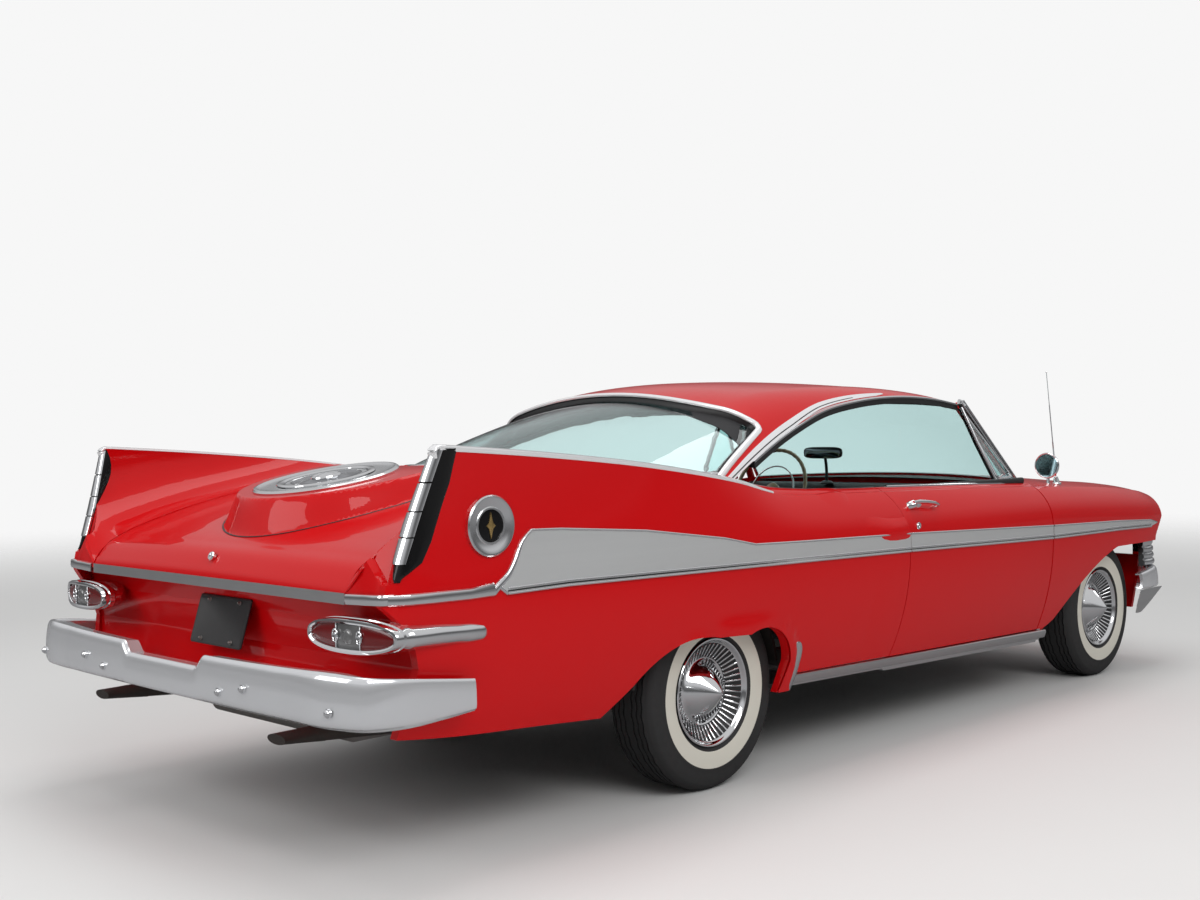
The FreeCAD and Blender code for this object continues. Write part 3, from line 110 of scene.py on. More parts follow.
def sill_line(x):
    return 346.0 - 0.0275 * (x - DOOR_REAR)


# ------------------------------------------------------------------ shapes
def smooth_rows(table, x):
    """The table's columns at each x, on a smooth curve through its rows."""
    rows = np.array(sorted(table), float)
    xs, values = rows[:, 0], rows[:, 1:]
    slope = np.zeros_like(values)
    h = np.diff(xs)[:, None]
    d = np.diff(values, axis=0) / h
    slope[1:-1] = (d[:-1] * h[1:] + d[1:] * h[:-1]) / (h[:-1] + h[1:])
    slope[0], slope[-1] = d[0], d[-1]
    x = np.clip(np.atleast_1d(x).astype(float), xs[0], xs[-1])
    i = np.clip(np.searchsorted(xs, x, side="right") - 1, 0, len(xs) - 2)
    step = (xs[i + 1] - xs[i])[:, None]
    t = ((x - xs[i])[:, None]) / step
    h00, h10 = 2 * t ** 3 - 3 * t ** 2 + 1, t ** 3 - 2 * t ** 2 + t
    h01, h11 = -2 * t ** 3 + 3 * t ** 2, t ** 3 - t ** 2
    return h00 * values[i] + h10 * step * slope[i] + h01 * values[i + 1] + h11 * step * slope[i + 1]


def arc_points(a, m, b, t):
    """Points at shares t of the arc from a through m to b. All are (n, 2) arrays."""
    ax, ay, mx, my, bx, by = a[:, 0], a[:, 1], m[:, 0], m[:, 1], b[:, 0], b[:, 1]
    d = 2 * (ax * (my - by) + mx * (by - ay) + bx * (ay - my))
    flat = np.abs(d) < 1e-6
    d = np.where(flat, 1.0, d)
    a2, m2, b2 = ax ** 2 + ay ** 2, mx ** 2 + my ** 2, bx ** 2 + by ** 2
    cx = (a2 * (my - by) + m2 * (by - ay) + b2 * (ay - my)) / d
    cy = (a2 * (bx - mx) + m2 * (ax - bx) + b2 * (mx - ax)) / d
    t0 = np.arctan2(ay - cy, ax - cx)
    t1 = np.arctan2(by - cy, bx - cx)
    tm = np.arctan2(my - cy, mx - cx)
    two = 2 * np.pi
    sweep = np.mod(t1 - t0, two)
    sweep = np.where(np.mod(tm - t0, two) <= sweep, sweep, sweep - two)
    r = np.hypot(ax - cx, ay - cy)
    ang = t0 + sweep * t
    out = np.stack([cx + r * np.cos(ang), cy + r * np.sin(ang)], 1)
    line = a + (b - a) * t[:, None]
    return np.where(flat[:, None], line, out)


def side_point(table, x, s, out=0.0):
    """The body side at x for s from 0 at the sill by 2 at the crest to 4 at the seam, as (n, 3)."""
    x, s = np.broadcast_arrays(np.atleast_1d(x).astype(float), np.atleast_1d(s).astype(float))
    r = smooth_rows(table, x)
    sill, low, wide, up, crest = (r[:, i:i + 2] for i in (0, 2, 4, 6, 8))
    lip = np.stack([r[:, 10], r[:, 9] + 2], 1)
    roll, seam = r[:, 11:13], r[:, 13:15]
    s = np.clip(s, 0, 4)
    yz = np.where((s <= 1)[:, None], arc_points(sill, low, wide, np.clip(s, 0, 1)),
                  np.where((s <= 2)[:, None], arc_points(wide, up, crest, np.clip(s - 1, 0, 1)),
                           np.where((s <= 3)[:, None], crest + (lip - crest) * np.clip(s - 2, 0, 1)[:, None],
                                    arc_points(lip, roll, seam, np.clip(s - 3, 0, 1)))))
    return np.stack([x, yz[:, 0] + out, yz[:, 1]], 1)


def normals_of(surface, u, v, du, dv):
    a = surface(u + du, v) - surface(u - du, v)
    b = surface(u, v + dv) - surface(u, v - dv)
    n = np.cross(a, b)
    return n / np.maximum(np.linalg.norm(n, axis=1), 1e-9)[:, None]


def s_at(table, x, z):
    """The share s of the outer face at height z."""
    x, z = np.broadcast_arrays(np.atleast_1d(x).astype(float), np.atleast_1d(z).astype(float))
    low, high = np.zeros(len(x)), np.full(len(x), 2.0)
    for _ in range(26):
        mid = (low + high) / 2
        below = side_point(table, x, mid)[:, 2] < z
        low, high = np.where(below, mid, low), np.where(below, high, mid)
    return (low + high) / 2


def flat_path(points, step=12.0):
    """Points along lines and arcs in a plane. A point is (a, b), or (a, b, c, d) for an arc by (a, b) to (c, d)."""
    out = [np.array(points[0][-2:], float)]
    for p in points[1:]:
        a, b = out[-1], np.array(p[-2:], float)
        n = max(2, int(np.linalg.norm(b - a) / step) + 1)
        t = np.linspace(0, 1, n + 1)[1:]
        if len(p) == 2:
            new = a + (b - a) * t[:, None]
        else:
            one = np.ones((n, 1))
            new = arc_points(a * one, np.array(p[:2], float) * one, b * one, t)
        out.extend(new)
    return np.array(out)


def end_edge(table, line, s_values, foot=False):
    """x where the side at s meets an edge drawn in side view as (x, z) points of rising z. A foot's edge rises
    inwards, from y 895 to y 800."""
    order = np.argsort(line[:, 1])
    xs, zs = line[order, 0], line[order, 1]
    x = np.full(len(s_values), xs.mean())
    for _ in range(24):
        p = side_point(table, x, s_values)
        z = p[:, 2]
        if foot:
            lift = 100 * np.clip((895 - p[:, 1]) / 95, 0, 1) * np.clip((z - 788) / 60, 0, 1)
            z = np.maximum(z - lift, np.minimum(z, 788))
        x = 0.5 * x + 0.5 * np.interp(z, zs, xs)
    return x


def link(name, mesh):
    obj = bpy.data.objects.new(name, mesh)
    bpy.context.scene.collection.objects.link(obj)
    return obj


def finish_piece(obj, body, material, hides=()):
    if material is not None:
        obj.data.materials.clear()
        for m in (material if isinstance(material, (list, tuple)) else [material]):
            obj.data.materials.append(m)
    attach(obj, body)
    if hides:
        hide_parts(*hides)
    return obj


def set_sharp(mesh, angle=40):
    bm = bmesh.new()
    bm.from_mesh(mesh)
    limit = math.radians(angle)
    for e in bm.edges:
        e.smooth = len(e.link_faces) != 2 or e.calc_face_angle(0) < limit
    for f in bm.faces:
        f.smooth = True
    bm.to_mesh(mesh)
    bm.free()


def piece(name, verts, faces, body, material, hides=(), slot=None, angle=40, outward=True, merge=0.0,
          index=None):
    """A mesh piece from points in millimetres."""
    mesh = bpy.data.meshes.new(name)
    mesh.from_pydata((np.asarray(verts, float) * MM).tolist(), [], [list(map(int, f)) for f in faces])
    if index is not None:
        mesh.polygons.foreach_set("material_index", list(index))
    bm = bmesh.new()
    bm.from_mesh(mesh)
    if merge:
        bmesh.ops.remove_doubles(bm, verts=bm.verts, dist=merge * MM)
    if outward:
        bmesh.ops.recalc_face_normals(bm, faces=bm.faces)
    bm.to_mesh(mesh)
    bm.free()
    set_sharp(mesh, angle)
    obj = finish_piece(link(name, mesh), body, material, hides)
    if index is not None:
        mesh.polygons.foreach_set("material_index", list(index))
    return obj


def grid_faces(n, m, close_n=False, close_m=False, start=0):
    """Quads of an n by m grid of points, row by row."""
    faces = []
    for i in range(n if close_n else n - 1):
        for j in range(m if close_m else m - 1):
            a = start + i * m + j
            b = start + i * m + (j + 1) % m
            c = start + ((i + 1) % n) * m + (j + 1) % m
            d = start + ((i + 1) % n) * m + j
            faces.append((a, b, c, d))
    return faces


def lofted(rows, cap=True, close_rows=False):
    """Closed sections joined into a solid: rows is (n, m, 3)."""
    rows = np.asarray(rows, float)
    n, m = rows.shape[:2]
    faces = grid_faces(n, m, close_rows, True)
    if cap and not close_rows:
        faces += [tuple(range(m)), tuple((n - 1) * m + k for k in reversed(range(m)))]
    return rows.reshape(-1, 3), faces


def join(parts):
    """Several (verts, faces) in one."""
    verts, faces, count = [], [], 0
    for v, f in parts:
        v = np.asarray(v, float)
        verts.append(v)
        faces += [tuple(k + count for k in face) for face in f]
        count += len(v)
    return np.vstack(verts), faces


def flipped(part):
    """The mirror image on the other side of the car."""
    v, f = part
    v = np.array(v, float) * (1, -1, 1)
    return v, [tuple(reversed(face)) for face in f]


def pair(part):
    return join([part, flipped(part)])


def lathe(profile, centre, axis, steps=48):
    """A solid of revolution of (along, radius) points; a radius of 0 closes at a pole."""
    axis = np.array(axis, float) / np.linalg.norm(axis)
    side = np.cross(axis, (0.0, 1.0, 0.0)) if abs(axis[1]) < 0.5 else np.array((0.0, 0.0, 1.0))
    side /= np.linalg.norm(side)
    other = np.cross(axis, side)
    verts, rings = [], []
    for along, radius in profile:
        here = np.array(centre, float) + axis * along
        if radius < 1e-6:
            rings.append([len(verts)])
            verts.append(here)
            continue
        ring = []
        for k in range(steps):
            a = 2 * math.pi * k / steps
            ring.append(len(verts))
            verts.append(here + (side * math.cos(a) + other * math.sin(a)) * radius)
        rings.append(ring)
    faces = []
    closed = profile[0][1] > 1e-6 and profile[-1][1] > 1e-6
    for a, b in zip(rings, rings[1:] + (rings[:1] if closed else [])):
        for k in range(steps):
            n = (k + 1) % steps
            quad = [a[k % len(a)], a[n % len(a)], b[n % len(b)], b[k % len(b)]]
            quad = list(dict.fromkeys(quad))
            if len(quad) > 2:
                faces.append(tuple(quad))
    return np.array(verts), faces


def swept(path, section, up=(0, 0, 1), close=False):
    """A section of (out, up) points carried along a path; out is to the right of the way along it."""
    path = np.asarray(path, float)
    along = np.gradient(path, axis=0)
    if close:
        along = np.roll(path, -1, 0) - np.roll(path, 1, 0)
    along /= np.linalg.norm(along, axis=1)[:, None]
    up = np.broadcast_to(np.asarray(up, float), path.shape)
    out = np.cross(along, up)
    out /= np.linalg.norm(out, axis=1)[:, None]
    top = np.cross(out, along)
    section = np.asarray(section, float)
    if section.ndim == 2:
        section = np.broadcast_to(section, (len(path),) + section.shape)
    rows = path[:, None] + out[:, None] * section[:, :, :1] + top[:, None] * section[:, :, 1:]
    return lofted(rows, close_rows=close)


def round_section(a, b, n=12, power=2.0):
    """A rounded section of half sizes a and b."""
    t = np.arange(n) * 2 * np.pi / n
    c, s = np.cos(t), np.sin(t)
    return np.stack([a * np.sign(c) * np.abs(c) ** (2 / power), b * np.sign(s) * np.abs(s) ** (2 / power)], 1)


def resampled(points, count):
    points = np.asarray(points, float)
    d = np.r_[0, np.cumsum(np.linalg.norm(np.diff(points, axis=0), axis=1))]
    t = np.linspace(0, d[-1], count)
    return np.stack([np.interp(t, d, points[:, k]) for k in range(points.shape[1])], 1)


def curve_through(points, count):
    """A smooth curve through a few points."""
    points = np.asarray(points, float)
    d = np.r_[0, np.cumsum(np.linalg.norm(np.diff(points, axis=0), axis=1))]
    rows = [(a,) + tuple(p) for a, p in zip(d, points)]
    return smooth_rows(rows, np.linspace(0, d[-1], count))


def inside(poly, pts):
    x, y = pts[:, 0], pts[:, 1]
    result = np.zeros(len(pts), bool)
    a, b = poly, np.roll(poly, -1, 0)
    for (x0, y0), (x1, y1) in zip(a, b):
        if y0 == y1:
            continue
        hit = ((y0 > y) != (y1 > y)) & (x < (x1 - x0) * (y - y0) / (y1 - y0) + x0)
        result ^= hit
    return result


def far_from(poly, pts, gap):
    """True where a point is farther than gap from every edge."""
    keep = np.ones(len(pts), bool)
    a, b = poly, np.roll(poly, -1, 0)
    for p, q in zip(a, b):
        d = q - p
        length = max(float(d @ d), 1e-9)
        t = np.clip(((pts - p) @ d) / length, 0, 1)
        keep &= np.linalg.norm(pts - (p + t[:, None] * d), axis=1) > gap
    return keep


def trimmed(name, surface, poly, scale, body, material, thickness, step=16.0, flip=False, hides=(),
            mirror=False, rows=(), proud=0.0):
    """A panel of a surface inside an outline in its own two coordinates, with a thickness and exact normals.
    rows are extra lines of points at those values of the second coordinate, where the surface turns sharply."""
    poly = np.asarray(poly, float)
    flat = poly * scale
    flat = np.array([p for k, p in enumerate(flat) if np.linalg.norm(p - flat[k - 1]) > 0.5])
    low, high = flat.min(0), flat.max(0)
    gx, gy = np.meshgrid(np.arange(low[0] + step / 2, high[0], step),
                         np.arange(low[1] + step / 2, high[1], step))
    gx = gx + (np.arange(gx.shape[0]) % 2)[:, None] * step / 2
    pts = np.stack([gx.ravel(), gy.ravel()], 1)
    pts = pts[inside(flat, pts)]
    pts = pts[far_from(flat, pts, step * 0.55)]
    for row in rows:
        pts = pts[np.abs(pts[:, 1] - row * scale[1]) > step * 0.35]
    for row in rows:
        line = np.arange(low[0], high[0], step * 0.7)
        line = np.stack([line, np.full(len(line), row * scale[1])], 1)
        line = line[inside(flat, line)]
        pts = np.vstack([pts, line[far_from(flat, line, 2.0)]])
    every = np.vstack([flat, pts])
    verts, _, faces, *_ = delaunay_2d_cdt([Vector(p) for p in every], [], [list(range(len(flat)))], 1, 1e-4)
    uv = np.array([tuple(v) for v in verts]) / scale
    faces = [tuple(f) for f in faces]
    outer = surface(uv[:, 0], uv[:, 1])
    d = 3.0 / np.asarray(scale)
    normal = normals_of(surface, uv[:, 0], uv[:, 1], d[0], d[1])
    if flip:
        normal = -normal
    first = faces[0]
    if np.cross(outer[first[1]] - outer[first[0]], outer[first[2]] - outer[first[0]]) @ normal[first[0]] < 0:
        faces = [tuple(reversed(f)) for f in faces]
    outer = outer + normal * proud
    inner = outer - normal * thickness
    n = len(outer)
    edges = {}
    for f in faces:
        for a, b in zip(f, f[1:] + f[:1]):
            edges[(a, b)] = edges.get((b, a), 0) + 1
    rim = [(a, b) for (a, b) in edges if (b, a) not in edges]
    every_v = np.vstack([outer, inner])
    all_faces = faces + [tuple(n + k for k in reversed(f)) for f in faces] + [(b, a, n + a, n + b) for a, b in rim]
    if mirror:
        every_v = every_v * (1, -1, 1)
        normal = normal * (1, -1, 1)
        all_faces = [tuple(reversed(f)) for f in all_faces]
    mesh = bpy.data.meshes.new(name)
    mesh.from_pydata((every_v * MM).tolist(), [], [list(map(int, f)) for f in all_faces])
    loops = []
    both = np.vstack([normal, -normal])
    solid = len(faces) * 2
    for k, f in enumerate(all_faces):
        if k < solid:
            loops += [tuple(both[i]) for i in f]
        else:
            a, b, c = (every_v[i] for i in f[:3])
            r = np.cross(b - a, c - a)
            r = r / max(np.linalg.norm(r), 1e-9)
            loops += [tuple(r)] * len(f)
    for p in mesh.polygons:
        p.use_smooth = True
    mesh.normals_split_custom_set(loops)
    return finish_piece(link(name, mesh), body, material, hides)


# ------------------------------------------------------------------ materials
def node(tree, kind, **inputs):
    n = tree.nodes.new(kind)
    for key, value in inputs.items():
        n.inputs[key.replace("_", " ")].default_value = value
    return n


def grain_group():
    """Broad and fine variation of colour, roughness and surface, for every finish."""
    g = bpy.data.node_groups.new("finish", "ShaderNodeTree")
    for name, kind, value in (("Colour", "NodeSocketColor", (1, 1, 1, 1)),
                              ("Second", "NodeSocketColor", (0, 0, 0, 1)),
                              ("Share", "NodeSocketFloat", 0.1), ("Scale", "NodeSocketVector", (1, 1, 1)),
                              ("Roughness", "NodeSocketFloat", 0.4), ("Spread", "NodeSocketFloat", 0.1),
                              ("Relief", "NodeSocketFloat", 0.1)):
        s = g.interface.new_socket(name, in_out="INPUT", socket_type=kind)
        s.default_value = value
    for name, kind in (("Colour", "NodeSocketColor"), ("Roughness", "NodeSocketFloat"),
                       ("Normal", "NodeSocketVector")):
        g.interface.new_socket(name, in_out="OUTPUT", socket_type=kind)
    i, o = g.nodes.new("NodeGroupInput"), g.nodes.new("NodeGroupOutput")
    where = g.nodes.new("ShaderNodeTexCoord")
    spread = g.nodes.new("ShaderNodeVectorMath")
    spread.operation = "MULTIPLY"
    g.links.new(where.outputs["Object"], spread.inputs[0])
    g.links.new(i.outputs["Scale"], spread.inputs[1])
    broad = node(g, "ShaderNodeTexNoise", Scale=1.7, Detail=3.0)
    fine = node(g, "ShaderNodeTexNoise", Scale=40.0, Detail=4.0)
    for n in (broad, fine):
        g.links.new(spread.outputs[0], n.inputs["Vector"])
    share = g.nodes.new("ShaderNodeMath")
    share.operation = "MULTIPLY"
    g.links.new(broad.outputs["Fac"], share.inputs[0])
    g.links.new(i.outputs["Share"], share.inputs[1])
    mix = g.nodes.new("ShaderNodeMix")
    mix.data_type = "RGBA"
    g.links.new(share.outputs[0], mix.inputs["Factor"])
    g.links.new(i.outputs["Colour"], mix.inputs["A"])
    g.links.new(i.outputs["Second"], mix.inputs["B"])
    g.links.new(mix.outputs["Result"], o.inputs["Colour"])
    rough = g.nodes.new("ShaderNodeMath")
    rough.operation = "MULTIPLY_ADD"
    g.links.new(fine.outputs["Fac"], rough.inputs[0])
    g.links.new(i.outputs["Spread"], rough.inputs[1])
    g.links.new(i.outputs["Roughness"], rough.inputs[2])
    g.links.new(rough.outputs[0], o.inputs["Roughness"])
    bump = node(g, "ShaderNodeBump", Distance=0.001)
    g.links.new(fine.outputs["Fac"], bump.inputs["Height"])
    g.links.new(i.outputs["Relief"], bump.inputs["Strength"])
    g.links.new(bump.outputs["Normal"], o.inputs["Normal"])
    return g


FINISH = grain_group()


def finish_material(name, colour, second, share=0.4, scale=(1, 1, 1), roughness=0.4, spread=0.1, relief=0.1,
                    metallic=0.0, coat=0.0, ior=1.5, coat_roughness=0.03, specular=0.5, transmission=0.0):
    m = bpy.data.materials.new(name)
    m.use_nodes = True
    t = m.node_tree
    shader = t.nodes["Principled BSDF"]
    group = t.nodes.new("ShaderNodeGroup")
    group.node_tree = FINISH
    for key, value in (("Colour", (*colour, 1)), ("Second", (*second, 1)), ("Share", share), ("Scale", scale),
                       ("Roughness", roughness), ("Spread", spread), ("Relief", relief)):
        group.inputs[key].default_value = value
    t.links.new(group.outputs["Colour"], shader.inputs["Base Color"])
    t.links.new(group.outputs["Roughness"], shader.inputs["Roughness"])
    if relief:
        t.links.new(group.outputs["Normal"], shader.inputs["Normal"])
    for key, value in (("Metallic", metallic), ("Coat Weight", coat), ("Coat Roughness", coat_roughness),
                       ("IOR", ior), ("Specular IOR Level", specular), ("Transmission Weight", transmission)):
        shader.inputs[key].default_value = value
    return m


def glass_material(name, tint):
    """Tinted glass, a little deeper in places."""
    m = bpy.data.materials.new(name)
    m.use_nodes = True
    t = m.node_tree
    shader = t.nodes["Principled BSDF"]
    noise = node(t, "ShaderNodeTexNoise", Scale=2.5, Detail=2.0)
    where = t.nodes.new("ShaderNodeTexCoord")
    t.links.new(where.outputs["Object"], noise.inputs["Vector"])
    mix = t.nodes.new("ShaderNodeMix")
    mix.data_type = "RGBA"
    mix.inputs["A"].default_value = (*tint, 1)
    mix.inputs["B"].default_value = (*[c * 0.94 for c in tint], 1)
    t.links.new(noise.outputs["Fac"], mix.inputs["Factor"])
    t.links.new(mix.outputs["Result"], shader.inputs["Base Color"])
    for key, value in (("Roughness", 0.0), ("IOR", 1.45), ("Transmission Weight", 1.0)):
        shader.inputs[key].default_value = value
    return m


PAINT = finish_material("red_paint", (0.60, 0.002, 0.004), (0.50, 0.002, 0.003), 0.3, roughness=0.3,
                        spread=0.06,
                        relief=0.0, coat=0.5, ior=1.5, coat_roughness=0.015, specular=0.06)
CHROME = finish_material("chrome", (0.86, 0.87, 0.88), (0.70, 0.71, 0.73), 0.25, roughness=0.035, spread=0.05,
                         relief=0.0, metallic=1.0)
SATIN = finish_material("satin_aluminium", (0.66, 0.66, 0.66), (0.5, 0.5, 0.51), 0.4, (1, 6, 30),
                        roughness=0.24,
                        spread=0.14, relief=0.05, metallic=1.0)
BLACK = finish_material("black_trim", (0.012, 0.012, 0.013), (0.03, 0.03, 0.03), 0.5, roughness=0.35,
                        spread=0.15)
FRAME_BLACK = finish_material("frame_black", (0.018, 0.018, 0.018), (0.06, 0.05, 0.045), 0.6, roughness=0.5,
                              spread=0.25, relief=0.3)
RUBBER = finish_material("tyre_rubber", (0.018, 0.018, 0.019), (0.035, 0.034, 0.033), 0.6, roughness=0.6,
                         spread=0.2,
                         relief=0.25)
WHITE = finish_material("whitewall", (0.70, 0.68, 0.60), (0.58, 0.56, 0.48), 0.5, roughness=0.5, spread=0.15,
                        relief=0.1)
STEEL = finish_material("bare_steel", (0.35, 0.34, 0.33), (0.16, 0.13, 0.11), 0.7, roughness=0.35, spread=0.3,
                        relief=0.3, metallic=0.9)
CAST = finish_material("cast_metal", (0.12, 0.12, 0.12), (0.06, 0.055, 0.05), 0.7, roughness=0.55,
                       spread=0.25,
                       relief=0.5, metallic=0.6)
VINYL = finish_material("black_vinyl", (0.014, 0.014, 0.015), (0.03, 0.03, 0.032), 0.5, (4, 4, 4),
                        roughness=0.42,
                        spread=0.2, relief=0.35)
CARPET = finish_material("carpet", (0.02, 0.02, 0.021), (0.05, 0.05, 0.05), 0.8, (9, 9, 9), roughness=0.85,
                         spread=0.15, relief=1.0, specular=0.2)
IVORY = finish_material("ivory_rim", (0.62, 0.52, 0.32), (0.5, 0.4, 0.22), 0.4, roughness=0.25, spread=0.1,
                        coat=0.5)
GOLD = finish_material("gold_tone", (0.72, 0.5, 0.2), (0.5, 0.33, 0.12), 0.4, roughness=0.22, spread=0.12,
                       metallic=1.0)
RED_LENS = finish_material("red_lens", (0.17, 0.0, 0.001), (0.06, 0.0, 0.0), 0.6, (3, 3, 3), roughness=0.1,
                           spread=0.08, relief=0.2, coat=0.5)
CLEAR_LENS = finish_material("clear_lens", (0.24, 0.24, 0.24), (0.09, 0.085, 0.085), 0.7, (9, 9, 9),
                             roughness=0.12,
                             spread=0.1, relief=0.5, coat=1.0, metallic=0.5)
GLASS = glass_material("teal_glass", (0.62, 0.86, 0.85))
PANEL_SILVER = finish_material("panel_silver", (0.60, 0.61, 0.61), (0.52, 0.53, 0.53), 0.4, (1, 6, 30),
                               roughness=0.42,
                               spread=0.12, relief=0.03, metallic=0.45)
CHROME_SATIN = finish_material("bright_satin", (0.80, 0.81, 0.82), (0.62, 0.63, 0.64), 0.3, roughness=0.14,
                               spread=0.08,
                               relief=0.0, metallic=1.0)
DARK_CHROME = finish_material("dark_chrome", (0.30, 0.31, 0.33), (0.18, 0.18, 0.2), 0.4, roughness=0.1,
                              spread=0.08,
                              relief=0.0, metallic=1.0)
BLACK_GLOSS = finish_material("black_gloss", (0.004, 0.004, 0.004), (0.008, 0.008, 0.009), 0.5,
                              roughness=0.12,
                              spread=0.06, relief=0.0, coat=0.25, specular=0.2)
MIRROR_FACE = finish_material("tinted_mirror", (0.30, 0.42, 0.45), (0.22, 0.33, 0.36), 0.4, roughness=0.06,
                              spread=0.04, relief=0.0, metallic=1.0)
LAMP_GLASS = finish_material("headlamp_glass", (0.92, 0.93, 0.93), (0.8, 0.82, 0.83), 0.3, (4, 4, 4),
                             roughness=0.04,
                             spread=0.04, relief=0.0, transmission=0.85)
BUMPER_BRIGHT = finish_material("bumper_plate", (0.82, 0.83, 0.85), (0.70, 0.71, 0.73), 0.3, roughness=0.07,
                                spread=0.05,
                                relief=0.0, metallic=0.62, specular=0.6)
BAND_BRIGHT = finish_material("bright_band", (0.90, 0.90, 0.91), (0.80, 0.80, 0.81), 0.3, roughness=0.12,
                              spread=0.06,
                              relief=0.0, metallic=0.3, specular=0.7)
LINER = finish_material("dark_headliner", (0.05, 0.05, 0.052), (0.03, 0.03, 0.031), 0.5, (6, 6, 6),
                        roughness=0.8,
                        spread=0.1, relief=0.4, specular=0.15)
PIPE = finish_material("sooty_pipe", (0.03, 0.028, 0.027), (0.07, 0.05, 0.04), 0.6, roughness=0.5,
                       spread=0.25,
                       relief=0.4, metallic=0.4)

NODE_FINISH = {
    "quarter_left": PAINT, "quarter_right": PAINT, "fender_left": PAINT, "fender_right": PAINT,
               "door_left": PAINT,
    "door_right": PAINT, "roof": PAINT, "hood": PAINT, "deck_lid": PAINT, "rear_deck": PAINT,
               "tail_panel": PAINT,
    "front_panel": PAINT, "cowl": PAINT, "sills": SATIN, "windshield": GLASS, "rear_glass": GLASS,
    "deck_disc": PAINT, "grille": SATIN, "headlamp_bezels": CHROME, "headlamps": CLEAR_LENS,
               "fender_vents": CHROME,
    "front_bumper": CHROME, "rear_bumper": CHROME, "tail_lamp_bezels": CHROME, "tail_lamp_lenses": RED_LENS,
    "fin_trims": SATIN, "side_brightwork": SATIN, "door_spear_left": SATIN, "door_spear_right": SATIN,
    "frame": FRAME_BLACK, "floor_pan": FRAME_BLACK, "plate_bracket": BLACK, "inner_fenders": FRAME_BLACK,
    "fuel_tank": STEEL, "dashboard": VINYL, "front_seat": VINYL, "rear_seat": VINYL, "engine": CAST,
    "radiator": BLACK, "rear_axle": CAST, "leaf_springs": STEEL, "front_suspension": FRAME_BLACK,
               "exhaust": PIPE,
    "knuckle_left": CAST, "knuckle_right": CAST, "steering_wheel": IVORY, "steering_column": VINYL,
    "antenna": CHROME, "vent_window_left": CHROME, "vent_window_right": CHROME, "mirror": CHROME,
}
for name, shown in frame["nodes"].items():
    kind = NODE_FINISH.get(name)
    if kind is None:
        kind = RUBBER if name.startswith("tyre") else CHROME
    shown.data.materials.clear()
    shown.data.materials.append(kind)


# ------------------------------------------------------------------ painted panels
CREASES = (1.97, 2.0, 2.08, 2.92, 3.0, 3.03)


def door_edge(front, grow):
    """The door's front or rear edge in side view, as (x, z) points of rising z."""
    f, r = DOOR_FRONT + grow, DOOR_REAR - grow
    if front:
        return flat_path([(f - 5, sill_line(f) - grow), (f + 3, 560, f, 800), (f - 8, 905, f - 60, 1080)])
    return flat_path([(r - 46, sill_line(r) - grow), (r - 12, 560, r, 800), (r - 20, 905, r - 130, 1080)])


FLARE = [(-1352, 549), (-1152, 604, -838, 593), (-731, 548, -672, 470), (-655, 400), (-652, 315)]


def flare_height(x, z):
    """How far the quarter stands out inside the flare round its wheel opening."""
    line = flat_path(FLARE, 14)
    line = np.vstack([line, [(-652, 200), (-1900, 200), (-1900, 330), (-1600, 420)]])
    pts = np.stack([x, z], 1)
    near = np.full(len(pts), 1e9)
    for a, b in zip(line[:-5], line[1:-4]):
        d = b - a
        t = np.clip(((pts - a) @ d) / (d @ d), 0, 1)
        near = np.minimum(near, np.linalg.norm(pts - (a + t[:, None] * d), axis=1))
    t = np.clip(near / 26, 0, 1) * inside(line, pts)
    fade = np.clip((x + 1400) / 200, 0, 1)
    return 8.5 * t * t * (3 - 2 * t) * fade


def side_surface(table):
    if table is not QUARTER:
        return lambda x, s: side_point(table, x, s)

    def flared(x, s):
        p = side_point(table, x, s)
        near = (p[:, 0] > -1420) & (p[:, 0] < -640) & (p[:, 2] < 620)
        if near.any():
            p[near, 1] += flare_height(p[near, 0], p[near, 2])
        return p
    return flared


def outline_on(table, points):
    """An outline in side view on the outer face, as (x, s)."""
    return np.stack([points[:, 0], s_at(table, points[:, 0], points[:, 1])], 1)


def edge_on(table, line, s0, s1=4.0, limit=9999.0, count=60, foot=False):
    s = np.unique(np.r_[np.linspace(s0, s1, count), 2.0,
                        3.0][(np.r_[np.linspace(s0, s1, count), 2.0, 3.0] >= s0)])
    x = np.minimum(end_edge(table, line, s, foot), limit)
    return np.stack([x, s], 1)


def panel_poly(bottom, front, rear):
    """Bottom from rear to front, front edge up, seam back, rear edge down."""
    seam = np.stack([np.linspace(front[-1, 0], rear[-1, 0], 80)[1:-1], np.full(78, 4.0)], 1)
    return np.vstack([bottom, front, seam, rear[::-1]])


def door_poly():
    low = flat_path([(DOOR_REAR - 46, sill_line(DOOR_REAR)), (DOOR_FRONT - 5, sill_line(DOOR_FRONT))])
    low = outline_on(DOOR, low)
    return panel_poly(low, edge_on(DOOR, door_edge(True, 0), low[-1, 1]),
                      edge_on(DOOR, door_edge(False, 0), low[0, 1]))


def fender_poly():
    low = flat_path([(DOOR_FRONT + SHUT - 5, sill_line(DOOR_FRONT)), (1285, sill_line(1285)), (1385, 342),
                     (1640, 524, 1985, 648), (2385, 646), (2503, 646)])
    low = outline_on(FENDER, low)
    nose = np.array([(2503, 600), (2505, 675), (2584, 744), (2637, 795), (2603, 907), (2598, 1000)], float)
    return panel_poly(low, edge_on(FENDER, nose, low[-1, 1], limit=2610),
                      edge_on(FENDER, door_edge(True, SHUT), low[0, 1]))


TAIL = np.array([(-2440, 380), (-2424, 520), (-2404, 610), (-2428, 700), (-2504, 788), (-2490, 845),
                 (-2463, 850),
                 (-2335, 1252)], float)


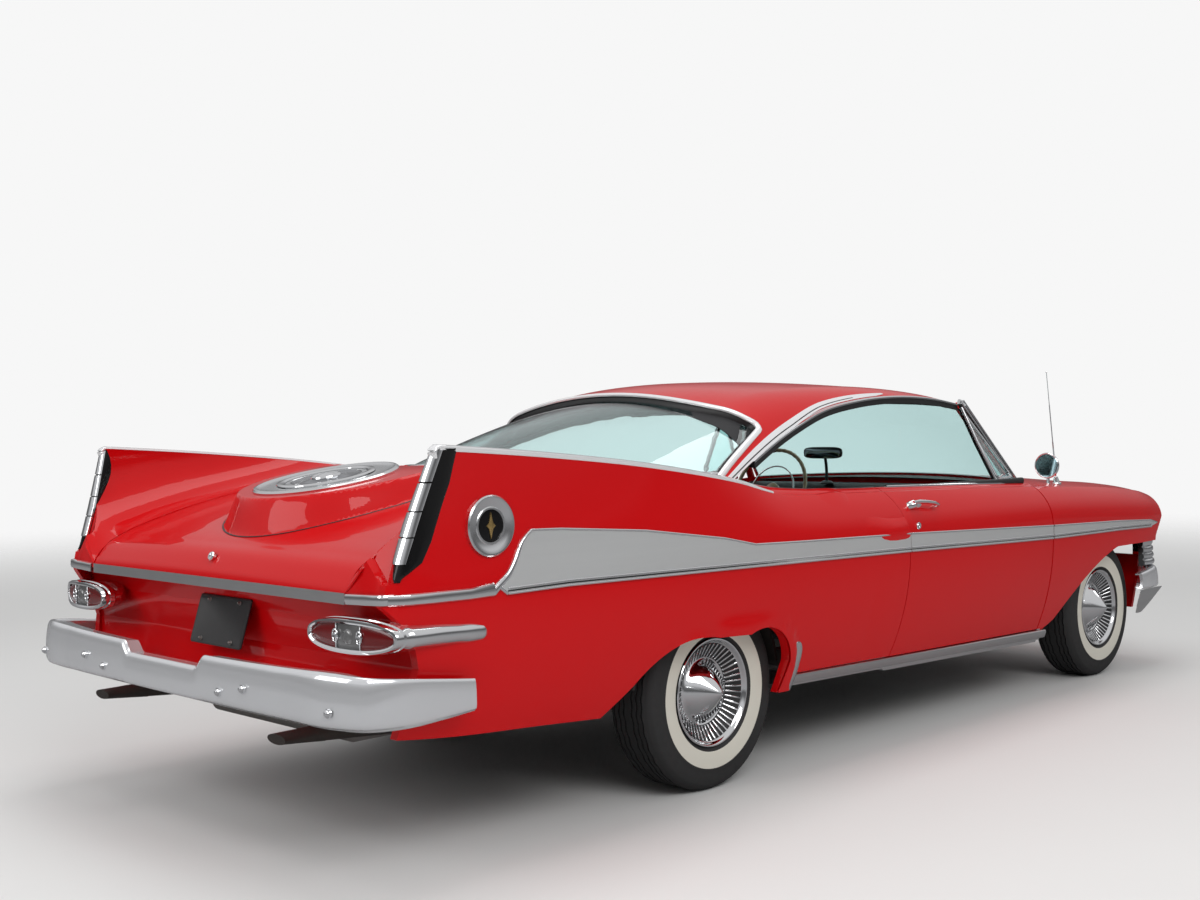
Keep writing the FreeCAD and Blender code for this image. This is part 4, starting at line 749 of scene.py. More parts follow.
def quarter_poly():
    arch = flat_path([(-1646, 354), (-1533, 442), (-1350, 549, -1147, 555), (-975, 546),
                      (-800, 535, -712, 420),
                      (-729, 306)])
    tail = TAIL
    lower = end_edge(QUARTER, tail, np.array([0.0]))[0]
    hem = np.stack([np.linspace(lower, -1649, 60), np.zeros(60)], 1)
    guard = np.stack([np.linspace(-728, -661, 5), np.zeros(5)], 1)
    sill = outline_on(QUARTER, flat_path([(-660, sill_line(-660)), (-24, sill_line(-24))]))
    bottom = np.vstack([hem, outline_on(QUARTER, arch), guard, sill])
    front = edge_on(QUARTER, door_edge(False, SHUT), sill[-1, 1])
    return panel_poly(bottom, front, edge_on(QUARTER, tail, 0.0, count=140, foot=True)[1:])


for side, mirror in (("left", False), ("right", True)):
    for label, table, poly, body, wall in (("door", DOOR, door_poly(), "door_" + side, 3.0),
                                           ("fender", FENDER, fender_poly(), "car_body", 3.0),
                                           ("quarter", QUARTER, quarter_poly(), "car_body", 3.0)):
        trimmed(label + "_skin_" + side, side_surface(table), poly, np.array([1.0, 150.0]), body, PAINT, wall,
                mirror=mirror, rows=CREASES, flip=True, proud=1.0,
                step=12.0 if label == "quarter" else 16.0)


def crown_point(table, x, t):
    """A crowned panel at x, for t from -1 at the right edge to 1 at the left."""
    x, t = np.broadcast_arrays(np.atleast_1d(x).astype(float), np.atleast_1d(t).astype(float))
    r = smooth_rows(table, x)
    left, right = np.stack([r[:, 1], r[:, 2]], 1), np.stack([-r[:, 1], r[:, 2]], 1)
    top = np.stack([np.zeros(len(x)), r[:, 0]], 1)
    yz = arc_points(right, top, left, (t + 1) / 2)
    return np.stack([x, yz[:, 0], yz[:, 1]], 1)


def roof_point(x, t):
    """The roof at x, for t from -2 at the right drip rail by -1 and 1 at the shoulders to 2 at the left one."""
    x, t = np.broadcast_arrays(np.atleast_1d(x).astype(float), np.atleast_1d(t).astype(float))
    r = smooth_rows(ROOF, x)
    crown, sy, sz, ey, ez = (r[:, k] for k in range(5))
    my, mz = (sy + ey) / 2 + 10, (sz + ez) / 2 + 0.12 * (sz - ez) + 4
    top = arc_points(np.stack([-sy, sz], 1), np.stack([0 * sy, crown], 1), np.stack([sy, sz], 1),
                     (np.clip(t, -1, 1) + 1) / 2)
    flank = arc_points(np.stack([sy, sz], 1), np.stack([my, mz], 1), np.stack([ey, ez], 1),
                       np.clip(np.abs(t) - 1, 0, 1))
    flank[:, 0] *= np.sign(t)
    yz = np.where((np.abs(t) <= 1)[:, None], top, flank)
    return np.stack([x, yz[:, 0], yz[:, 1]], 1)


def roof_t(x, y):
    """The share t where the roof's half width is |y|."""
    low, high = np.zeros(len(x)), np.full(len(x), 2.0)
    for _ in range(26):
        mid = (low + high) / 2
        short = roof_point(x, mid)[:, 1] < np.abs(y)
        low, high = np.where(short, mid, low), np.where(short, high, mid)
    return (low + high) / 2 * np.sign(y)


HUMP_HALF, HUMP_REAR, HUMP_SLOPE = 400.0, -2368.0, 46.0
DISC_X, DISC_Z, DISC_TILT = -2040.0, 1105.0, math.radians(10.5)


def lid_point(x, t):
    """The deck lid with the round spare-wheel form raised on it."""
    p = crown_point(DECK, x, t)
    half = HUMP_HALF
    centre = HUMP_REAR + half
    beyond = np.where(p[:, 0] < centre, np.hypot(p[:, 0] - centre, p[:, 1]),
                      np.abs(p[:, 1])) - (half - HUMP_SLOPE)
    rise = np.clip(1 - beyond / HUMP_SLOPE, 0, 1)
    rise = rise * rise * (3 - 2 * rise) * 0.35 + rise * 0.65
    top = DISC_Z - 0.3 + (p[:, 0] - DISC_X) * math.tan(DISC_TILT)
    fade_z = DISC_Z + (-1800 - DISC_X) * math.tan(DISC_TILT)
    fade = fade_z + (p[:, 0] + 1800) / 370 * (1118 - fade_z)
    soft = 14.0
    top = -soft * np.logaddexp(-top / soft, -fade / soft)
    p[:, 2] = np.where(top > p[:, 2], p[:, 2] + (top - p[:, 2]) * rise, p[:, 2])
    return p


def inset_t(table, x, gap):
    r = smooth_rows(table, x)
    return 1 - gap / r[:, 1]


hood_x = np.linspace(1575, 2550, 80)
hood_t = inset_t(HOOD, hood_x, SHUT)
hood_poly = np.vstack([np.stack([hood_x, -hood_t], 1),
                       np.stack([np.full(60, 2550.0), np.linspace(-hood_t[-1], hood_t[-1], 60)], 1),
                       np.stack([hood_x, hood_t], 1)[::-1],
                       np.stack([np.full(60, 1575.0), np.linspace(hood_t[0], -hood_t[0], 60)], 1)])
trimmed("hood_skin", lambda x, t: crown_point(HOOD, x, t), hood_poly, np.array([1.0, 690.0]), "hood", PAINT,
        3.0,
        step=24, hides=("hood",))

seam_t = np.linspace(-1, 1, 90)
seam_y = smooth_rows(DECK, np.array([LID_FRONT]))[0, 1] * seam_t
seam_x = arc_points(*(np.full((90, 2), p, float) for p in ((LID_FRONT + 60, -900.0), (LID_FRONT - 60, 0.0),
                                                          (LID_FRONT + 60, 900.0))),
                    (seam_y / 900 + 1) / 2)[:, 0]


def lid_edge(sign):
    xs = np.linspace(-2490, seam_x[0], 110)
    return np.stack([xs, sign * inset_t(DECK, xs, SHUT)], 1)


lid_poly = np.vstack([lid_edge(-1), np.stack([seam_x, seam_t * inset_t(DECK, seam_x, SHUT)], 1)[1:-1],
                      lid_edge(1)[::-1],
                      np.stack([np.full(90, -2490.0), np.linspace(0.993, -0.993, 90)], 1)[1:-1]])
trimmed("lid_skin", lid_point, lid_poly, np.array([1.0, 760.0]), "deck_lid", PAINT, 3.0, step=9,
        hides=("deck_lid",))

half_head = np.vstack([resampled([(-955, -816), (-774, -769), (-600, -722)], 34),
                       curve_through([(-590, -716), (-587, -706), (-605, -665), (-634, -565), (-656, -437),
                                      (-672, -200), (-676, 0)], 46)])
head = np.vstack([half_head, half_head[::-1][1:] * (1, -1)])
head_t = roof_t(head[:, 0], head[:, 1])
rail_x = np.linspace(-958, 960, 120)
roof_poly = np.vstack([np.stack([rail_x, np.full(120, -2.0)], 1),
                       np.stack([np.full(80, 960.0), np.linspace(-2, 2, 80)], 1)[1:-1],
                       np.stack([rail_x, np.full(120, 2.0)], 1)[::-1],
                       np.stack([head[:, 0], head_t], 1)[::-1]])
tail_y = np.linspace(-751.5, 751.5, 90)
tail_t = tail_y / smooth_rows(DECK, np.full(90, -2488.0))[:, 1]
tail_top = lid_point(np.full(90, -2488.0), tail_t)
rings = np.array([[(-2474, y, z - 2), (-2488, y, z + 0.5), (-2495, y, z - 9), (-2501, y, z - 22),
                   (-2504, y, 800), (-2504, y, 790), (-2494, y, 790),
                   (-2480, y, z - 14)] for y, z in zip(tail_top[:, 1], tail_top[:, 2])])
piece("lid_tail_face", *lofted(rings), "deck_lid", PAINT, angle=60)
hump_turn = np.linspace(-math.pi / 2, math.pi / 2, 60)
hump_x = np.r_[np.linspace(LID_FRONT - 20, HUMP_REAR + HUMP_HALF, 40)[:-1],
               HUMP_REAR + HUMP_HALF - HUMP_HALF * np.cos(hump_turn),
               np.linspace(HUMP_REAR + HUMP_HALF, LID_FRONT - 20, 40)[1:]]
hump_y = np.r_[np.full(39, -HUMP_HALF), HUMP_HALF * np.sin(hump_turn), np.full(39, HUMP_HALF)]
foot = crown_point(DECK, hump_x, hump_y / smooth_rows(DECK, hump_x)[:, 1])
# black strip along the foot of the raised spare-wheel form: painted shadow under its dropped edge, not a real seam
piece("hump_seam", *swept(foot, round_section(5.5, 2.2, 8), (0, 0, 1)), "deck_lid", BLACK, angle=60)

trimmed("roof_skin", roof_point, roof_poly, np.array([1.0, 330.0]), "car_body", PAINT, 3.0, step=16,
        proud=1.0, hides=("roof",))


# ------------------------------------------------------------------ bright parts
SPEAR_TOP = [(-2136, 814), (-2086, 854), (-2034, 940, -2000, 968), (-1880, 964), (-1507, 936), (-1123, 887),
             (-960, 856), (-655, 848), (29, 833), (1238, 795), (1986, 775), (2414, 756), (2520, 737)]
SPEAR_BOTTOM = [(2412, 717), (1985, 726), (1236, 732), (20, 759), (-925, 775), (-1862, 790), (-2106, 787)]
SIDES = (("left", False), ("right", True))


def brick(low, high, cut=3.0):
    """A block with its edges cut off."""
    low, high = np.array(low, float), np.array(high, float)
    mid, half = (low + high) / 2, (high - low) / 2
    cut = min(cut, half.min() * 0.9)
    points = []
    for sx in (-1, 1):
        for sy in (-1, 1):
            for sz in (-1, 1):
                sign = np.array((sx, sy, sz))
                for k in range(3):
                    inner = half - cut
                    inner[k] = half[k]
                    points.append(mid + sign * inner)
    bm = bmesh.new()
    for p in points:
        bm.verts.new(p)
    bmesh.ops.convex_hull(bm, input=bm.verts)
    bm.verts.index_update()
    verts = np.array([v.co for v in bm.verts])
    faces = [tuple(v.index for v in f.verts) for f in bm.faces]
    bm.free()
    return verts, faces


def on_side(table, xz, out=0.0):
    """Points of a line drawn in side view on the left side, with the surface's normals there."""
    xz = np.asarray(xz, float)
    s = s_at(table, xz[:, 0], xz[:, 1])
    p = side_point(table, xz[:, 0], s)
    n = normals_of(lambda x, t: side_point(table, x, t), xz[:, 0], s, 3.0, 0.02)
    n *= np.sign(n[:, 1])[:, None]
    return p + n * out, n


def side_strip(table, xz, section, out=0.0, close=False):
    """A strip along a line in side view; its section is (across, out of the surface)."""
    p, n = on_side(table, xz, out)
    return swept(p, section, n, close)


def dome_section(width, height, n=9):
    """A low crowned strip's section, with its foot under the surface."""
    t = np.linspace(0, math.pi, n)
    top = np.stack([-width / 2 * np.cos(t), height * np.sin(t) ** 0.7], 1)
    return np.vstack([[(-width / 2, -2.5)], top, [(width / 2, -2.5)]])


def cut_line(points, x0, x1):
    """The part of a line of rising or falling x between x0 and x1."""
    line = flat_path(points, 14)
    if line[0, 0] > line[-1, 0]:
        line = line[::-1]
    x0, x1 = max(x0, line[0, 0]), min(x1, line[-1, 0])
    xs = np.r_[x0, line[(line[:, 0] > x0 + 2) & (line[:, 0] < x1 - 2), 0], x1]
    return np.stack([xs, np.interp(xs, line[:, 0], line[:, 1])], 1)


def spear(label, table, body, x0, x1, hides):
    """Satin side panel between bright borders, the lower one with a dark groove."""
    top, low = cut_line(SPEAR_TOP, x0, x1), cut_line(SPEAR_BOTTOM, x0, x1)
    field = np.vstack([low + (0, 6), (top - (0, 4))[::-1]])
    for side, mirror in SIDES:
        hide = [h.replace("*", side) for h in hides]
        trimmed(label + "_panel_" + side, side_surface(table), outline_on(table, field),
                np.array([1.0, 150.0]), body % side
                if "%" in body else body, PANEL_SILVER, 4.0, step=22, flip=True, mirror=mirror, proud=5.0,
                hides=hide)
        edge = side_strip(table, top, dome_section(9, 8))
        lower = side_strip(table, low + (0, 5), dome_section(9, 9))
        upper = side_strip(table, low + (0, 20), dome_section(8, 9))
        groove = side_strip(table, low + (0, 12.5), dome_section(9, 5.2))
        rims = [edge, lower, upper]
        if x0 < -2000:
            rims.append(side_strip(table, np.array([(-2106, 793), (-2136, 814)]), dome_section(12, 8.5)))
        dark = groove
        both = join(rims)
        if mirror:
            both, dark = flipped(both), flipped(dark)
        where = body % side if "%" in body else body
        piece(label + "_borders_" + side, *both, where, CHROME, angle=50)
        piece(label + "_groove_" + side, *dark, where, BLACK, angle=50)


def belt_strips():
    """The grey strip round the tail, bright and flared where it meets the side panel."""
    n = 60
    x = np.linspace(-2156, -2488, n)
    path, normal = on_side(QUARTER, np.stack([x, np.interp(x, (-2488, -2240, -2156), (805, 804, 806))], 1),
                           0.0)
    rows = []
    flare = np.clip((x + 2240) / 84, 0, 1)[:, None]
    for k in range(n):
        high, low = 15 + 7 * flare[k, 0], -16.5
        rows.append([(low, -2), (low, 4), (low + 3, 8), (0, 11), (high - 3, 8), (high, 4), (high, -2)])
    sec = np.array(rows)
    along = np.gradient(path, axis=0)
    along /= np.linalg.norm(along, axis=1)[:, None]
    up = np.cross(normal, along)
    up *= np.sign(up[:, 2])[:, None]
    rings = path[:, None] + up[:, None] * sec[:, :, :1] + normal[:, None] * sec[:, :, 1:]
    side = lofted(rings)
    # the corner and the painted panel's share of the tail
    start = path[-1] + normal[-1] * 0
    corner = curve_through([start + (4, 0, 0), (-2500, 922, 805), (-2505, 898, 804), (-2505, 830, 801),
                            (-2504.5, 763, 798)], 40)
    tail = swept(corner, [(-2, -16), (6, -14), (9, -6), (9, 8), (6, 14), (-2, 16)], (0, 0, 1))
    for label, mirror in SIDES:
        a, b = (flipped(side), flipped(tail)) if mirror else (side, tail)
        piece("belt_strip_" + label, *a, "car_body", CHROME, angle=35)
        piece("belt_corner_" + label, *b, "car_body", CHROME, angle=35)
        line = [(-2160, 800), (-2140, 815), (-2094, 850), (-2064, 892), (-2038, 938), (-2002, 968)]
        line = curve_through(line, 40)
        w = np.linspace(26, 9, 40)
        sections = np.array([dome_section(v, 9.5) for v in w])
        p, nrm = on_side(QUARTER, line)
        rise = swept(p, sections, nrm)
        piece("belt_rise_" + label, *(flipped(rise) if mirror else rise), "car_body", CHROME, angle=35)
    across = np.stack([np.full(80, -2504.0), np.linspace(-752, 752, 80), np.zeros(80)], 1)
    across[:, 2] = 797.5 - 0 * np.abs(across[:, 1])
    lid = swept(across, [(-2, -16), (6, -14), (9, -6), (9, 8), (6, 14), (-2, 16)], (0, 0, 1))
    piece("belt_lid_strip", *lid, "deck_lid", SATIN, angle=35)


def fin_trims():
    """Down each fin's back a black edge with a bright jointed inner strip; along its crest a bright strip."""
    parts_black, parts_bright, crest = [], [], []
    front = np.array([(-2290, 1214), (-2291, 1200), (-2307, 1117), (-2333, 1046), (-2364, 958), (-2395, 900),
                      (-2457, 859), (-2463, 851)])

    def ring_at(z, bright):
        """One level section of the trim at height z."""
        end = -2335 - (1252 - z) * 0.3184
        lead = min(np.interp(-z, -front[:, 1], front[:, 0]), -2290.0)
        lead = max(lead, end + 2)
        xs = np.array([lead, lead - 6, (lead + end) / 2, end])
        y = on_side(QUARTER, np.stack([xs, np.full(4, min(z, 1208))], 1))[0][:, 1]
        w = np.interp(z, (850, 862, 905, 1000, 1200), (4, 18, 38, 40, 27))
        o = y[3]
        if bright:
            turn = np.interp(z, (900, 960, 1205), (2, 4, 5))
            return [(end + turn, o + 6, z), (end + turn - 2, o + 9.5, z), (end - 2, o + 9, z),
                    (end - 12, o + 1, z),
                    (end - 16, o - w * 0.45, z), (end - 16, o - w * 0.75, z), (end - 11, o - w - 1.5, z),
                    (end - 4, o - w - 2, z),
                    (end - 2, o - w * 0.5, z), (end, o + 2, z)]
        return [(xs[0], y[0] + 1.5, z), (xs[1], y[1] + 5, z), (xs[2], y[2] + 6.5, z), (xs[3], o + 4, z),
                (end - 9, o - 1, z),
                (end - 13, o - w * 0.4, z), (end - 12, o - w * 0.8, z), (end - 5, o - w, z),
                (end + 3, o - w, z), (xs[0], y[0] - 4, z)]
    parts_black.append(lofted(np.array([ring_at(z, False) for z in np.linspace(1211, 851, 80)])))
    for high, low in ((1207, 1122), (1117, 1043), (1039, 973), (969, 900)):
        parts_bright.append(lofted(np.array([ring_at(z, True) for z in np.linspace(high, low, 20)])))
    xs = np.linspace(-2352, -785, 120)
    r = smooth_rows(QUARTER, xs)
    crest_y, crest_z, lip_y = r[:, 8], r[:, 9], r[:, 10]
    grow = np.interp(xs, (-2352, -2300, -900, -785), (1.0, 1.0, 0.9, 0.5))
    ring = []
    for x, cy, cz, ly, g in zip(xs, crest_y, crest_z, lip_y, grow):
        mid = (cy + ly) / 2
        ring.append([(x, cy + 1.5, cz - 9 * g), (x, cy + 4.5, cz - 5 * g), (x, cy + 3, cz + 4),
                     (x, mid, cz + 9.5 * g),
                     (x, ly - 1, cz + 8 * g), (x, ly - 3, cz + 1), (x, ly + 4, cz + 1), (x, cy - 3, cz - 2)])
    crest.append(lofted(np.array(ring)))
    cap = curve_through([(-2330, 973, 1216), (-2352, 973, 1216), (-2366, 973, 1206), (-2362, 972, 1186)], 16)
    crest.append(swept(cap, round_section(17, 6, 14, 3), (0, 0.05, 1)))
    for label, mirror in SIDES:
        f = flipped if mirror else (lambda part: part)
        hides = ("fin_trims",) if mirror else ()
        piece("fin_edge_" + label, *f(join(parts_black)), "car_body", BLACK_GLOSS, angle=50, hides=hides)
        piece("fin_edge_bright_" + label, *f(join(parts_bright)), "car_body", CHROME, angle=40)
        piece("fin_crest_" + label, *f(join(crest)), "car_body", BAND_BRIGHT, angle=50)


def medallions():
    """A broad bright ring round a black centre with a plain gold lozenge."""
    ring = lathe([(-4, 88), (8, 88), (12, 84), (12, 79), (7, 68), (4, 55), (6, 52), (6, 47), (1, 46),
                  (-4, 46)], (0, 0, 0), (0, 1, 0), 72)
    centre = lathe([(0, 47), (3, 46), (4.5, 22), (5, 0)], (0, 0, 0), (0, 1, 0), 48)
    back = lathe([(0, 47), (-4, 47), (-4, 0)], (0, 0, 0), (0, 1, 0), 48)
    gold = []
    for k in range(4):
        a = k * math.pi / 2
        tip, flank = (19, 12) if k % 2 else (41, 12)
        gold.append([(math.sin(a) * tip, math.cos(a) * tip),
                     (math.sin(a + math.pi / 4) * flank, math.cos(a + math.pi / 4) * flank)])
    star = np.array([p for g in gold for p in g])
    low = np.stack([star[:, 0], np.full(8, 2.0), star[:, 1]], 1)
    high = np.stack([star[:, 0] * 0.9, np.full(8, 7.0), star[:, 1] * 0.9], 1)
    mark_v = np.vstack([low, high, [(0, 10, 0)]])
    mark_f = [(k, (k + 1) % 8, 8 + (k + 1) % 8,
               8 + k) for k in range(8)] + [(8 + k, 8 + (k + 1) % 8, 16) for k in range(8)]
    mark_f.append(tuple(reversed(range(8))))
    place = np.array(side_point(QUARTER, [-2160.0], s_at(QUARTER, [-2160.0], [989.0]))[0]) + (0, 1.2, 0)
    for label, mirror in SIDES:
        for name, part, m in (("medallion_ring_", ring, CHROME_SATIN),
                              ("medallion_centre_", join([centre, back]), BLACK_GLOSS),
                              ("medallion_mark_", (mark_v, mark_f), GOLD)):
            v, f = np.array(part[0], float) + place, part[1]
            piece(name + label, *(flipped((v, f)) if mirror else (v, f)), "car_body", m, angle=28)


def hump_disc():
    """Dished bright disc on the lid's raised form, with a plain round boss at its middle."""
    lean = DISC_TILT
    axis = np.array((-math.sin(lean), 0, math.cos(lean)))
    centre = np.array((DISC_X, 0, DISC_Z))
    rim = lathe([(-6, 236), (-6, 246), (4, 247), (9, 242), (10, 234), (6, 224), (5, 205), (5.5, 160),
                 (6.5, 120), (-6, 118)],
                centre, axis, 96)
    dish = lathe([(-6, 120), (6, 118), (4, 104), (3, 84), (6, 62), (11, 48), (15, 30), (16, 0), (-6, 0)],
                 centre, axis, 96)
    boss = lathe([(10, 52), (15, 50), (17, 44), (14, 38), (15, 30), (20, 14), (22, 0), (10, 0)], centre, axis,
                 48)
    ring = lathe([(8, 168), (11, 166), (12.5, 158), (12.5, 150), (11, 142), (8, 140)], centre, axis, 96)
    piece("hump_disc_rim", *rim, "deck_lid", CHROME_SATIN, angle=25, hides=("deck_disc",))
    piece("hump_disc_dish", *dish, "deck_lid", DARK_CHROME, angle=25)
    piece("hump_disc_boss", *join([boss, ring]), "deck_lid", CHROME, angle=28)


# ------------------------------------------------------------------ bumpers
def blade_section(n=7):
    """A bumper's section: (share of its depth inwards, share of its height), with a flat face and a rolled foot."""
    out = []
    for a, m, b in (((1.0, 0.03), (0.5, -0.02), (0.2, 0.06)), ((0.2, 0.06), (0.03, 0.13), (0.0, 0.27)),
                    ((0.0, 0.27), (0.02, 0.6), (0.10, 0.90)), ((0.10, 0.90), (0.18, 0.99), (0.42, 1.0))):
        one = np.ones((n, 1))
        out.append(arc_points(np.array(a) * one, np.array(m) * one, np.array(b) * one,
                              np.linspace(0, 1, n))[:-1])
    out.append(np.array([(0.42, 1.0), (1.0, 0.97), (1.0, 0.9), (0.48, 0.9), (0.36, 0.6), (0.34, 0.3),
                         (0.5, 0.12), (1.0, 0.12)]))
    return np.vstack(out)


def blade(half, count, dip=None):
    """A bumper blade through stations (x, y, heading, low, high, depth) of its left half."""
    half = np.array(half, float)
    whole = np.vstack([(half * (1, -1, -1, 1, 1, 1))[:0:-1], half])
    whole[:, 2] = np.where(whole[:, 0] > 0, whole[:, 2],
                           np.where(whole[:, 2] < 0, whole[:, 2] + 360, whole[:, 2]))
    step = np.r_[0, np.cumsum(np.hypot(np.diff(whole[:, 0]), np.diff(whole[:, 1])))]
    at = np.linspace(0, step[-1], count)
    rows = smooth_rows([(d,) + tuple(r) for d, r in zip(step, whole)], at)
    if dip is not None:
        rows[:, 4] -= dip(rows[:, 1])
    sec = blade_section()
    rings = []
    for x, y, heading, low, high, depth in rows:
        out = np.array((math.cos(math.radians(heading)), math.sin(math.radians(heading)), 0))
        rings.append([np.array((x, y, low + share * (high - low))) - out * inward * depth for inward,
                      share in sec])
    return lofted(np.array(rings)), rows


def irons(end_x, face_x, y, z):
    """Angle irons from the frame rails to the back of a blade."""
    low_x, high_x = sorted((end_x, face_x))
    inward = 1 if end_x > face_x else -1
    upright = sorted((face_x, face_x + inward * 14))
    return pair(join([brick((low_x, y - 22, z), (high_x, y + 22, z + 28)),
                      brick((upright[0], y - 22, z), (upright[1], y + 22, z + 96))]))


def bolt_heads(places, radius, out):
    """Domed bolt heads, each on a dished washer."""
    parts = []
    for p in places:
        parts.append(lathe([(-6, radius * 1.25), (1.5, radius * 1.25), (2, radius), (6, radius * 0.9),
                            (10, radius * 0.5), (11, 0), (-6, 0)],
                           p, out, 20))
    return join(parts)


def bumpers():
    half_length = -box("rear_bumper")[0][0] / MM * -1
    x0 = -abs(half_length)
    rear = [(x0, 0, 180, 468, 606, 66), (x0 + 2, 330, 179, 468, 606, 66), (x0 + 12, 640, 176, 466, 610, 70),
            (x0 + 34, 850, 162, 462, 612, 78), (x0 + 88, 950, 132, 462, 604, 60),
            (x0 + 190, 988, 104, 464, 594, 30),
            (x0 + 310, 997, 95, 470, 580, 26), (x0 + 430, 997, 91, 478, 566, 26)]

    def dip(y):
        a = np.clip((250 - np.abs(y)) / 46, 0, 1)
        return 36 * a * a * (3 - 2 * a)
    bar, rows = blade(rear, 380, dip)
    piece("rear_bumper_blade", *bar, "car_body", BUMPER_BRIGHT, angle=55, hides=("rear_bumper",))
    piece("rear_bumper_irons", *irons(-2362.3, x0 + 34, 470, 466), "car_body", FRAME_BLACK, angle=30)
    heads = [(x0 - 1, y, z) for y, z in ((355, 515), (-355, 515), (485, 539), (-485, 539))]
    heads += [(x0 + 31, 856, 513), (x0 + 31, -856, 513)]
    piece("rear_bumper_bolts", *bolt_heads(heads, 10, (-1, 0, 0)), "car_body", CHROME, angle=30)
    f = abs(box("front_bumper")[1][0] / MM)
    front = [(f, 0, 0, 392, 520, 70), (f - 4, 330, 1, 392, 520, 70), (f - 22, 640, 6, 392, 520, 72),
             (f - 70, 850, 24, 394, 516, 78), (f - 160, 935, 58, 398, 510, 74),
             (f - 300, 962, 84, 404, 500, 56),
             (f - 420, 966, 88, 412, 490, 40)]
    bar, _ = blade(front, 300)
    wings = []
    for sign in (-1, 1):
        rings = []
        for t in np.linspace(0, 1, 14):
            z = 404 - 118 * t
            length = 150 * (1 - t) ** 0.8 + 34
            cx, cy = f - 330 - 60 * t, 955 - 26 * t
            rings.append([(cx + dx * length, sign * (cy - dy * 10 - 2), z) for dx,
                          dy in ((1, 0.2), (0.9, 0), (-0.2, 0), (-0.4, 0.4), (-0.4, 0.8), (0.9, 1))])
        wings.append(lofted(np.array(rings)))
    piece("front_bumper_blade", *bar, "car_body", BUMPER_BRIGHT, angle=55, hides=("front_bumper",))
    piece("front_bumper_wings", *join(wings), "car_body", SATIN, angle=40)
    piece("front_bumper_irons", *irons(2440.3, f - 26, 370, 398), "car_body", FRAME_BLACK, angle=30)
    heads = [(f - 0.5, y, 456) for y in (-420, 420)] + [(f - 1, y, 456) for y in (-200, 200)]
    piece("front_bumper_bolts", *bolt_heads(heads, 10, (1, 0, 0)), "car_body", CHROME, angle=30)


# ------------------------------------------------------------------ tail lamps
LAMP = (-2536.0, 798.0, 701.0)


def lamp_ring(grow, back, lift=0.0, n=64, power=2.5):
    """A rounded oval round a tail lamp; its outer end turns forwards round the corner of the car."""
    t = np.arange(n) * 2 * math.pi / n
    c, s = np.cos(t), np.sin(t)
    y = (180 + grow) * np.sign(c) * np.abs(c) ** (2 / power)
    z = (48 + grow) * np.sign(s) * np.abs(s) ** (2 / power)
    wrap = np.clip((y + 40) / 220, 0, None)
    x = LAMP[0] + back + 44 * wrap ** 2.2
    return np.stack([x, LAMP[1] + y, LAMP[2] + z + lift], 1)


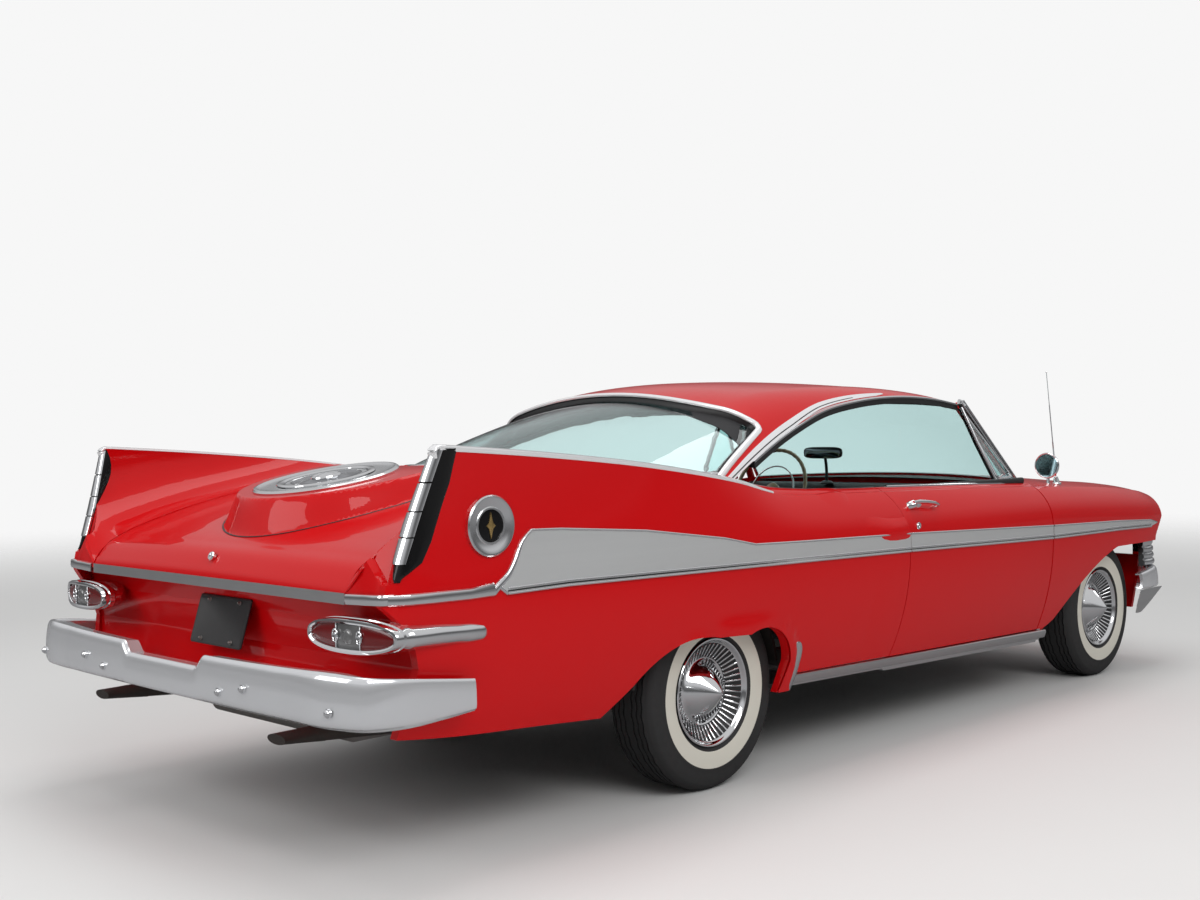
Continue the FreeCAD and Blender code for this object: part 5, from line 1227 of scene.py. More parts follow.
def tail_lamps():
    """Long oval lamps: a bright housing that runs on round the corner, red lenses either side of a clear one."""
    rings = [lamp_ring(-15, 26), lamp_ring(-15, 3), lamp_ring(-13, -2), lamp_ring(-8, -5), lamp_ring(-2, -4),
             lamp_ring(1, 3),
             lamp_ring(1, 14), lamp_ring(-3, 17), lamp_ring(-3, 22), lamp_ring(2, 25), lamp_ring(3, 40)]
    flat = lamp_ring(3, 40)
    centre = flat.mean(0)
    stations = [(0.0, 0, 4, 0, 1, 1), (0.2, 50, 24, 0, 0.91, 0.95), (0.45, 120, 70, -1, 0.66, 0.86),
                (0.7, 195, 112, -4, 0.42, 0.72),
                (0.9, 268, 148, -8, 0.2, 0.58), (0.97, 300, 156, -10, 0.12, 0.44),
                (1.0, 312, 156, -11, 0.06, 0.2)]
    for row in smooth_rows([tuple(s) for s in stations], np.linspace(0.03, 1, 34)):
        dx, dy, dz, sy, sz = row
        ring = centre + (flat - centre) * (1, sy, sz)
        ring[:, 0] = centre[0] + (flat[:, 0] - centre[0]) * sy + dx
        ring += (0, dy, dz)
        rings.append(ring)
    shell = lofted(np.array(rings), cap=False)
    verts, faces = shell
    n = len(rings[0])
    faces = list(faces) + [tuple(range(n)), tuple(len(verts) - n + k for k in reversed(range(n)))]

    def lens(y0, y1, back, bulge):
        """The part of the lens between two widths, with fine upright ribs."""
        ys = np.linspace(y0, y1, 46)
        out = []
        for k, y in enumerate(ys):
            share = min(1.0, abs(y) / 166)
            half = 33.5 * (1 - share ** 2.5) ** (1 / 2.5) + 0.4
            x = LAMP[0] + back + 44 * max(0.0, (y + 40) / 220) ** 2.2
            zs = np.linspace(-1, 1, 13)
            rib = 0.8 * (k % 2)
            out.append([(x - bulge * (1 - z * z) - rib * (1 - z * z), LAMP[1] + y,
                         LAMP[2] + z * half) for z in zs]
                       + [(x + 14, LAMP[1] + y, LAMP[2] + z * half) for z in (1, 0, -1)])
        return lofted(np.array(out))
    red = join([lens(-164, -54, 8, 5), lens(54, 164, 8, 5)])
    clear = lens(-48, 48, 9, 4)
    bars, rims = [], []
    for y in (-51, 51):
        x = LAMP[0] + 6 + 44 * max(0.0, (y + 40) / 220) ** 2.2
        bars.append(brick((x - 4, LAMP[1] + y - 2, LAMP[2] - 35), (x + 12, LAMP[1] + y + 2, LAMP[2] + 35), 1))
        loop = [(x - 6, LAMP[1] + y + 11 * math.cos(a),
                 LAMP[2] + 17 * math.sin(a)) for a in np.linspace(0, 2 * math.pi, 28, endpoint=False)]
        rims.append(swept(loop, round_section(2.6, 2.6, 8), (-1, 0, 0), close=True))
        rims.append(lathe([(-6, 8), (-7, 6), (-5, 0), (3, 0), (3, 8)], (x, LAMP[1] + y, LAMP[2]), (1, 0, 0),
                          18))
    bulb = lathe([(-4, 0), (-9, 8), (-4, 20), (6, 24), (6, 0)], (LAMP[0] + 8, LAMP[1], LAMP[2]), (1, 0, 0),
                 28)
    for label, mirror in SIDES:
        f = flipped if mirror else (lambda part: part)
        piece("tail_lamp_housing_" + label, *f((verts, faces)), "car_body", CHROME, angle=32,
              hides=("tail_lamp_bezels",) if mirror else ())
        piece("tail_lamp_red_" + label, *f(red), "car_body", RED_LENS, angle=60,
              hides=("tail_lamp_lenses",) if mirror else ())
        piece("tail_lamp_clear_" + label, *f(join([clear, bulb])), "car_body", CLEAR_LENS, angle=60)
        piece("tail_lamp_dividers_" + label, *f(join(bars + rims)), "car_body", CHROME, angle=40)


# ------------------------------------------------------------------ plate, tips and lock
def plate_and_lock():
    x, half, low, high = -2440, 152, 592, 744
    path = []
    for cy, cz, a0 in ((half - 10, high - 10, 0), (-half + 10, high - 10, 90), (-half + 10, low + 10, 180),
                       (half - 10, low + 10, 270)):
        for a in np.linspace(a0, a0 + 90, 6):
            path.append((cy + 10 * math.cos(math.radians(a)), cz + 10 * math.sin(math.radians(a))))
    path = np.array(path)

    def ring(dx, inset):
        mid = np.array((0, (low + high) / 2))
        d = path - mid
        d = d * (1 - inset / np.abs(d).max(0))
        z = mid[1] + d[:, 1]
        return np.stack([x + dx + lean * (z - low) - 32, mid[0] + d[:, 0], z], 1)
    lean = 0.3
    plate = lofted(np.array([ring(3, 0), ring(-1, 0), ring(-2.5, 1.5), ring(-2.5, 6), ring(-1, 8)]))
    screws = bolt_heads([(x - 33 + lean * (z - low), sy * 89, z) for sy in (-1, 1) for z in (728, 608)], 5.5,
                        (-1, 0, lean))
    stem = join([brick((x + 8, -60, low + 50), (x + 60, 60, high - 30), 4),
                 brick((x - 18, -50, low + 20), (x + 58, 50, low + 52), 4)])
    piece("plate_blank", *join([plate, stem]), "car_body", BLACK, angle=35, hides=("plate_bracket",))
    piece("plate_screws", *screws, "car_body", STEEL, angle=35)
    lock = lathe([(-6, 15), (2, 15), (6, 12), (6, 8), (2, 7), (2, 0), (-6, 0)], (-2477, 0, 876),
                 (-0.92, 0, 0.4), 24)
    piece("lid_lock", *lock, "deck_lid", CHROME, angle=30)


# ------------------------------------------------------------------ roof, glass and side trim
def roof_trims():
    """Bright band up each rear pillar, bright round the rear glass, drip rails with dark rubber under them."""
    x = np.linspace(-925, 352, 130)
    upper = np.interp(x, (-925, -782, -629, -373, -148, 92, 349, 352),
                      (-1.90, -1.875, -1.86, -1.84, -1.80, -1.78, -1.80, -1.82))
    lower = np.interp(x, (-925, -400, -180, 277, 352), (-1.997, -1.997, -1.95, -1.92, -1.86))
    poly = np.vstack([np.stack([x, lower], 1), np.stack([x, upper], 1)[::-1]])
    for label, mirror in SIDES:
        trimmed("pillar_band_" + label, roof_point, poly, np.array([1.0, 330.0]), "car_body", BAND_BRIGHT,
                3.0, step=14,
                mirror=not mirror, proud=3.6, rows=(-1.89, -1.93))
        groove = roof_point(x[:105], (upper * 0.34 + lower * 0.66)[:105])
        out = normals_of(roof_point, x[:105], (upper * 0.34 + lower * 0.66)[:105], 3.0, 0.01)
        line = swept(groove + out * 3.4, round_section(2.4, 1.2, 8), out)
        piece("pillar_band_line_" + label, *(line if mirror else flipped(line)), "car_body", BLACK, angle=50)
    edge_x = np.linspace(-735, 955, 150)
    p = roof_point(edge_x, np.full(150, 2.0))
    path = p + (0, 3, 1)
    rail = swept(path, [(-7, -5), (8, -3), (10, 4), (7, 6), (4, 1), (-7, 1)], (0, 0, 1))
    rubber = swept(path + (0, -14, -6), [(-16, -22), (10, -14), (12, 4), (-16, 4)], (0, 0, 1))
    base, top = np.array((1262, 786, 985.0)), np.array((954, 682, 1362.0))
    way = (top - base) / np.linalg.norm(top - base)
    out = np.cross(way, (0, 1, 0))
    out /= np.linalg.norm(out)
    run = base + way * np.linspace(0, 1, 12)[:, None] * np.linalg.norm(top - base)

    def bar(shift, inward, a, b, power=3):
        return swept(run + out * shift + np.array((0, -inward, 0)), round_section(a, b, 12, power), (0, 1, 0))
    bright = join([bar(-15, 0, 6, 9), bar(2, 0, 6, 8)])
    seal = join([bar(-6, 4, 5, 8), bar(12, 10, 5, 12)])
    red_bar = bar(8, 22, 15, 13, 4)
    corner = curve_through([(944, 676, 1368), (960, 680, 1362), (972, 688, 1346)], 10)
    cap = swept(corner, np.array([round_section(12, 9, 12, 3)] * 10), (0, 1, 0))
    for label, mirror in SIDES:
        f = flipped if mirror else (lambda part: part)
        piece("drip_rail_" + label, *f(rail), "car_body", CHROME, angle=35)
        piece("window_rubber_" + label, *f(rubber), "car_body", BLACK, angle=35)
        piece("pillar_trim_" + label, *f(join([bright, cap])), "car_body", CHROME_SATIN, angle=40)
        piece("pillar_seal_" + label, *f(seal), "car_body", BLACK, angle=40)
        piece("pillar_post_" + label, *f(red_bar), "car_body", PAINT, angle=40, slot="body_paint")
    # bright surround of the rear glass, along the edge of its opening
    p = roof_point(head[:, 0], head_t)
    d = normals_of(roof_point, head[:, 0], head_t, 3.0, 0.01)
    d *= np.sign(d[:, 2])[:, None]
    sec = [(-12, -3), (-12, 3), (-8, 7), (0, 8.5), (8, 7), (13, 2), (13, -3)]
    piece("rear_glass_surround", *swept(resampled(p, 160), sec, resampled(d, 160)), "car_body", BAND_BRIGHT,
          angle=40)
    inner = p - d * 5
    mid = np.array((-900.0, 0, 1150))
    toward = mid - inner
    toward /= np.linalg.norm(toward, axis=1)[:, None]
    lip_top, lip_low = resampled(p - d * 1, 200), resampled(p - d * 31, 200)
    shift = resampled(toward, 200)
    rings = np.stack([lip_top + shift * 4, lip_top + shift * 30 - (0, 0, 3), lip_low + shift * 34,
                      lip_low - shift * 2], 1)
    piece("rear_glass_rubber", *lofted(rings), "car_body", BLACK, angle=50)


def arc3(a, m, b, n):
    """Points of an arc in space."""
    a, m, b = (np.array(p, float) for p in (a, m, b))
    u = (b - a) / np.linalg.norm(b - a)
    w = m - a
    v = w - u * (w @ u)
    v /= np.linalg.norm(v)
    flat = arc_points(*(np.full((n, 2), ((p - a) @ u, (p - a) @ v)) for p in (a, m, b)), np.linspace(0, 1, n))
    return a + flat[:, :1] * u + flat[:, 1:] * v


def glass_trims():
    """Bright surrounds of the windshield, a bright strip under the rear glass, and the vent windows."""
    base = arc3((1290, 752, 992), (1500, 0, 1014), (1290, -752, 992), 90)
    side = curve_through([(1290, 752, 992), (1128, 714, 1170), (963, 662, 1348)], 30)
    top = arc3((963, 662, 1348), (1030, 0, 1388), (963, -662, 1348), 70)
    strip = [(-11, -3), (-11, 3), (-6, 6), (6, 6), (11, 3), (11, -3)]
    parts = [swept(base + (4, 0, 2), strip, (0.75, 0, 0.66)), swept(top + (6, 0, -2), strip, (0.75, 0, 0.66))]
    parts.append(pair(swept(side + (4, 3, 3), round_section(9, 6, 10, 3), (0.55, 0.45, 0.6))))
    piece("windshield_surround", *join(parts), "car_body", CHROME, angle=40)
    low = arc3((-850, 808, 1086), (-1480, 0, 1130), (-850, -808, 1086), 120)
    piece("rear_glass_base",
          *swept(low + (0, 0, 4), [(-12, -4), (-12, 2), (-6, 7), (8, 7), (14, 2), (14, -4)], (0, 0, 1)),
          "car_body",
          CHROME, angle=40)
    corners = np.array([(1196, 806, 1006), (955, 862, 1006), (905, 690, 1352)], float)
    mid = corners.mean(0)
    normal = np.cross(corners[1] - corners[0], corners[2] - corners[0])
    normal /= np.linalg.norm(normal)
    if normal[1] < 0:
        normal = -normal
    loop = []
    for k in range(3):
        a, b, c = corners[k - 1], corners[k], corners[(k + 1) % 3]
        a = b + (a - b) / np.linalg.norm(a - b) * 26
        c = b + (c - b) / np.linalg.norm(c - b) * 26
        loop.append(np.array([a * (1 - t) ** 2 + b * 2 * t * (1 - t) + c * t * t for t in np.linspace(0, 1, 7)]))
    loop = np.vstack(loop)
    loop = mid + (loop - mid) * 0.93
    ring = np.vstack([resampled(np.vstack([loop, loop[:1]]), 91)[:-1]])
    frame_part = swept(ring, [(-8, -6), (-8, 5), (-4, 8), (5, 8), (8, 5), (8, -6)], normal, close=True)
    rear_post = swept(np.array([(956, 851, 1004), (930, 770, 1180), (908, 704, 1338)]),
                      round_section(8, 12, 10, 3), (0, 1, 0.2))
    sill_plate = brick((944, 802, 988), (1180, 846, 1003), 3)
    pane_ring = mid + (ring - mid) * 0.97
    rows = np.array([mid + (pane_ring - mid) * k + normal * h for k,
                     h in ((0.01, 2.5), (0.5, 2.5), (0.995, 2.5), (1.0, 0), (0.995, -2.5), (0.5, -2.5),
                           (0.01, -2.5))])
    pane = lofted(rows)
    for label, mirror in SIDES:
        f = flipped if mirror else (lambda part: part)
        piece("vent_frame_" + label, *f(join([frame_part, rear_post, sill_plate])), "door_" + label, CHROME,
              angle=40,
              hides=("vent_window_" + label,))
        piece("vent_pane_" + label, *f(pane), "door_" + label, GLASS, angle=40)


def door_trims():
    """Handles, locks and the bright strip along each door's top edge."""
    for label, mirror in SIDES:
        f = flipped if mirror else (lambda part: part)
        xs = np.linspace(DOOR_REAR + 10, 1190, 80)
        p = side_point(DOOR, xs, np.full(80, 4.0))
        reveal = swept(p + (0, 2, 2), [(-5, -3), (-5, 2), (0, 5), (6, 4), (8, -1), (8, -3)], (0, 0, 1))
        handle_p, n = on_side(DOOR, [(90, 938), (176, 931), (262, 928)])
        n = n[1]
        along = handle_p[2] - handle_p[0]
        along /= np.linalg.norm(along)
        up = np.cross(n, along)
        up *= np.sign(up[2])
        at = lambda a, h, o: handle_p[0] + along * a + up * h + n * o
        boss = [swept([at(-14, 0, -3), at(-12, 0, 8), at(-6, 0, 15), at(0, 0, 20)],
                      round_section(16, 14, 12, 3), along),
                lathe([(-3, 17), (16, 17), (24, 15), (27, 9), (27, 0), (-3, 0)], at(34, 2, 0), n, 24),
                lathe([(-3, 13), (10, 12), (16, 9), (20, 8), (-3, 0)], at(0, 0, 0), n, 20)]
        lever = swept([at(-16, 3, 26), at(20, 4, 31), at(70, 2, 34), at(120, -1, 33), at(158, -6, 27),
                       at(168, -8, 17)],
                      np.array([round_section(a, b, 12, 2.6) for a,
                                b in ((6, 8), (7, 12), (6, 12), (5, 11), (5, 9), (4, 6))]), n)
        grip = swept([at(150, -5, -3), at(150, -5, 10), at(152, -5, 26)], round_section(7, 7, 10), along)
        lock_p, lock_n = on_side(DOOR, [(95, 859)])
        lock = lathe([(-3, 15), (3, 15), (7, 12), (7, 8), (4, 7), (4, 0), (-3, 0)], lock_p[0], lock_n[0], 24)
        piece("door_handle_" + label, *f(join([lever, grip] + boss)), "door_" + label, CHROME, angle=45)
        piece("door_lock_" + label, *f(lock), "door_" + label, CHROME, angle=35)
        piece("door_reveal_" + label, *f(reveal), "door_" + label, CHROME, angle=35)


def sill_trims():
    """Satin moulding on each sill with a bright guard at its rear end, ahead of the wheel."""
    n = 60
    x = np.linspace(-650, 1325, n)
    top = 346.0 - 0.0275 * (x - DOOR_REAR) - 7
    shape = [(884 - 8, 0), (889, 1), (896, -3), (899, -9), (898, -16), (893, -30), (891, -36), (884, -40),
             (884 - 8, -41)]
    rings = np.array([[(px, y, pt + z) for y, z in shape] for px, pt in zip(x, top)])
    moulding = lofted(rings)
    line = curve_through([(-668, 302), (-662, 392), (-674, 470), (-700, 482)], 30)
    p, nrm = on_side(QUARTER, line)
    w = np.interp(np.linspace(0, 1, 30), (0, 0.6, 0.9, 1), (17, 19, 14, 5))
    sec = np.array([[(-a, -3), (-a, 4), (-a * 0.6, 7), (a * 0.6, 7), (a, 4), (a, -3)] for a in w])
    guard = swept(p, sec, nrm)
    for label, mirror in SIDES:
        f = flipped if mirror else (lambda part: part)
        hides = ("side_brightwork",) if mirror else ()
        piece("sill_moulding_" + label, *f(moulding), "car_body", SATIN, angle=35, hides=hides)
        piece("stone_guard_" + label, *f(guard), "car_body", CHROME_SATIN, angle=35)


# ------------------------------------------------------------------ wheels and tyres
def repeat_tree():
    """Copies of a part round a circle, or along a line, with a slight seeded change of size."""
    tree = bpy.data.node_groups.new("repeat_part", "GeometryNodeTree")
    for name, kind in (("Part", "NodeSocketObject"), ("Count", "NodeSocketInt"),
                       ("Radius", "NodeSocketFloat"),
                       ("Step", "NodeSocketVector"), ("Round", "NodeSocketBool"), ("Seed", "NodeSocketInt"),
                       ("Finish", "NodeSocketMaterial")):
        tree.interface.new_socket(name, in_out="INPUT", socket_type=kind)
    tree.interface.new_socket("Geometry", in_out="OUTPUT", socket_type="NodeSocketGeometry")
    new = tree.nodes.new
    i, o = new("NodeGroupInput"), new("NodeGroupOutput")
    part = new("GeometryNodeObjectInfo")
    ring = new("GeometryNodeMeshCircle")
    row = new("GeometryNodeMeshLine")
    choose = new("GeometryNodeSwitch")
    choose.input_type = "GEOMETRY"
    put = new("GeometryNodeInstanceOnPoints")
    turn = new("FunctionNodeAlignRotationToVector")
    turn.axis = "X"
    where = new("GeometryNodeInputPosition")
    off = new("GeometryNodeSwitch")
    off.input_type = "ROTATION"
    size = new("FunctionNodeRandomValue")
    size.inputs[2].default_value, size.inputs[3].default_value = 0.985, 1.0
    real, paint = new("GeometryNodeRealizeInstances"), new("GeometryNodeSetMaterial")
    link_ = tree.links.new
    link_(i.outputs["Part"], part.inputs["Object"])
    link_(i.outputs["Count"], ring.inputs["Vertices"])
    link_(i.outputs["Radius"], ring.inputs["Radius"])
    link_(i.outputs["Count"], row.inputs["Count"])
    link_(i.outputs["Step"], row.inputs["Offset"])
    link_(i.outputs["Round"], choose.inputs["Switch"])
    link_(row.outputs[0], choose.inputs["False"])
    link_(ring.outputs[0], choose.inputs["True"])
    link_(choose.outputs[0], put.inputs["Points"])
    link_(part.outputs["Geometry"], put.inputs["Instance"])
    link_(where.outputs[0], turn.inputs["Vector"])
    link_(i.outputs["Round"], off.inputs["Switch"])
    link_(turn.outputs[0], off.inputs["True"])
    link_(off.outputs[0], put.inputs["Rotation"])
    link_(i.outputs["Seed"], size.inputs["Seed"])
    link_(size.outputs[1], put.inputs["Scale"])
    link_(put.outputs[0], real.inputs[0])
    link_(real.outputs[0], paint.inputs["Geometry"])
    link_(i.outputs["Finish"], paint.inputs["Material"])
    link_(paint.outputs[0], o.inputs[0])
    return tree


REPEAT = repeat_tree()


def repeated(name, part, count, radius, step, finish, moves, body, seed=7, angle=35, hides=()):
    """A plain mesh piece of repeated parts. Each of moves places one whole set; lengths are in millimetres."""
    mesh = bpy.data.meshes.new(name + "_part")
    v, f = part
    mesh.from_pydata((np.asarray(v, float) * MM).tolist(), [], [list(map(int, k)) for k in f])
    bm = bmesh.new()
    bm.from_mesh(mesh)
    bmesh.ops.recalc_face_normals(bm, faces=bm.faces)
    bm.to_mesh(mesh)
    bm.free()
    source = link(name + "_part", mesh)
    holder = link(name + "_maker", bpy.data.meshes.new(name + "_maker"))
    mod = holder.modifiers.new("repeat", "NODES")
    mod.node_group = REPEAT
    values = {"Part": source, "Count": count, "Radius": radius * MM, "Step": [c * MM for c in step],
              "Round": radius > 0,
              "Seed": seed, "Finish": finish}
    for item in REPEAT.interface.items_tree:
        if item.item_type == "SOCKET" and item.in_out == "INPUT":
            mod[item.identifier] = values[item.name]
    bpy.context.view_layer.update()
    made = bpy.data.meshes.new_from_object(holder.evaluated_get(bpy.context.evaluated_depsgraph_get()))
    out = bmesh.new()
    for move in moves:
        copy = made.copy()
        copy.transform(move)
        out.from_mesh(copy)
        bpy.data.meshes.remove(copy)
    final = bpy.data.meshes.new(name)
    bmesh.ops.recalc_face_normals(out, faces=out.faces)
    out.to_mesh(final)
    out.free()
    for o in (holder, source):
        bpy.data.objects.remove(o)
    set_sharp(final, angle)
    return finish_piece(link(name, final), body, finish, hides)


WHEELS = {"front_left": (1.960, 0.7735, 1), "front_right": (1.960, -0.7735, -1),
          "rear_left": (-1.037, 0.758, 1),
          "rear_right": (-1.037, -0.758, -1)}


def lathe_y(profile, sign, centre, steps=96):
    """A solid of revolution about the wheel's axle; profile is (outward, radius)."""
    return lathe(profile, centre, (0, sign, 0), steps)


def tyre_mesh(centre, sign):
    """Tyre with a broad pale band on its outer wall, thin ridges and a grooved tread."""
    outer = [(66, 182), (74, 184), (84, 190), (90, 198), (94.5, 202), (95.2, 203.5), (97, 214), (99.5, 232),
             (101, 250), (101.5, 261),
             (102.6, 262.5), (102.6, 267), (101.5, 269), (101, 284), (98.5, 300), (94, 315), (93.2, 318),
             (90, 322), (84, 329),
             (76, 334.5), (68, 337.6)]
    tread = []
    for a in (62, 40, 18, -18, -40, -62):
        tread += [(a + 4, 339.4, 0), (a + 3.4, 339.4, 1), (a + 2.2, 331, 1), (a - 2.2, 331, 1),
                  (a - 3.4, 339.4, 1), (a - 4, 339.4, 0)]
    profile = [(a, r, 0) for a,
               r in outer] + tread + [(-a, r, 0) for a, r in reversed(outer)] + [(-60, 176, 0), (60, 176, 0)]
    profile = np.array(profile, float)
    steps = 144
    ang = np.arange(steps) * 2 * math.pi / steps
    zig = np.where(np.arange(steps) % 4 < 2, 2.2, -2.2)
    a = profile[None, :, 0] + profile[None, :, 2] * zig[:, None]
    verts = np.stack([centre[0] + profile[None, :, 1] * np.cos(ang)[:, None], centre[1] + sign * a,
                      centre[2] + profile[None, :, 1] * np.sin(ang)[:, None]], 2)
    faces = grid_faces(steps, len(profile), True, True)
    band = [5 <= k < 9 for k in range(len(profile))]
    index = [1 if band[j % len(profile)] else 0 for j in range(len(faces))]
    return verts.reshape(-1, 3), faces, index


def wheels():
    """Full covers: polished cone with small fins, dished ring of dark slots between bright ribs, rolled rim."""
    rib_v, rib_f = brick((-25, -3.2, -1.5), (25, 3.2, 3.4), 1.2)
    rib_v[:, 2] += 0.66 * rib_v[:, 0]
    for label, (x, y, sign) in WHEELS.items():
        body = "wheel_" + label
        c = np.array((x / MM, y / MM, 340.0))
        cover = lathe_y([(34, 0), (34, 108), (40, 120), (76, 174), (86, 188), (90, 189.5), (92.5, 187),
                         (92.5, 183), (89, 179), (84, 176),
                         (81, 173), (78.5, 169.5), (44.5, 118), (42, 113.5), (44, 109), (48, 104), (55, 98),
                         (69, 84), (84, 66), (98, 48), (111, 31),
                         (122, 16), (128, 7), (130, 0)], sign, c)
        piece("wheel_cover_" + label, *cover, body, CHROME, angle=24, hides=("wheel_" + label,))
        dark = lathe_y([(70, 169.5), (79.6, 169.5), (45.6, 118), (36, 118)], sign, c, 96)
        piece("wheel_cover_dark_" + label, *dark, body, BLACK, angle=40)
        turn = Matrix.Rotation(-sign * math.pi / 2, 4, "X")
        move = Matrix.Translation(c * MM + np.array((0, sign * 0.0626, 0))) @ turn
        repeated("wheel_cover_ribs_" + label, (rib_v, rib_f), 48, 143.7, (0, 0, 0), CHROME, [move], body)
        fins = []
        for k in range(5):
            a = 2 * math.pi * k / 5 + 0.35
            radial = np.array((math.cos(a), 0, math.sin(a)))
            across = np.array((-math.sin(a), 0, math.cos(a)))
            rings = []
            for r, low, high, w in ((104, 40, 52, 2.0), (94, 52, 68, 2.8), (80, 66, 84, 3.0),
                                    (66, 78, 92, 2.6), (52, 88, 97, 1.4)):
                rings.append([c + radial * r + across * s * w + np.array((0, sign * h, 0)) for s,
                              h in ((-1, low), (-0.4, high), (0.4, high), (1, low))])
            fins.append(lofted(np.array(rings)))
        piece("wheel_cover_fins_" + label, *join(fins), body, CHROME, angle=35)
        back = lathe_y([(-75, 176), (-75, 190), (-69, 190), (-64, 180), (-20, 168), (-8, 166), (-6, 120),
                        (-2, 60), (-2, 30), (-12, 30), (-14, 120),
                        (-20, 160), (-66, 172)], sign, c, 72)
        drum = lathe_y([(-58, 40), (-58, 138), (-50, 142), (-12, 142), (-6, 132), (-6, 40)], sign, c, 72)
        piece("wheel_rim_back_" + label, *back, body, BLACK, angle=35)
        piece("brake_drum_" + label, *drum, body, CAST, angle=35)
        v, f, index = tyre_mesh(c, sign)
        piece("tyre_tread_" + label, v, f, body, [RUBBER, WHITE], hides=("tyre_" + label,), angle=28,
              index=index)


# ------------------------------------------------------------------ seats
def puffed(verts, faces, rest_z=None, rest_way=None, cap=24.0, voxel=0.008):
    """A stuffed cover: the form swells under pressure, held where it rests, and each point moves at most cap."""
    mesh = bpy.data.meshes.new("cover")
    mesh.from_pydata((np.asarray(verts, float) * MM).tolist(), [], [list(map(int, f)) for f in faces])
    bm = bmesh.new()
    bm.from_mesh(mesh)
    bmesh.ops.recalc_face_normals(bm, faces=bm.faces)
    bm.to_mesh(mesh)
    bm.free()
    obj = link("cover", mesh)
    remesh = obj.modifiers.new("even", "REMESH")
    remesh.mode, remesh.voxel_size = "VOXEL", voxel
    graph = bpy.context.evaluated_depsgraph_get()
    even = bpy.data.meshes.new_from_object(obj.evaluated_get(graph))
    obj.modifiers.clear()
    obj.data = even
    start = np.array([v.co for v in even.vertices])
    moved = start
    way = np.array(rest_way, float)
    held = (start @ way) / MM < rest_z
    group = obj.vertex_groups.new(name="rests")
    group.add([int(k) for k in np.nonzero(held)[0]], 1.0, "REPLACE")
    cloth = obj.modifiers.new("fill", "CLOTH")
    cloth.settings.vertex_group_mass = "rests"
    cloth.settings.use_pressure = True
    cloth.settings.uniform_pressure_force = 4.0
    cloth.settings.effector_weights.gravity = 0.0
    cloth.settings.quality = 4
    scene = bpy.context.scene
    for step in range(1, 21):
        scene.frame_set(step)
    graph = bpy.context.evaluated_depsgraph_get()
    swollen = obj.evaluated_get(graph).to_mesh()
    moved = np.array([v.co for v in swollen.vertices])
    scene.frame_set(1)
    obj.modifiers.clear()
    d = moved - start
    size = np.linalg.norm(d, axis=1)
    moved = start + d * np.minimum(1.0, cap * MM / np.maximum(size, 1e-9))[:, None]
    even.vertices.foreach_set("co", moved.ravel())
    even.update()
    points = np.array([v.co for v in even.vertices]) / MM
    normals = np.array([v.normal for v in even.vertices])
    faces = [tuple(p.vertices) for p in even.polygons]
    bpy.data.objects.remove(obj)
    return points, faces, normals


def bench_pad(name, outline, half, round_end, channels, facing, rest, body, hides=()):
    """A bench cushion or back from its side outline; channels are (first, last, pitch, low, high) across its width."""
    outline = resampled(np.vstack([outline, outline[:1]]), 61)[:-1]
    middle = outline.mean(0)
    ys = np.r_[-half + round_end * (1 - np.cos(np.linspace(0, math.pi / 2, 7))),
               np.linspace(-half + round_end, half - round_end, 14)[1:-1],
               half - round_end * (1 - np.cos(np.linspace(math.pi / 2, 0, 7)))]
    rings = []
    for y in ys:
        over = max(0.0, abs(y) - (half - round_end)) / round_end
        inset = round_end * (1 - math.sqrt(max(0.0, 1 - min(over, 1.0) ** 2))) * 0.8
        d = outline - middle
        d = d * (1 - inset / np.abs(d).max(0).min())
        rings.append([(middle[0] + a, y, middle[1] + b) for a, b in d])
    verts, faces = lofted(np.array(rings))
    way, level = rest
    points, faces, normals = puffed(verts, faces, level, way)
    facing = np.array(facing, float)
    front = np.clip((normals @ facing - 0.25) / 0.3, 0, 1)
    first, last, pitch, low, high = channels
    across = points[:, 1]
    along = points @ np.cross((0, 1, 0), facing)
    span = np.clip((along - low) / 18, 0, 1) * np.clip((high - along) / 18, 0, 1)
    groove = np.zeros(len(points))
    for y in np.arange(first, last + 1, pitch):
        groove = np.maximum(groove, np.exp(-((across - y) / 5.5) ** 2) * span)
    for edge in (low, high):
        inside_width = np.clip((last + 20 - np.abs(across)) / 20, 0, 1)
        groove = np.maximum(groove, np.exp(-((along - edge) / 5.5) ** 2) * inside_width)
    points = points - normals * (6.5 * groove * front)[:, None]
    obj = piece(name, points, faces, body, VINYL, hides=hides, angle=80)
    return obj


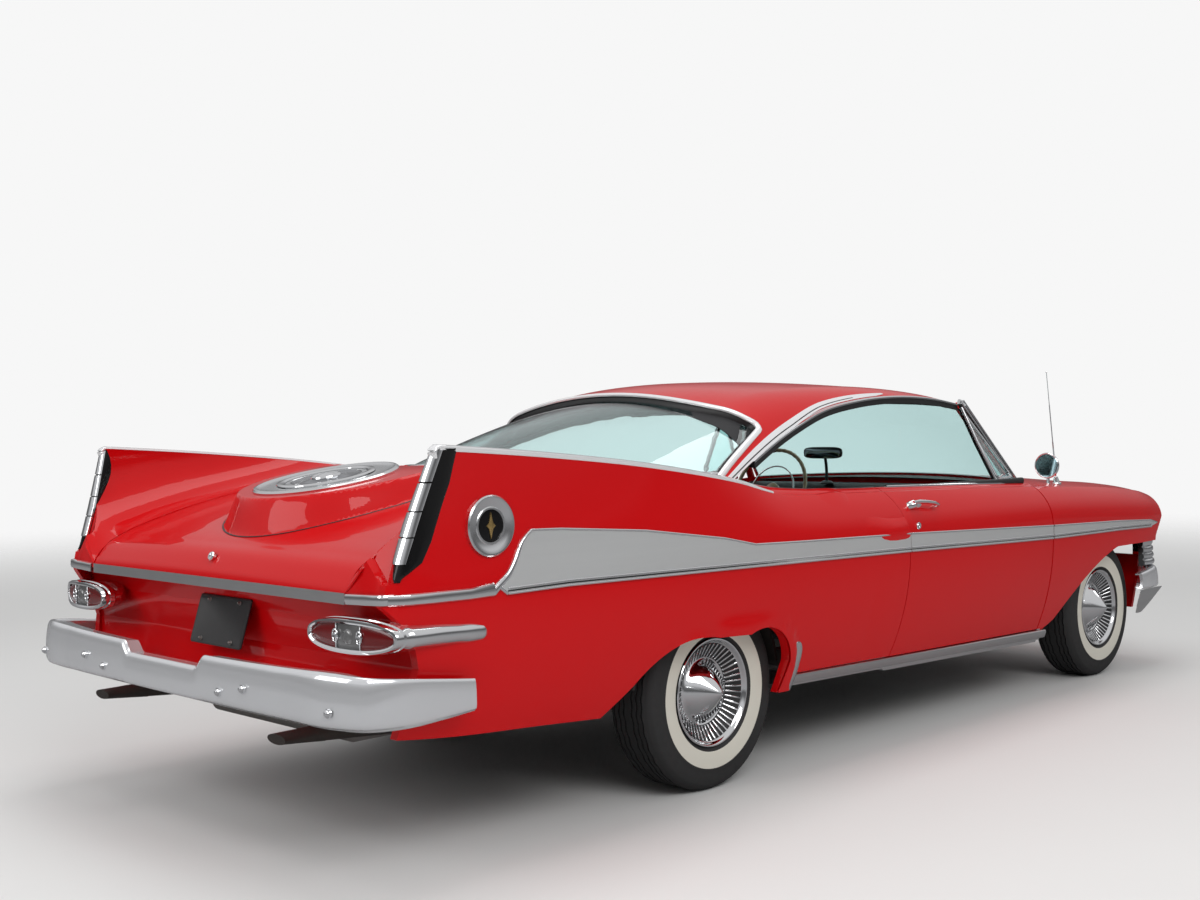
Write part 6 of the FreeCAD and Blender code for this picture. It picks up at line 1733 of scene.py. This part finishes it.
def seats():
    """Front and rear benches in black: pleated cushions and backs on low bases."""
    fall = math.radians(12)
    cushion = [(130, 512), (620, 512), (636, 540), (632, 572), (598, 588), (400, 580), (200, 566), (130, 566)]
    lean = 490 * math.tan(fall)
    back = [(34, 540), (128, 540), (122 - lean * 0.5, 740), (112 - lean, 944), (84 - lean, 972),
            (48 - lean, 968), (24 - lean, 930),
            (30 - lean * 0.5, 740)]
    bench_pad("front_seat_cushion", np.array(cushion, float), 628, 46, (-520, 520, 80, -560, -220),
              (0.05, 0, 1), ((0, 0, 1), 522),
              "car_body", ("front_seat",))
    bench_pad("front_seat_back", np.array(back, float), 624, 46, (-520, 520, 80, 640, 900), (0.98, 0, 0.2),
              ((0.98, 0, 0.2), 60),
              "car_body")
    rear_cushion = [(-800, 462), (-424, 462), (-408, 480), (-412, 548), (-440, 566), (-600, 560), (-760, 548),
                    (-800, 540)]
    lean = 500 * math.tan(math.radians(14))
    rear_back = [(-884, 560), (-790, 560), (-800 - lean * 0.5, 760), (-806 - lean, 918), (-834 - lean, 944),
                 (-868 - lean, 936),
                 (-884 - lean, 900), (-886 - lean * 0.5, 740)]
    bench_pad("rear_seat_cushion", np.array(rear_cushion, float), 578, 44, (-480, 480, 80, 460, 760),
              (0.05, 0, 1), ((0, 0, 1), 472),
              "car_body", ("rear_seat",))
    bench_pad("rear_seat_back", np.array(rear_back, float), 574, 44, (-480, 480, 80, 610, 870),
              (0.97, 0, 0.24), ((0.97, 0, 0.24), -640),
              "car_body")
    risers = []
    for side in (-1, 1):
        risers.append(brick((124, side * 430 - 56, 345), (596, side * 430 + 56, 508), 10))
    risers.append(brick((122, -600, 480), (610, 600, 514), 12))
    piece("front_seat_base", *join(risers), "car_body", BLACK, angle=35)
    piece("rear_seat_base", *brick((-806, -566, 444), (-424, 566, 466), 8), "car_body", BLACK, angle=35)


# ------------------------------------------------------------------ dashboard, wheel and inner panels
def dash_section(x0, y):
    """The dashboard's side outline at y: rolled crash pad, a set-back fascia and a lower lip."""
    pod = math.exp(-((y - 360) / 175) ** 4)
    points = [(x0 - 4, 972), (x0 - 60, 977), (x0 - 104, 968 + 5 * pod), (x0 - 124, 950 + 8 * pod),
              (x0 - 129, 934 + 10 * pod),
              (x0 - 122, 922 + 12 * pod), (x0 - 108, 916 + 12 * pod), (x0 - 98, 900), (x0 - 92, 850),
              (x0 - 88, 828), (x0 - 96, 818),
              (x0 - 94, 806), (x0 - 76, 796), (x0 - 62, 784), (x0 - 4, 784)]
    return [(x, y, z) for x, z in points]


def dash_x(y):
    return 1306 - 44 * (y / 735) ** 2


def dial(centre, radius, ticks):
    """A round instrument facing rearwards: bright bezel, dark face and pale marks."""
    bezel = lathe([(-6, radius), (4, radius + 3), (9, radius), (9, radius - 4), (3, radius - 7),
                   (-6, radius - 7)], centre, (-1, 0, 0), 48)
    face = lathe([(-4, 0), (-4, radius - 6), (1, radius - 6), (2, 0)], centre, (-1, 0, 0), 40)
    marks = []
    for k in range(ticks):
        a = math.radians(-40 + 260 * k / (ticks - 1))
        d = np.array((0, math.cos(a), math.sin(a)))
        marks.append(swept([centre + (-2.5, 0, 0) + d * (radius - 20),
                            centre + (-2.5, 0, 0) + d * (radius - 10)],
                           round_section(1.2, 1.6, 6), (1, 0, 0)))
    needle = swept([centre + np.array((-4.0, 0, 0)), centre + np.array((-4.0, -0.5 * radius, 0.55 * radius))],
                   round_section(1.2, 1.6, 6), (1, 0, 0))
    return bezel, face, join(marks + [needle])


def dashboard():
    """Black padded dashboard with two round dials, a plain radio with knobs and a glove box lid."""
    rings = [dash_section(dash_x(y), y) for y in np.linspace(-732, 732, 90)]
    piece("dash_pad", *lofted(np.array(rings)), "car_body", VINYL, angle=50, hides=("dashboard",))
    rows = []
    for y in np.linspace(-728, 728, 60):
        front = 1490 - 210 * (y / 752) ** 2 - 6
        xs = np.linspace(dash_x(y) - 30, front, 14)
        z = 986 + 20 * (1 - (y / 745) ** 2) + (xs - 1300) / 270 * 4
        rows.append([(a, y, b) for a, b in zip(xs, z)] + [(a, y, b - 4) for a, b in zip(xs[::-1], z[::-1])])
    piece("dash_top", *lofted(np.array(rows)), "car_body", VINYL, angle=60)
    wall = [[(1418 + dx, y, z) for dx,
             z in ((0, 490), (0, 700), (-3, 940), (3, 940), (5, 490))] for y in np.linspace(-684, 684, 20)]
    piece("firewall_lining", *lofted(np.array(wall)), "car_body", CARPET, angle=60)
    bezels, faces, marks = [], [], []
    for y, r in ((272, 52), (448, 52), (360, 30)):
        c = np.array((dash_x(y) - 97, y, 870.0 if r > 40 else 858.0))
        for store, part in zip((bezels, faces, marks), dial(c, r, 11 if r > 40 else 5)):
            store.append(part)
    strip_y = np.linspace(-690, 690, 60)
    strip = np.stack([dash_x(strip_y) - 96, strip_y, np.full(60, 812.0)], 1)
    bezels.append(swept(strip, round_section(7, 4, 10), (-1, 0, 0)))
    for y in (-95, -48, 0, 48, 95):
        bezels.append(brick((dash_x(0) - 108, y - 19, 836), (dash_x(0) - 90, y + 19, 850), 3))
    for y in (-130, 130, 185, -640):
        bezels.append(lathe([(-4, 12), (12, 12), (16, 9), (16, 0), (-4, 0)], (dash_x(y) - 92, y, 862),
                            (-1, 0, 0), 20))
    bezels.append(brick((dash_x(0) - 100, -112, 858), (dash_x(0) - 92, 112, 862), 1.5))
    bezels.append(brick((dash_x(0) - 100, -112, 896), (dash_x(0) - 92, 112, 900), 1.5))
    faces.append(brick((dash_x(0) - 97, -108, 861), (dash_x(0) - 90, 108, 897), 2))
    lid = [(dash_x(-560) - 96, -600, 836), (dash_x(-240) - 97, -240, 836), (dash_x(-240) - 100, -240, 900),
           (dash_x(-560) - 99, -600, 900)]
    bezels.append(swept(lid, round_section(1.4, 1.4, 6), (-1, 0, 0), close=True))
    bezels.append(lathe([(-4, 11), (6, 11), (9, 8), (9, 0), (-4, 0)], (dash_x(-420) - 98, -420, 886),
                        (-1, 0, 0), 20))
    piece("dash_bright", *join(bezels), "car_body", CHROME, angle=35)
    piece("dash_faces", *join(faces), "car_body", BLACK_GLOSS, angle=35)
    piece("dash_marks", *join(marks), "car_body", IVORY, angle=35)
    # mirror standing on the dashboard
    c = np.array((1140.0, 216.0, 1130.0))
    body = lofted(np.array([[(c[0] + dx, c[1] + g * a, c[2] + g * b) for a,
                             b in round_section(118, 30, 28, 4)] for dx, g in
                            ((-6, 0.9), (-5, 0.99), (2, 1.0), (10, 0.93), (16, 0.7), (19, 0.3))]))
    glass = lofted(np.array([[(c[0] + dx, c[1] + g * a, c[2] + g * b) for a,
                              b in round_section(112, 26, 28, 4)] for dx, g in
                             ((-8, 0.92), (-7, 0.98), (-4, 0.99))]))
    stem = swept(curve_through([c + (14, 0, -4), c + (26, 0, -60), c + (30, 0, -120), c + (30, 0, -158)], 14),
                 round_section(8, 8, 10), (0, 1, 0))
    base = lathe([(0, 34), (6, 34), (16, 24), (20, 0), (0, 0)], c + (30, 0, -160), (0, 0, 1), 24)
    piece("dash_mirror", *join([body, stem, base]), "car_body", BLACK, angle=40)
    piece("dash_mirror_face", *glass, "car_body", MIRROR_FACE, angle=40)


def hand_wheel():
    """Ivory rim with finger grips, two bright spokes, a half horn ring and a plain domed button."""
    axis = np.array((-0.92718, 0, 0.37461))
    rise = np.array((0.37461, 0, 0.92718))
    across = np.array((0.0, 1.0, 0.0))
    c = np.array((880.0, 360.0, 950.0))
    at = lambda r, a, h=0.0: c + (across * math.cos(a) + rise * math.sin(a)) * r + axis * h
    n = 144
    angles = np.arange(n) * 2 * math.pi / n
    rim = swept([at(212, a) for a in angles],
                np.array([round_section(9.6 + 0.8 * math.cos(36 * a), 9.6 + 0.8 * math.cos(36 * a),
                                        14) for a in angles]), axis, close=True)
    spokes = []
    for side in (0.0, math.pi):
        path = [at(20, side, -26), at(90, side - 0.06 * math.cos(side), -22),
                at(160, side - 0.1 * math.cos(side), -12), at(208, side - 0.12 * math.cos(side), -2)]
        spokes.append(swept(curve_through(path, 14),
                            np.array([round_section(w, 4.5, 12) for w in np.linspace(16, 8, 14)]), axis))
    ring = [at(131, a, -16) for a in np.linspace(math.pi * 0.98, math.pi * 2.02, 60)]
    spokes.append(swept(ring, round_section(4.5, 4.5, 10), axis))
    ring = [at(131, a, -16) for a in np.linspace(-0.06, math.pi + 0.06, 60)]
    spokes.append(swept(ring, round_section(4.0, 4.0, 10), axis))
    hub = lathe([(-52, 30), (-30, 40), (-14, 42), (-8, 38), (-6, 30), (-2, 16), (0, 0), (-52, 0)], c, axis,
                40)
    piece("hand_wheel_rim", *rim, "hand_wheel", IVORY, angle=60, hides=("steering_wheel",))
    piece("hand_wheel_spokes", *join(spokes), "hand_wheel", CHROME, angle=50)
    piece("hand_wheel_hub", *hub, "hand_wheel", IVORY, angle=35)


def inner_panels():
    """Black door and rear side panels with pleats, armrests and handles; carpet, headliner and rear shelf edge."""
    zs = np.array([352, 450, 600, 800, 905, 960, 985], float)
    ys = np.array([802, 838, 866, 873, 863, 851, 846], float)
    levels = np.linspace(356, 982, 60)
    inner = np.interp(levels, zs, ys)
    xs = np.linspace(-6, 1196, 150)
    pleat = 2.2 * np.abs(np.sin((xs - 10) * math.pi / 46))
    rings = []
    for x, p in zip(xs, pleat):
        w = np.clip((levels - 520) / 20, 0, 1) * np.clip((800 - levels) / 20, 0, 1)
        edge = 6 * np.clip(1 - np.minimum((x + 6), (1196 - x)) / 14, 0, 1) ** 2
        y = inner - 5 - p * w + edge
        ring = [(x, a, z) for a,
                z in zip(y, levels)] + [(x, a + 4 + edge, z) for a, z in zip(inner[::-1], levels[::-1])]
        rings.append(ring)
    panel = lofted(np.array(rings))
    rest = lofted(np.array([[(x, 866 - g * a, 668 + g * b) for a,
                             b in ((0, -26), (30, -24), (52, -10), (56, 8), (46, 20), (0, 22))]
                            for x, g in ((330, 0.5), (342, 0.9), (370, 1), (640, 1), (668, 0.9),
                                         (680, 0.5))]))
    cap = swept(np.array([(x, 852, 1001) for x in np.linspace(4, 1190, 30)]), round_section(14, 15, 14, 3),
                (0, 0, 1))
    rim_x = np.linspace(-46, -890, 50)
    rim = side_point(QUARTER, rim_x, np.full(50, 4.0))
    quarter_cap = swept(rim + (0, -12, -13), round_section(14, 17, 14, 3), (0, 0, 1))
    crank, knob_parts = [], []
    for x in (760, 240):
        boss = lathe([(0, 17), (12, 15), (16, 9), (16, 0), (0, 0)], (x, 868, 740), (0, -1, 0), 20)
        arm = swept([(x, 853, 740), (x - 40, 850, 716), (x - 78, 848, 700)],
                    np.array([round_section(w, 4, 10) for w in (9, 7, 6)]), (0, -1, 0))
        knob_parts.append(lathe([(0, 5), (10, 9), (24, 11), (30, 7), (31, 0), (0, 0)], (x - 76, 850, 701),
                                (0, -1, 0), 20))
        crank += [boss, arm]
    strips = [swept(np.array([(x, np.interp(z, zs, ys) - 6, z) for x in np.linspace(12, 1180, 30)]),
                    round_section(4, 3, 8), (0, -1, 0))
              for z in (508, 812)]
    side_x = np.linspace(-884, -46, 60)
    wheel_top = 660.0
    side_rings = []
    for x in side_x:
        low = 450 if x > -380 else wheel_top
        z = np.linspace(low, 962, 30)
        y = np.interp(z, (450, 600, 800, 900, 962), (925, 928, 905, 872, 846)) - 6
        y = np.where(z < 800, np.minimum(y, 905), y)
        side_rings.append([(x, a, b) for a,
                           b in zip(y, z)] + [(x, a + 4, b) for a, b in zip(y[::-1], z[::-1])])
    quarter_panel = lofted(np.array(side_rings))
    for label, mirror in SIDES:
        f = flipped if mirror else (lambda part: part)
        piece("door_panel_" + label, *f(panel), "door_" + label, VINYL, angle=60)
        piece("door_armrest_" + label, *f(join([rest, cap])), "door_" + label, VINYL, angle=50)
        piece("door_crank_" + label, *f(join(crank + strips)), "door_" + label, CHROME, angle=40)
        piece("door_knobs_" + label, *f(join(knob_parts)), "door_" + label, IVORY, angle=40)
        piece("rear_side_panel_" + label, *f(join([quarter_panel, quarter_cap])), "car_body", VINYL, angle=50)
    # dark shelf inside the rear glass, with a board down behind the seat
    rows = []
    for y in np.linspace(-786, 786, 60):
        xs = np.linspace(-884, -1480 + 630 * (y / 808) ** 2 + 16, 16)
        crown = np.interp(-xs, (884, 900, 1100, 1400), (1077, 1078, 1110, 1140))
        edge = np.interp(-xs, (884, 900, 1100, 1400), (1077, 1078, 1092, 1108))
        z = crown + (edge - crown) * (y / 830) ** 2 + 3
        rows.append([(-884, y, 966)] + [(a, y, b) for a,
                                        b in zip(xs, z)] + [(a, y, b - 2.5) for a,
                                                            b in zip(xs[::-1], z[::-1])]
                    + [(-888, y, 966)])
    piece("rear_shelf", *lofted(np.array(rows)), "car_body", CARPET, angle=50)
    # carpet on the floor between the seats, over the tunnel
    rows = []
    for x, z in ((1262, 356), (1100, 351), (900, 350), (700, 349), (400, 348), (100, 346), (-200, 345),
                 (-392, 344)):
        ring = []
        for y in np.linspace(-730, 730, 81):
            hump = 128 * np.interp(x, (-392, 100, 700, 1262),
                                   (0.66, 0.75, 0.9, 1.0)) * np.clip(1.6 - abs(y) / 88, 0, 1) ** 0.8
            ring.append((x, y, z + hump + 9))
        rows.append(ring + [(p[0], p[1], p[2] - 5) for p in ring[::-1]])
    piece("carpet_front", *lofted(np.array(rows)), "car_body", CARPET, angle=60)
    x = np.linspace(-720, 930, 60)
    t = np.linspace(-1.82, 1.82, 90)
    gx, gt = np.meshgrid(x, t, indexing="ij")
    p = roof_point(gx.ravel(), gt.ravel())
    n = normals_of(roof_point, gx.ravel(), gt.ravel(), 3.0, 0.01)
    low = (p - n * 30).reshape(60, 90, 3)
    high = (p - n * 27).reshape(60, 90, 3)
    rings = np.concatenate([low, high[:, ::-1]], axis=1)
    piece("headliner", *lofted(rings), "car_body", LINER, angle=60)


# ------------------------------------------------------------------ small outside pieces
def small_outside():
    """Round fender mirror with its tinted face, and the aerial with its stepped base."""
    c = np.array((1502.0, -825.0, 1062.0))
    shell = lathe([(8, 0), (8, 55), (10, 58), (8, 61), (2, 62), (-9, 54), (-19, 38), (-26, 16), (-28, 0)], c,
                  (-1, 0, 0), 48)
    face = lathe([(7, 0), (9.5, 0), (9.5, 54), (7, 54)], c, (-1, 0, 0), 48)
    stem = swept([(1508, -825, 966), (1508, -825, 992), (1512, -825, 1010), (1514, -825, 1020)],
                 np.array([round_section(w, w, 12) for w in (10, 7, 7, 9)]), (0, 1, 0))
    foot_z = side_point(FENDER, [1508.0], s_at(FENDER, [1508.0], [973.0]))[0][2]
    foot = lathe([(-8, 30), (2, 30), (7, 22), (12, 12), (14, 0), (-8, 0)], (1508, -825, foot_z - 2),
                 (0, 0, 1), 32)
    piece("fender_mirror", *join([shell, stem, foot]), "car_body", CHROME, angle=35, hides=("mirror",))
    piece("fender_mirror_face", *face, "car_body", MIRROR_FACE, angle=35)
    low, high = box("antenna")
    bottom = np.array((high[0] / MM - 2, -828.0, low[2] / MM))
    top = np.array((low[0] / MM + 3, -828.0, high[2] / MM))
    way = (top - bottom) / np.linalg.norm(top - bottom)
    mast = [swept([bottom + way * a, bottom + way * b], round_section(r, r, 10), (0, 1, 0)) for a, b,
            r in ((10, 205, 3.2), (200, 385, 2.4), (380, 545, 1.6))]
    ball = lathe([(0, 0), (1, 3), (4, 4), (7, 3), (8, 0)], bottom + way * 541, way, 14)
    base = lathe([(-6, 22), (4, 22), (8, 16), (26, 11), (34, 9), (36, 5), (40, 0), (-6, 0)], bottom, way, 28)
    piece("aerial", *join(mast + [ball, base]), "car_body", CHROME, angle=35, hides=("antenna",))


# ------------------------------------------------------------------ nose
def nose():
    """Sealed-beam headlamps with fluted lenses in bright rims."""
    beams, rims, reflect = [], [], []
    for y in (600, 768):
        c = np.array((2524.0, y, 716.0))
        beams.append(lathe([(14, 0), (14, 68), (17, 69), (21, 64), (26, 46), (29, 24), (30, 0)], c, (1, 0, 0),
                           48))
        rims.append(lathe([(2, 66), (2, 74), (14, 75), (22, 73), (24, 69), (21, 66)], c, (1, 0, 0), 48))
        reflect.append(lathe([(0, 0), (0, 70), (8, 72), (12, 68), (4, 30), (3, 0)], c, (1, 0, 0), 40))
    ribs = []
    for y in (600, 768):
        for k in range(-6, 7):
            half = math.sqrt(max(0.0, 58 ** 2 - (k * 9) ** 2))
            if half > 6:
                bulge = lambda z: 2524 + 30 - 9 * ((k * 9) ** 2 + z * z) / 64 ** 2
                ribs.append(swept([(bulge(z) - 1.2, y + k * 9, 716 + z) for z in np.linspace(-half, half, 9)],
                                  round_section(2.2, 1.6, 6), (1, 0, 0)))
    f = pair
    piece("headlamp_lenses", *f(join(beams + ribs)), "car_body", LAMP_GLASS, angle=35, hides=("headlamps",))
    piece("headlamp_reflectors", *f(join(reflect)), "car_body", CHROME, angle=40)
    piece("headlamp_rims", *f(join(rims)), "car_body", CHROME, angle=35)

spear("quarter_spear", QUARTER, "car_body", -2136, 22, ())
spear("fender_spear", FENDER, "car_body", 1252, 2508, ())
spear("door_spear", DOOR, "door_%s", 27, 1247, ("door_spear_*",))
belt_strips()
fin_trims()
medallions()
hump_disc()
bumpers()
tail_lamps()
plate_and_lock()
roof_trims()
glass_trims()
door_trims()
sill_trims()
small_outside()
nose()
inner_panels()
dashboard()
hand_wheel()
seats()
wheels()


# ------------------------------------------------------------------ stage, light and camera
def stage_piece():
    n = 64
    rows = []
    for i in range(n):
        t = i / (n - 1)
        rows.append([(-60 + 120 * t, -60 + 120 * j / (n - 1), 0.0) for j in range(n)])
    verts = [p for row in rows for p in row]
    mesh = bpy.data.meshes.new("floor")
    mesh.from_pydata(verts, [], grid_faces(n, n))
    floor = link("floor", mesh)
    m = finish_material("floor_grey", (0.78, 0.78, 0.77), (0.7, 0.7, 0.69), 0.3, (0.5, 0.5, 0.5),
                        roughness=0.75,
                        spread=0.1, relief=0.05, specular=0.2)
    t = m.node_tree
    shader, out = t.nodes["Principled BSDF"], t.nodes["Material Output"]
    where = t.nodes.new("ShaderNodeTexCoord")
    length = t.nodes.new("ShaderNodeVectorMath")
    length.operation = "LENGTH"
    t.links.new(where.outputs["Object"], length.inputs[0])
    away = node(t, "ShaderNodeMapRange")
    for key, value in (("From Min", 5.0), ("From Max", 16.0), ("To Min", 1.0), ("To Max", 0.0)):
        away.inputs[key].default_value = value
    away.interpolation_type = "SMOOTHSTEP"
    t.links.new(length.outputs["Value"], away.inputs["Value"])
    t.links.new(away.outputs[0], shader.inputs["Alpha"])
    # painted shade in reflections: glossy rays see the floor as a darker grey diffuse than the camera sees
    path = t.nodes.new("ShaderNodeLightPath")
    dark = node(t, "ShaderNodeBsdfDiffuse")
    dark.inputs["Color"].default_value = (0.30, 0.30, 0.305, 1)
    mix = t.nodes.new("ShaderNodeMixShader")
    mirrored_only = t.nodes.new("ShaderNodeMath")
    mirrored_only.operation = "SUBTRACT"
    mirrored_only.use_clamp = True
    t.links.new(path.outputs["Is Glossy Ray"], mirrored_only.inputs[0])
    t.links.new(path.outputs["Is Transmission Ray"], mirrored_only.inputs[1])
    t.links.new(mirrored_only.outputs[0], mix.inputs[0])
    t.links.new(shader.outputs[0], mix.inputs[1])
    t.links.new(dark.outputs[0], mix.inputs[2])
    t.links.new(mix.outputs[0], out.inputs["Surface"])
    floor.data.materials.append(m)


def world():
    w = bpy.data.worlds.new("studio")
    bpy.context.scene.world = w
    w.use_nodes = True
    t = w.node_tree
    shade = t.nodes["Background"]
    where = t.nodes.new("ShaderNodeTexCoord")
    parts = t.nodes.new("ShaderNodeSeparateXYZ")
    ramp = t.nodes.new("ShaderNodeValToRGB")
    t.links.new(where.outputs["Generated"], parts.inputs[0])
    t.links.new(parts.outputs["Z"], ramp.inputs["Fac"])
    stops = ramp.color_ramp.elements
    stops[0].position, stops[0].color = 0.0, (0.3, 0.3, 0.31, 1)
    stops[1].position, stops[1].color = 1.0, (1.0, 1.0, 1.0, 1)
    for at, value in ((0.03, 0.16), (0.16, 0.24), (0.34, 0.9)):
        e = stops.new(at)
        e.color = (value, value, value * 1.02, 1)
    path = t.nodes.new("ShaderNodeLightPath")
    plain = node(t, "ShaderNodeBackground", Strength=1.0)
    plain.inputs["Color"].default_value = (0.93, 0.93, 0.93, 1)
    t.links.new(ramp.outputs["Color"], shade.inputs["Color"])
    shade.inputs["Strength"].default_value = 0.62
    mix = t.nodes.new("ShaderNodeMixShader")
    seen = t.nodes.new("ShaderNodeMath")
    seen.operation = "MAXIMUM"
    t.links.new(path.outputs["Is Camera Ray"], seen.inputs[0])
    t.links.new(path.outputs["Is Transmission Ray"], seen.inputs[1])
    t.links.new(seen.outputs[0], mix.inputs[0])
    t.links.new(shade.outputs[0], mix.inputs[1])
    t.links.new(plain.outputs[0], mix.inputs[2])
    t.links.new(mix.outputs[0], t.nodes["World Output"].inputs["Surface"])


def lamp(name, place, target, size, power):
    data = bpy.data.lights.new(name, "AREA")
    data.shape = "RECTANGLE"
    data.size, data.size_y = size
    data.energy = power
    obj = bpy.data.objects.new(name, data)
    bpy.context.scene.collection.objects.link(obj)
    way = Vector(target) - Vector(place)
    obj.matrix_world = Matrix.Translation(place) @ way.to_track_quat("-Z", "Y").to_matrix().to_4x4()
    return obj


def camera():
    data = bpy.data.cameras.new("camera")
    data.lens = 41.864
    data.sensor_width = 36.0
    data.clip_end = 300
    cam = bpy.data.objects.new("camera", data)
    bpy.context.scene.collection.objects.link(cam)
    az, el, roll = math.radians(-45.665), math.radians(0.708), math.radians(-0.798)
    back = Vector((math.sin(az) * math.cos(el), -math.cos(az) * math.cos(el), math.sin(el)))
    right = (-back).cross(Vector((0, 0, 1))).normalized()
    up = right.cross(-back)
    right, up = math.cos(roll) * right + math.sin(roll) * up, math.cos(roll) * up - math.sin(roll) * right
    turn = Matrix((right, up, back)).transposed().to_4x4()
    cam.matrix_world = Matrix.Translation((-4.7678, -3.9602, 1.2484)) @ turn
    bpy.context.scene.camera = cam


stage_piece()
world()
lamp("key", (-3.5, -6.5, 5.5), (0, 0, 0.6), (6, 3), 230)
lamp("fill", (-8, 1.5, 4.0), (-1, 0, 0.7), (4, 3), 110)
lamp("top", (0, 0, 7.5), (0, 0, 0), (7, 3), 150)
camera()
bpy.context.scene.view_settings.view_transform = "Standard"
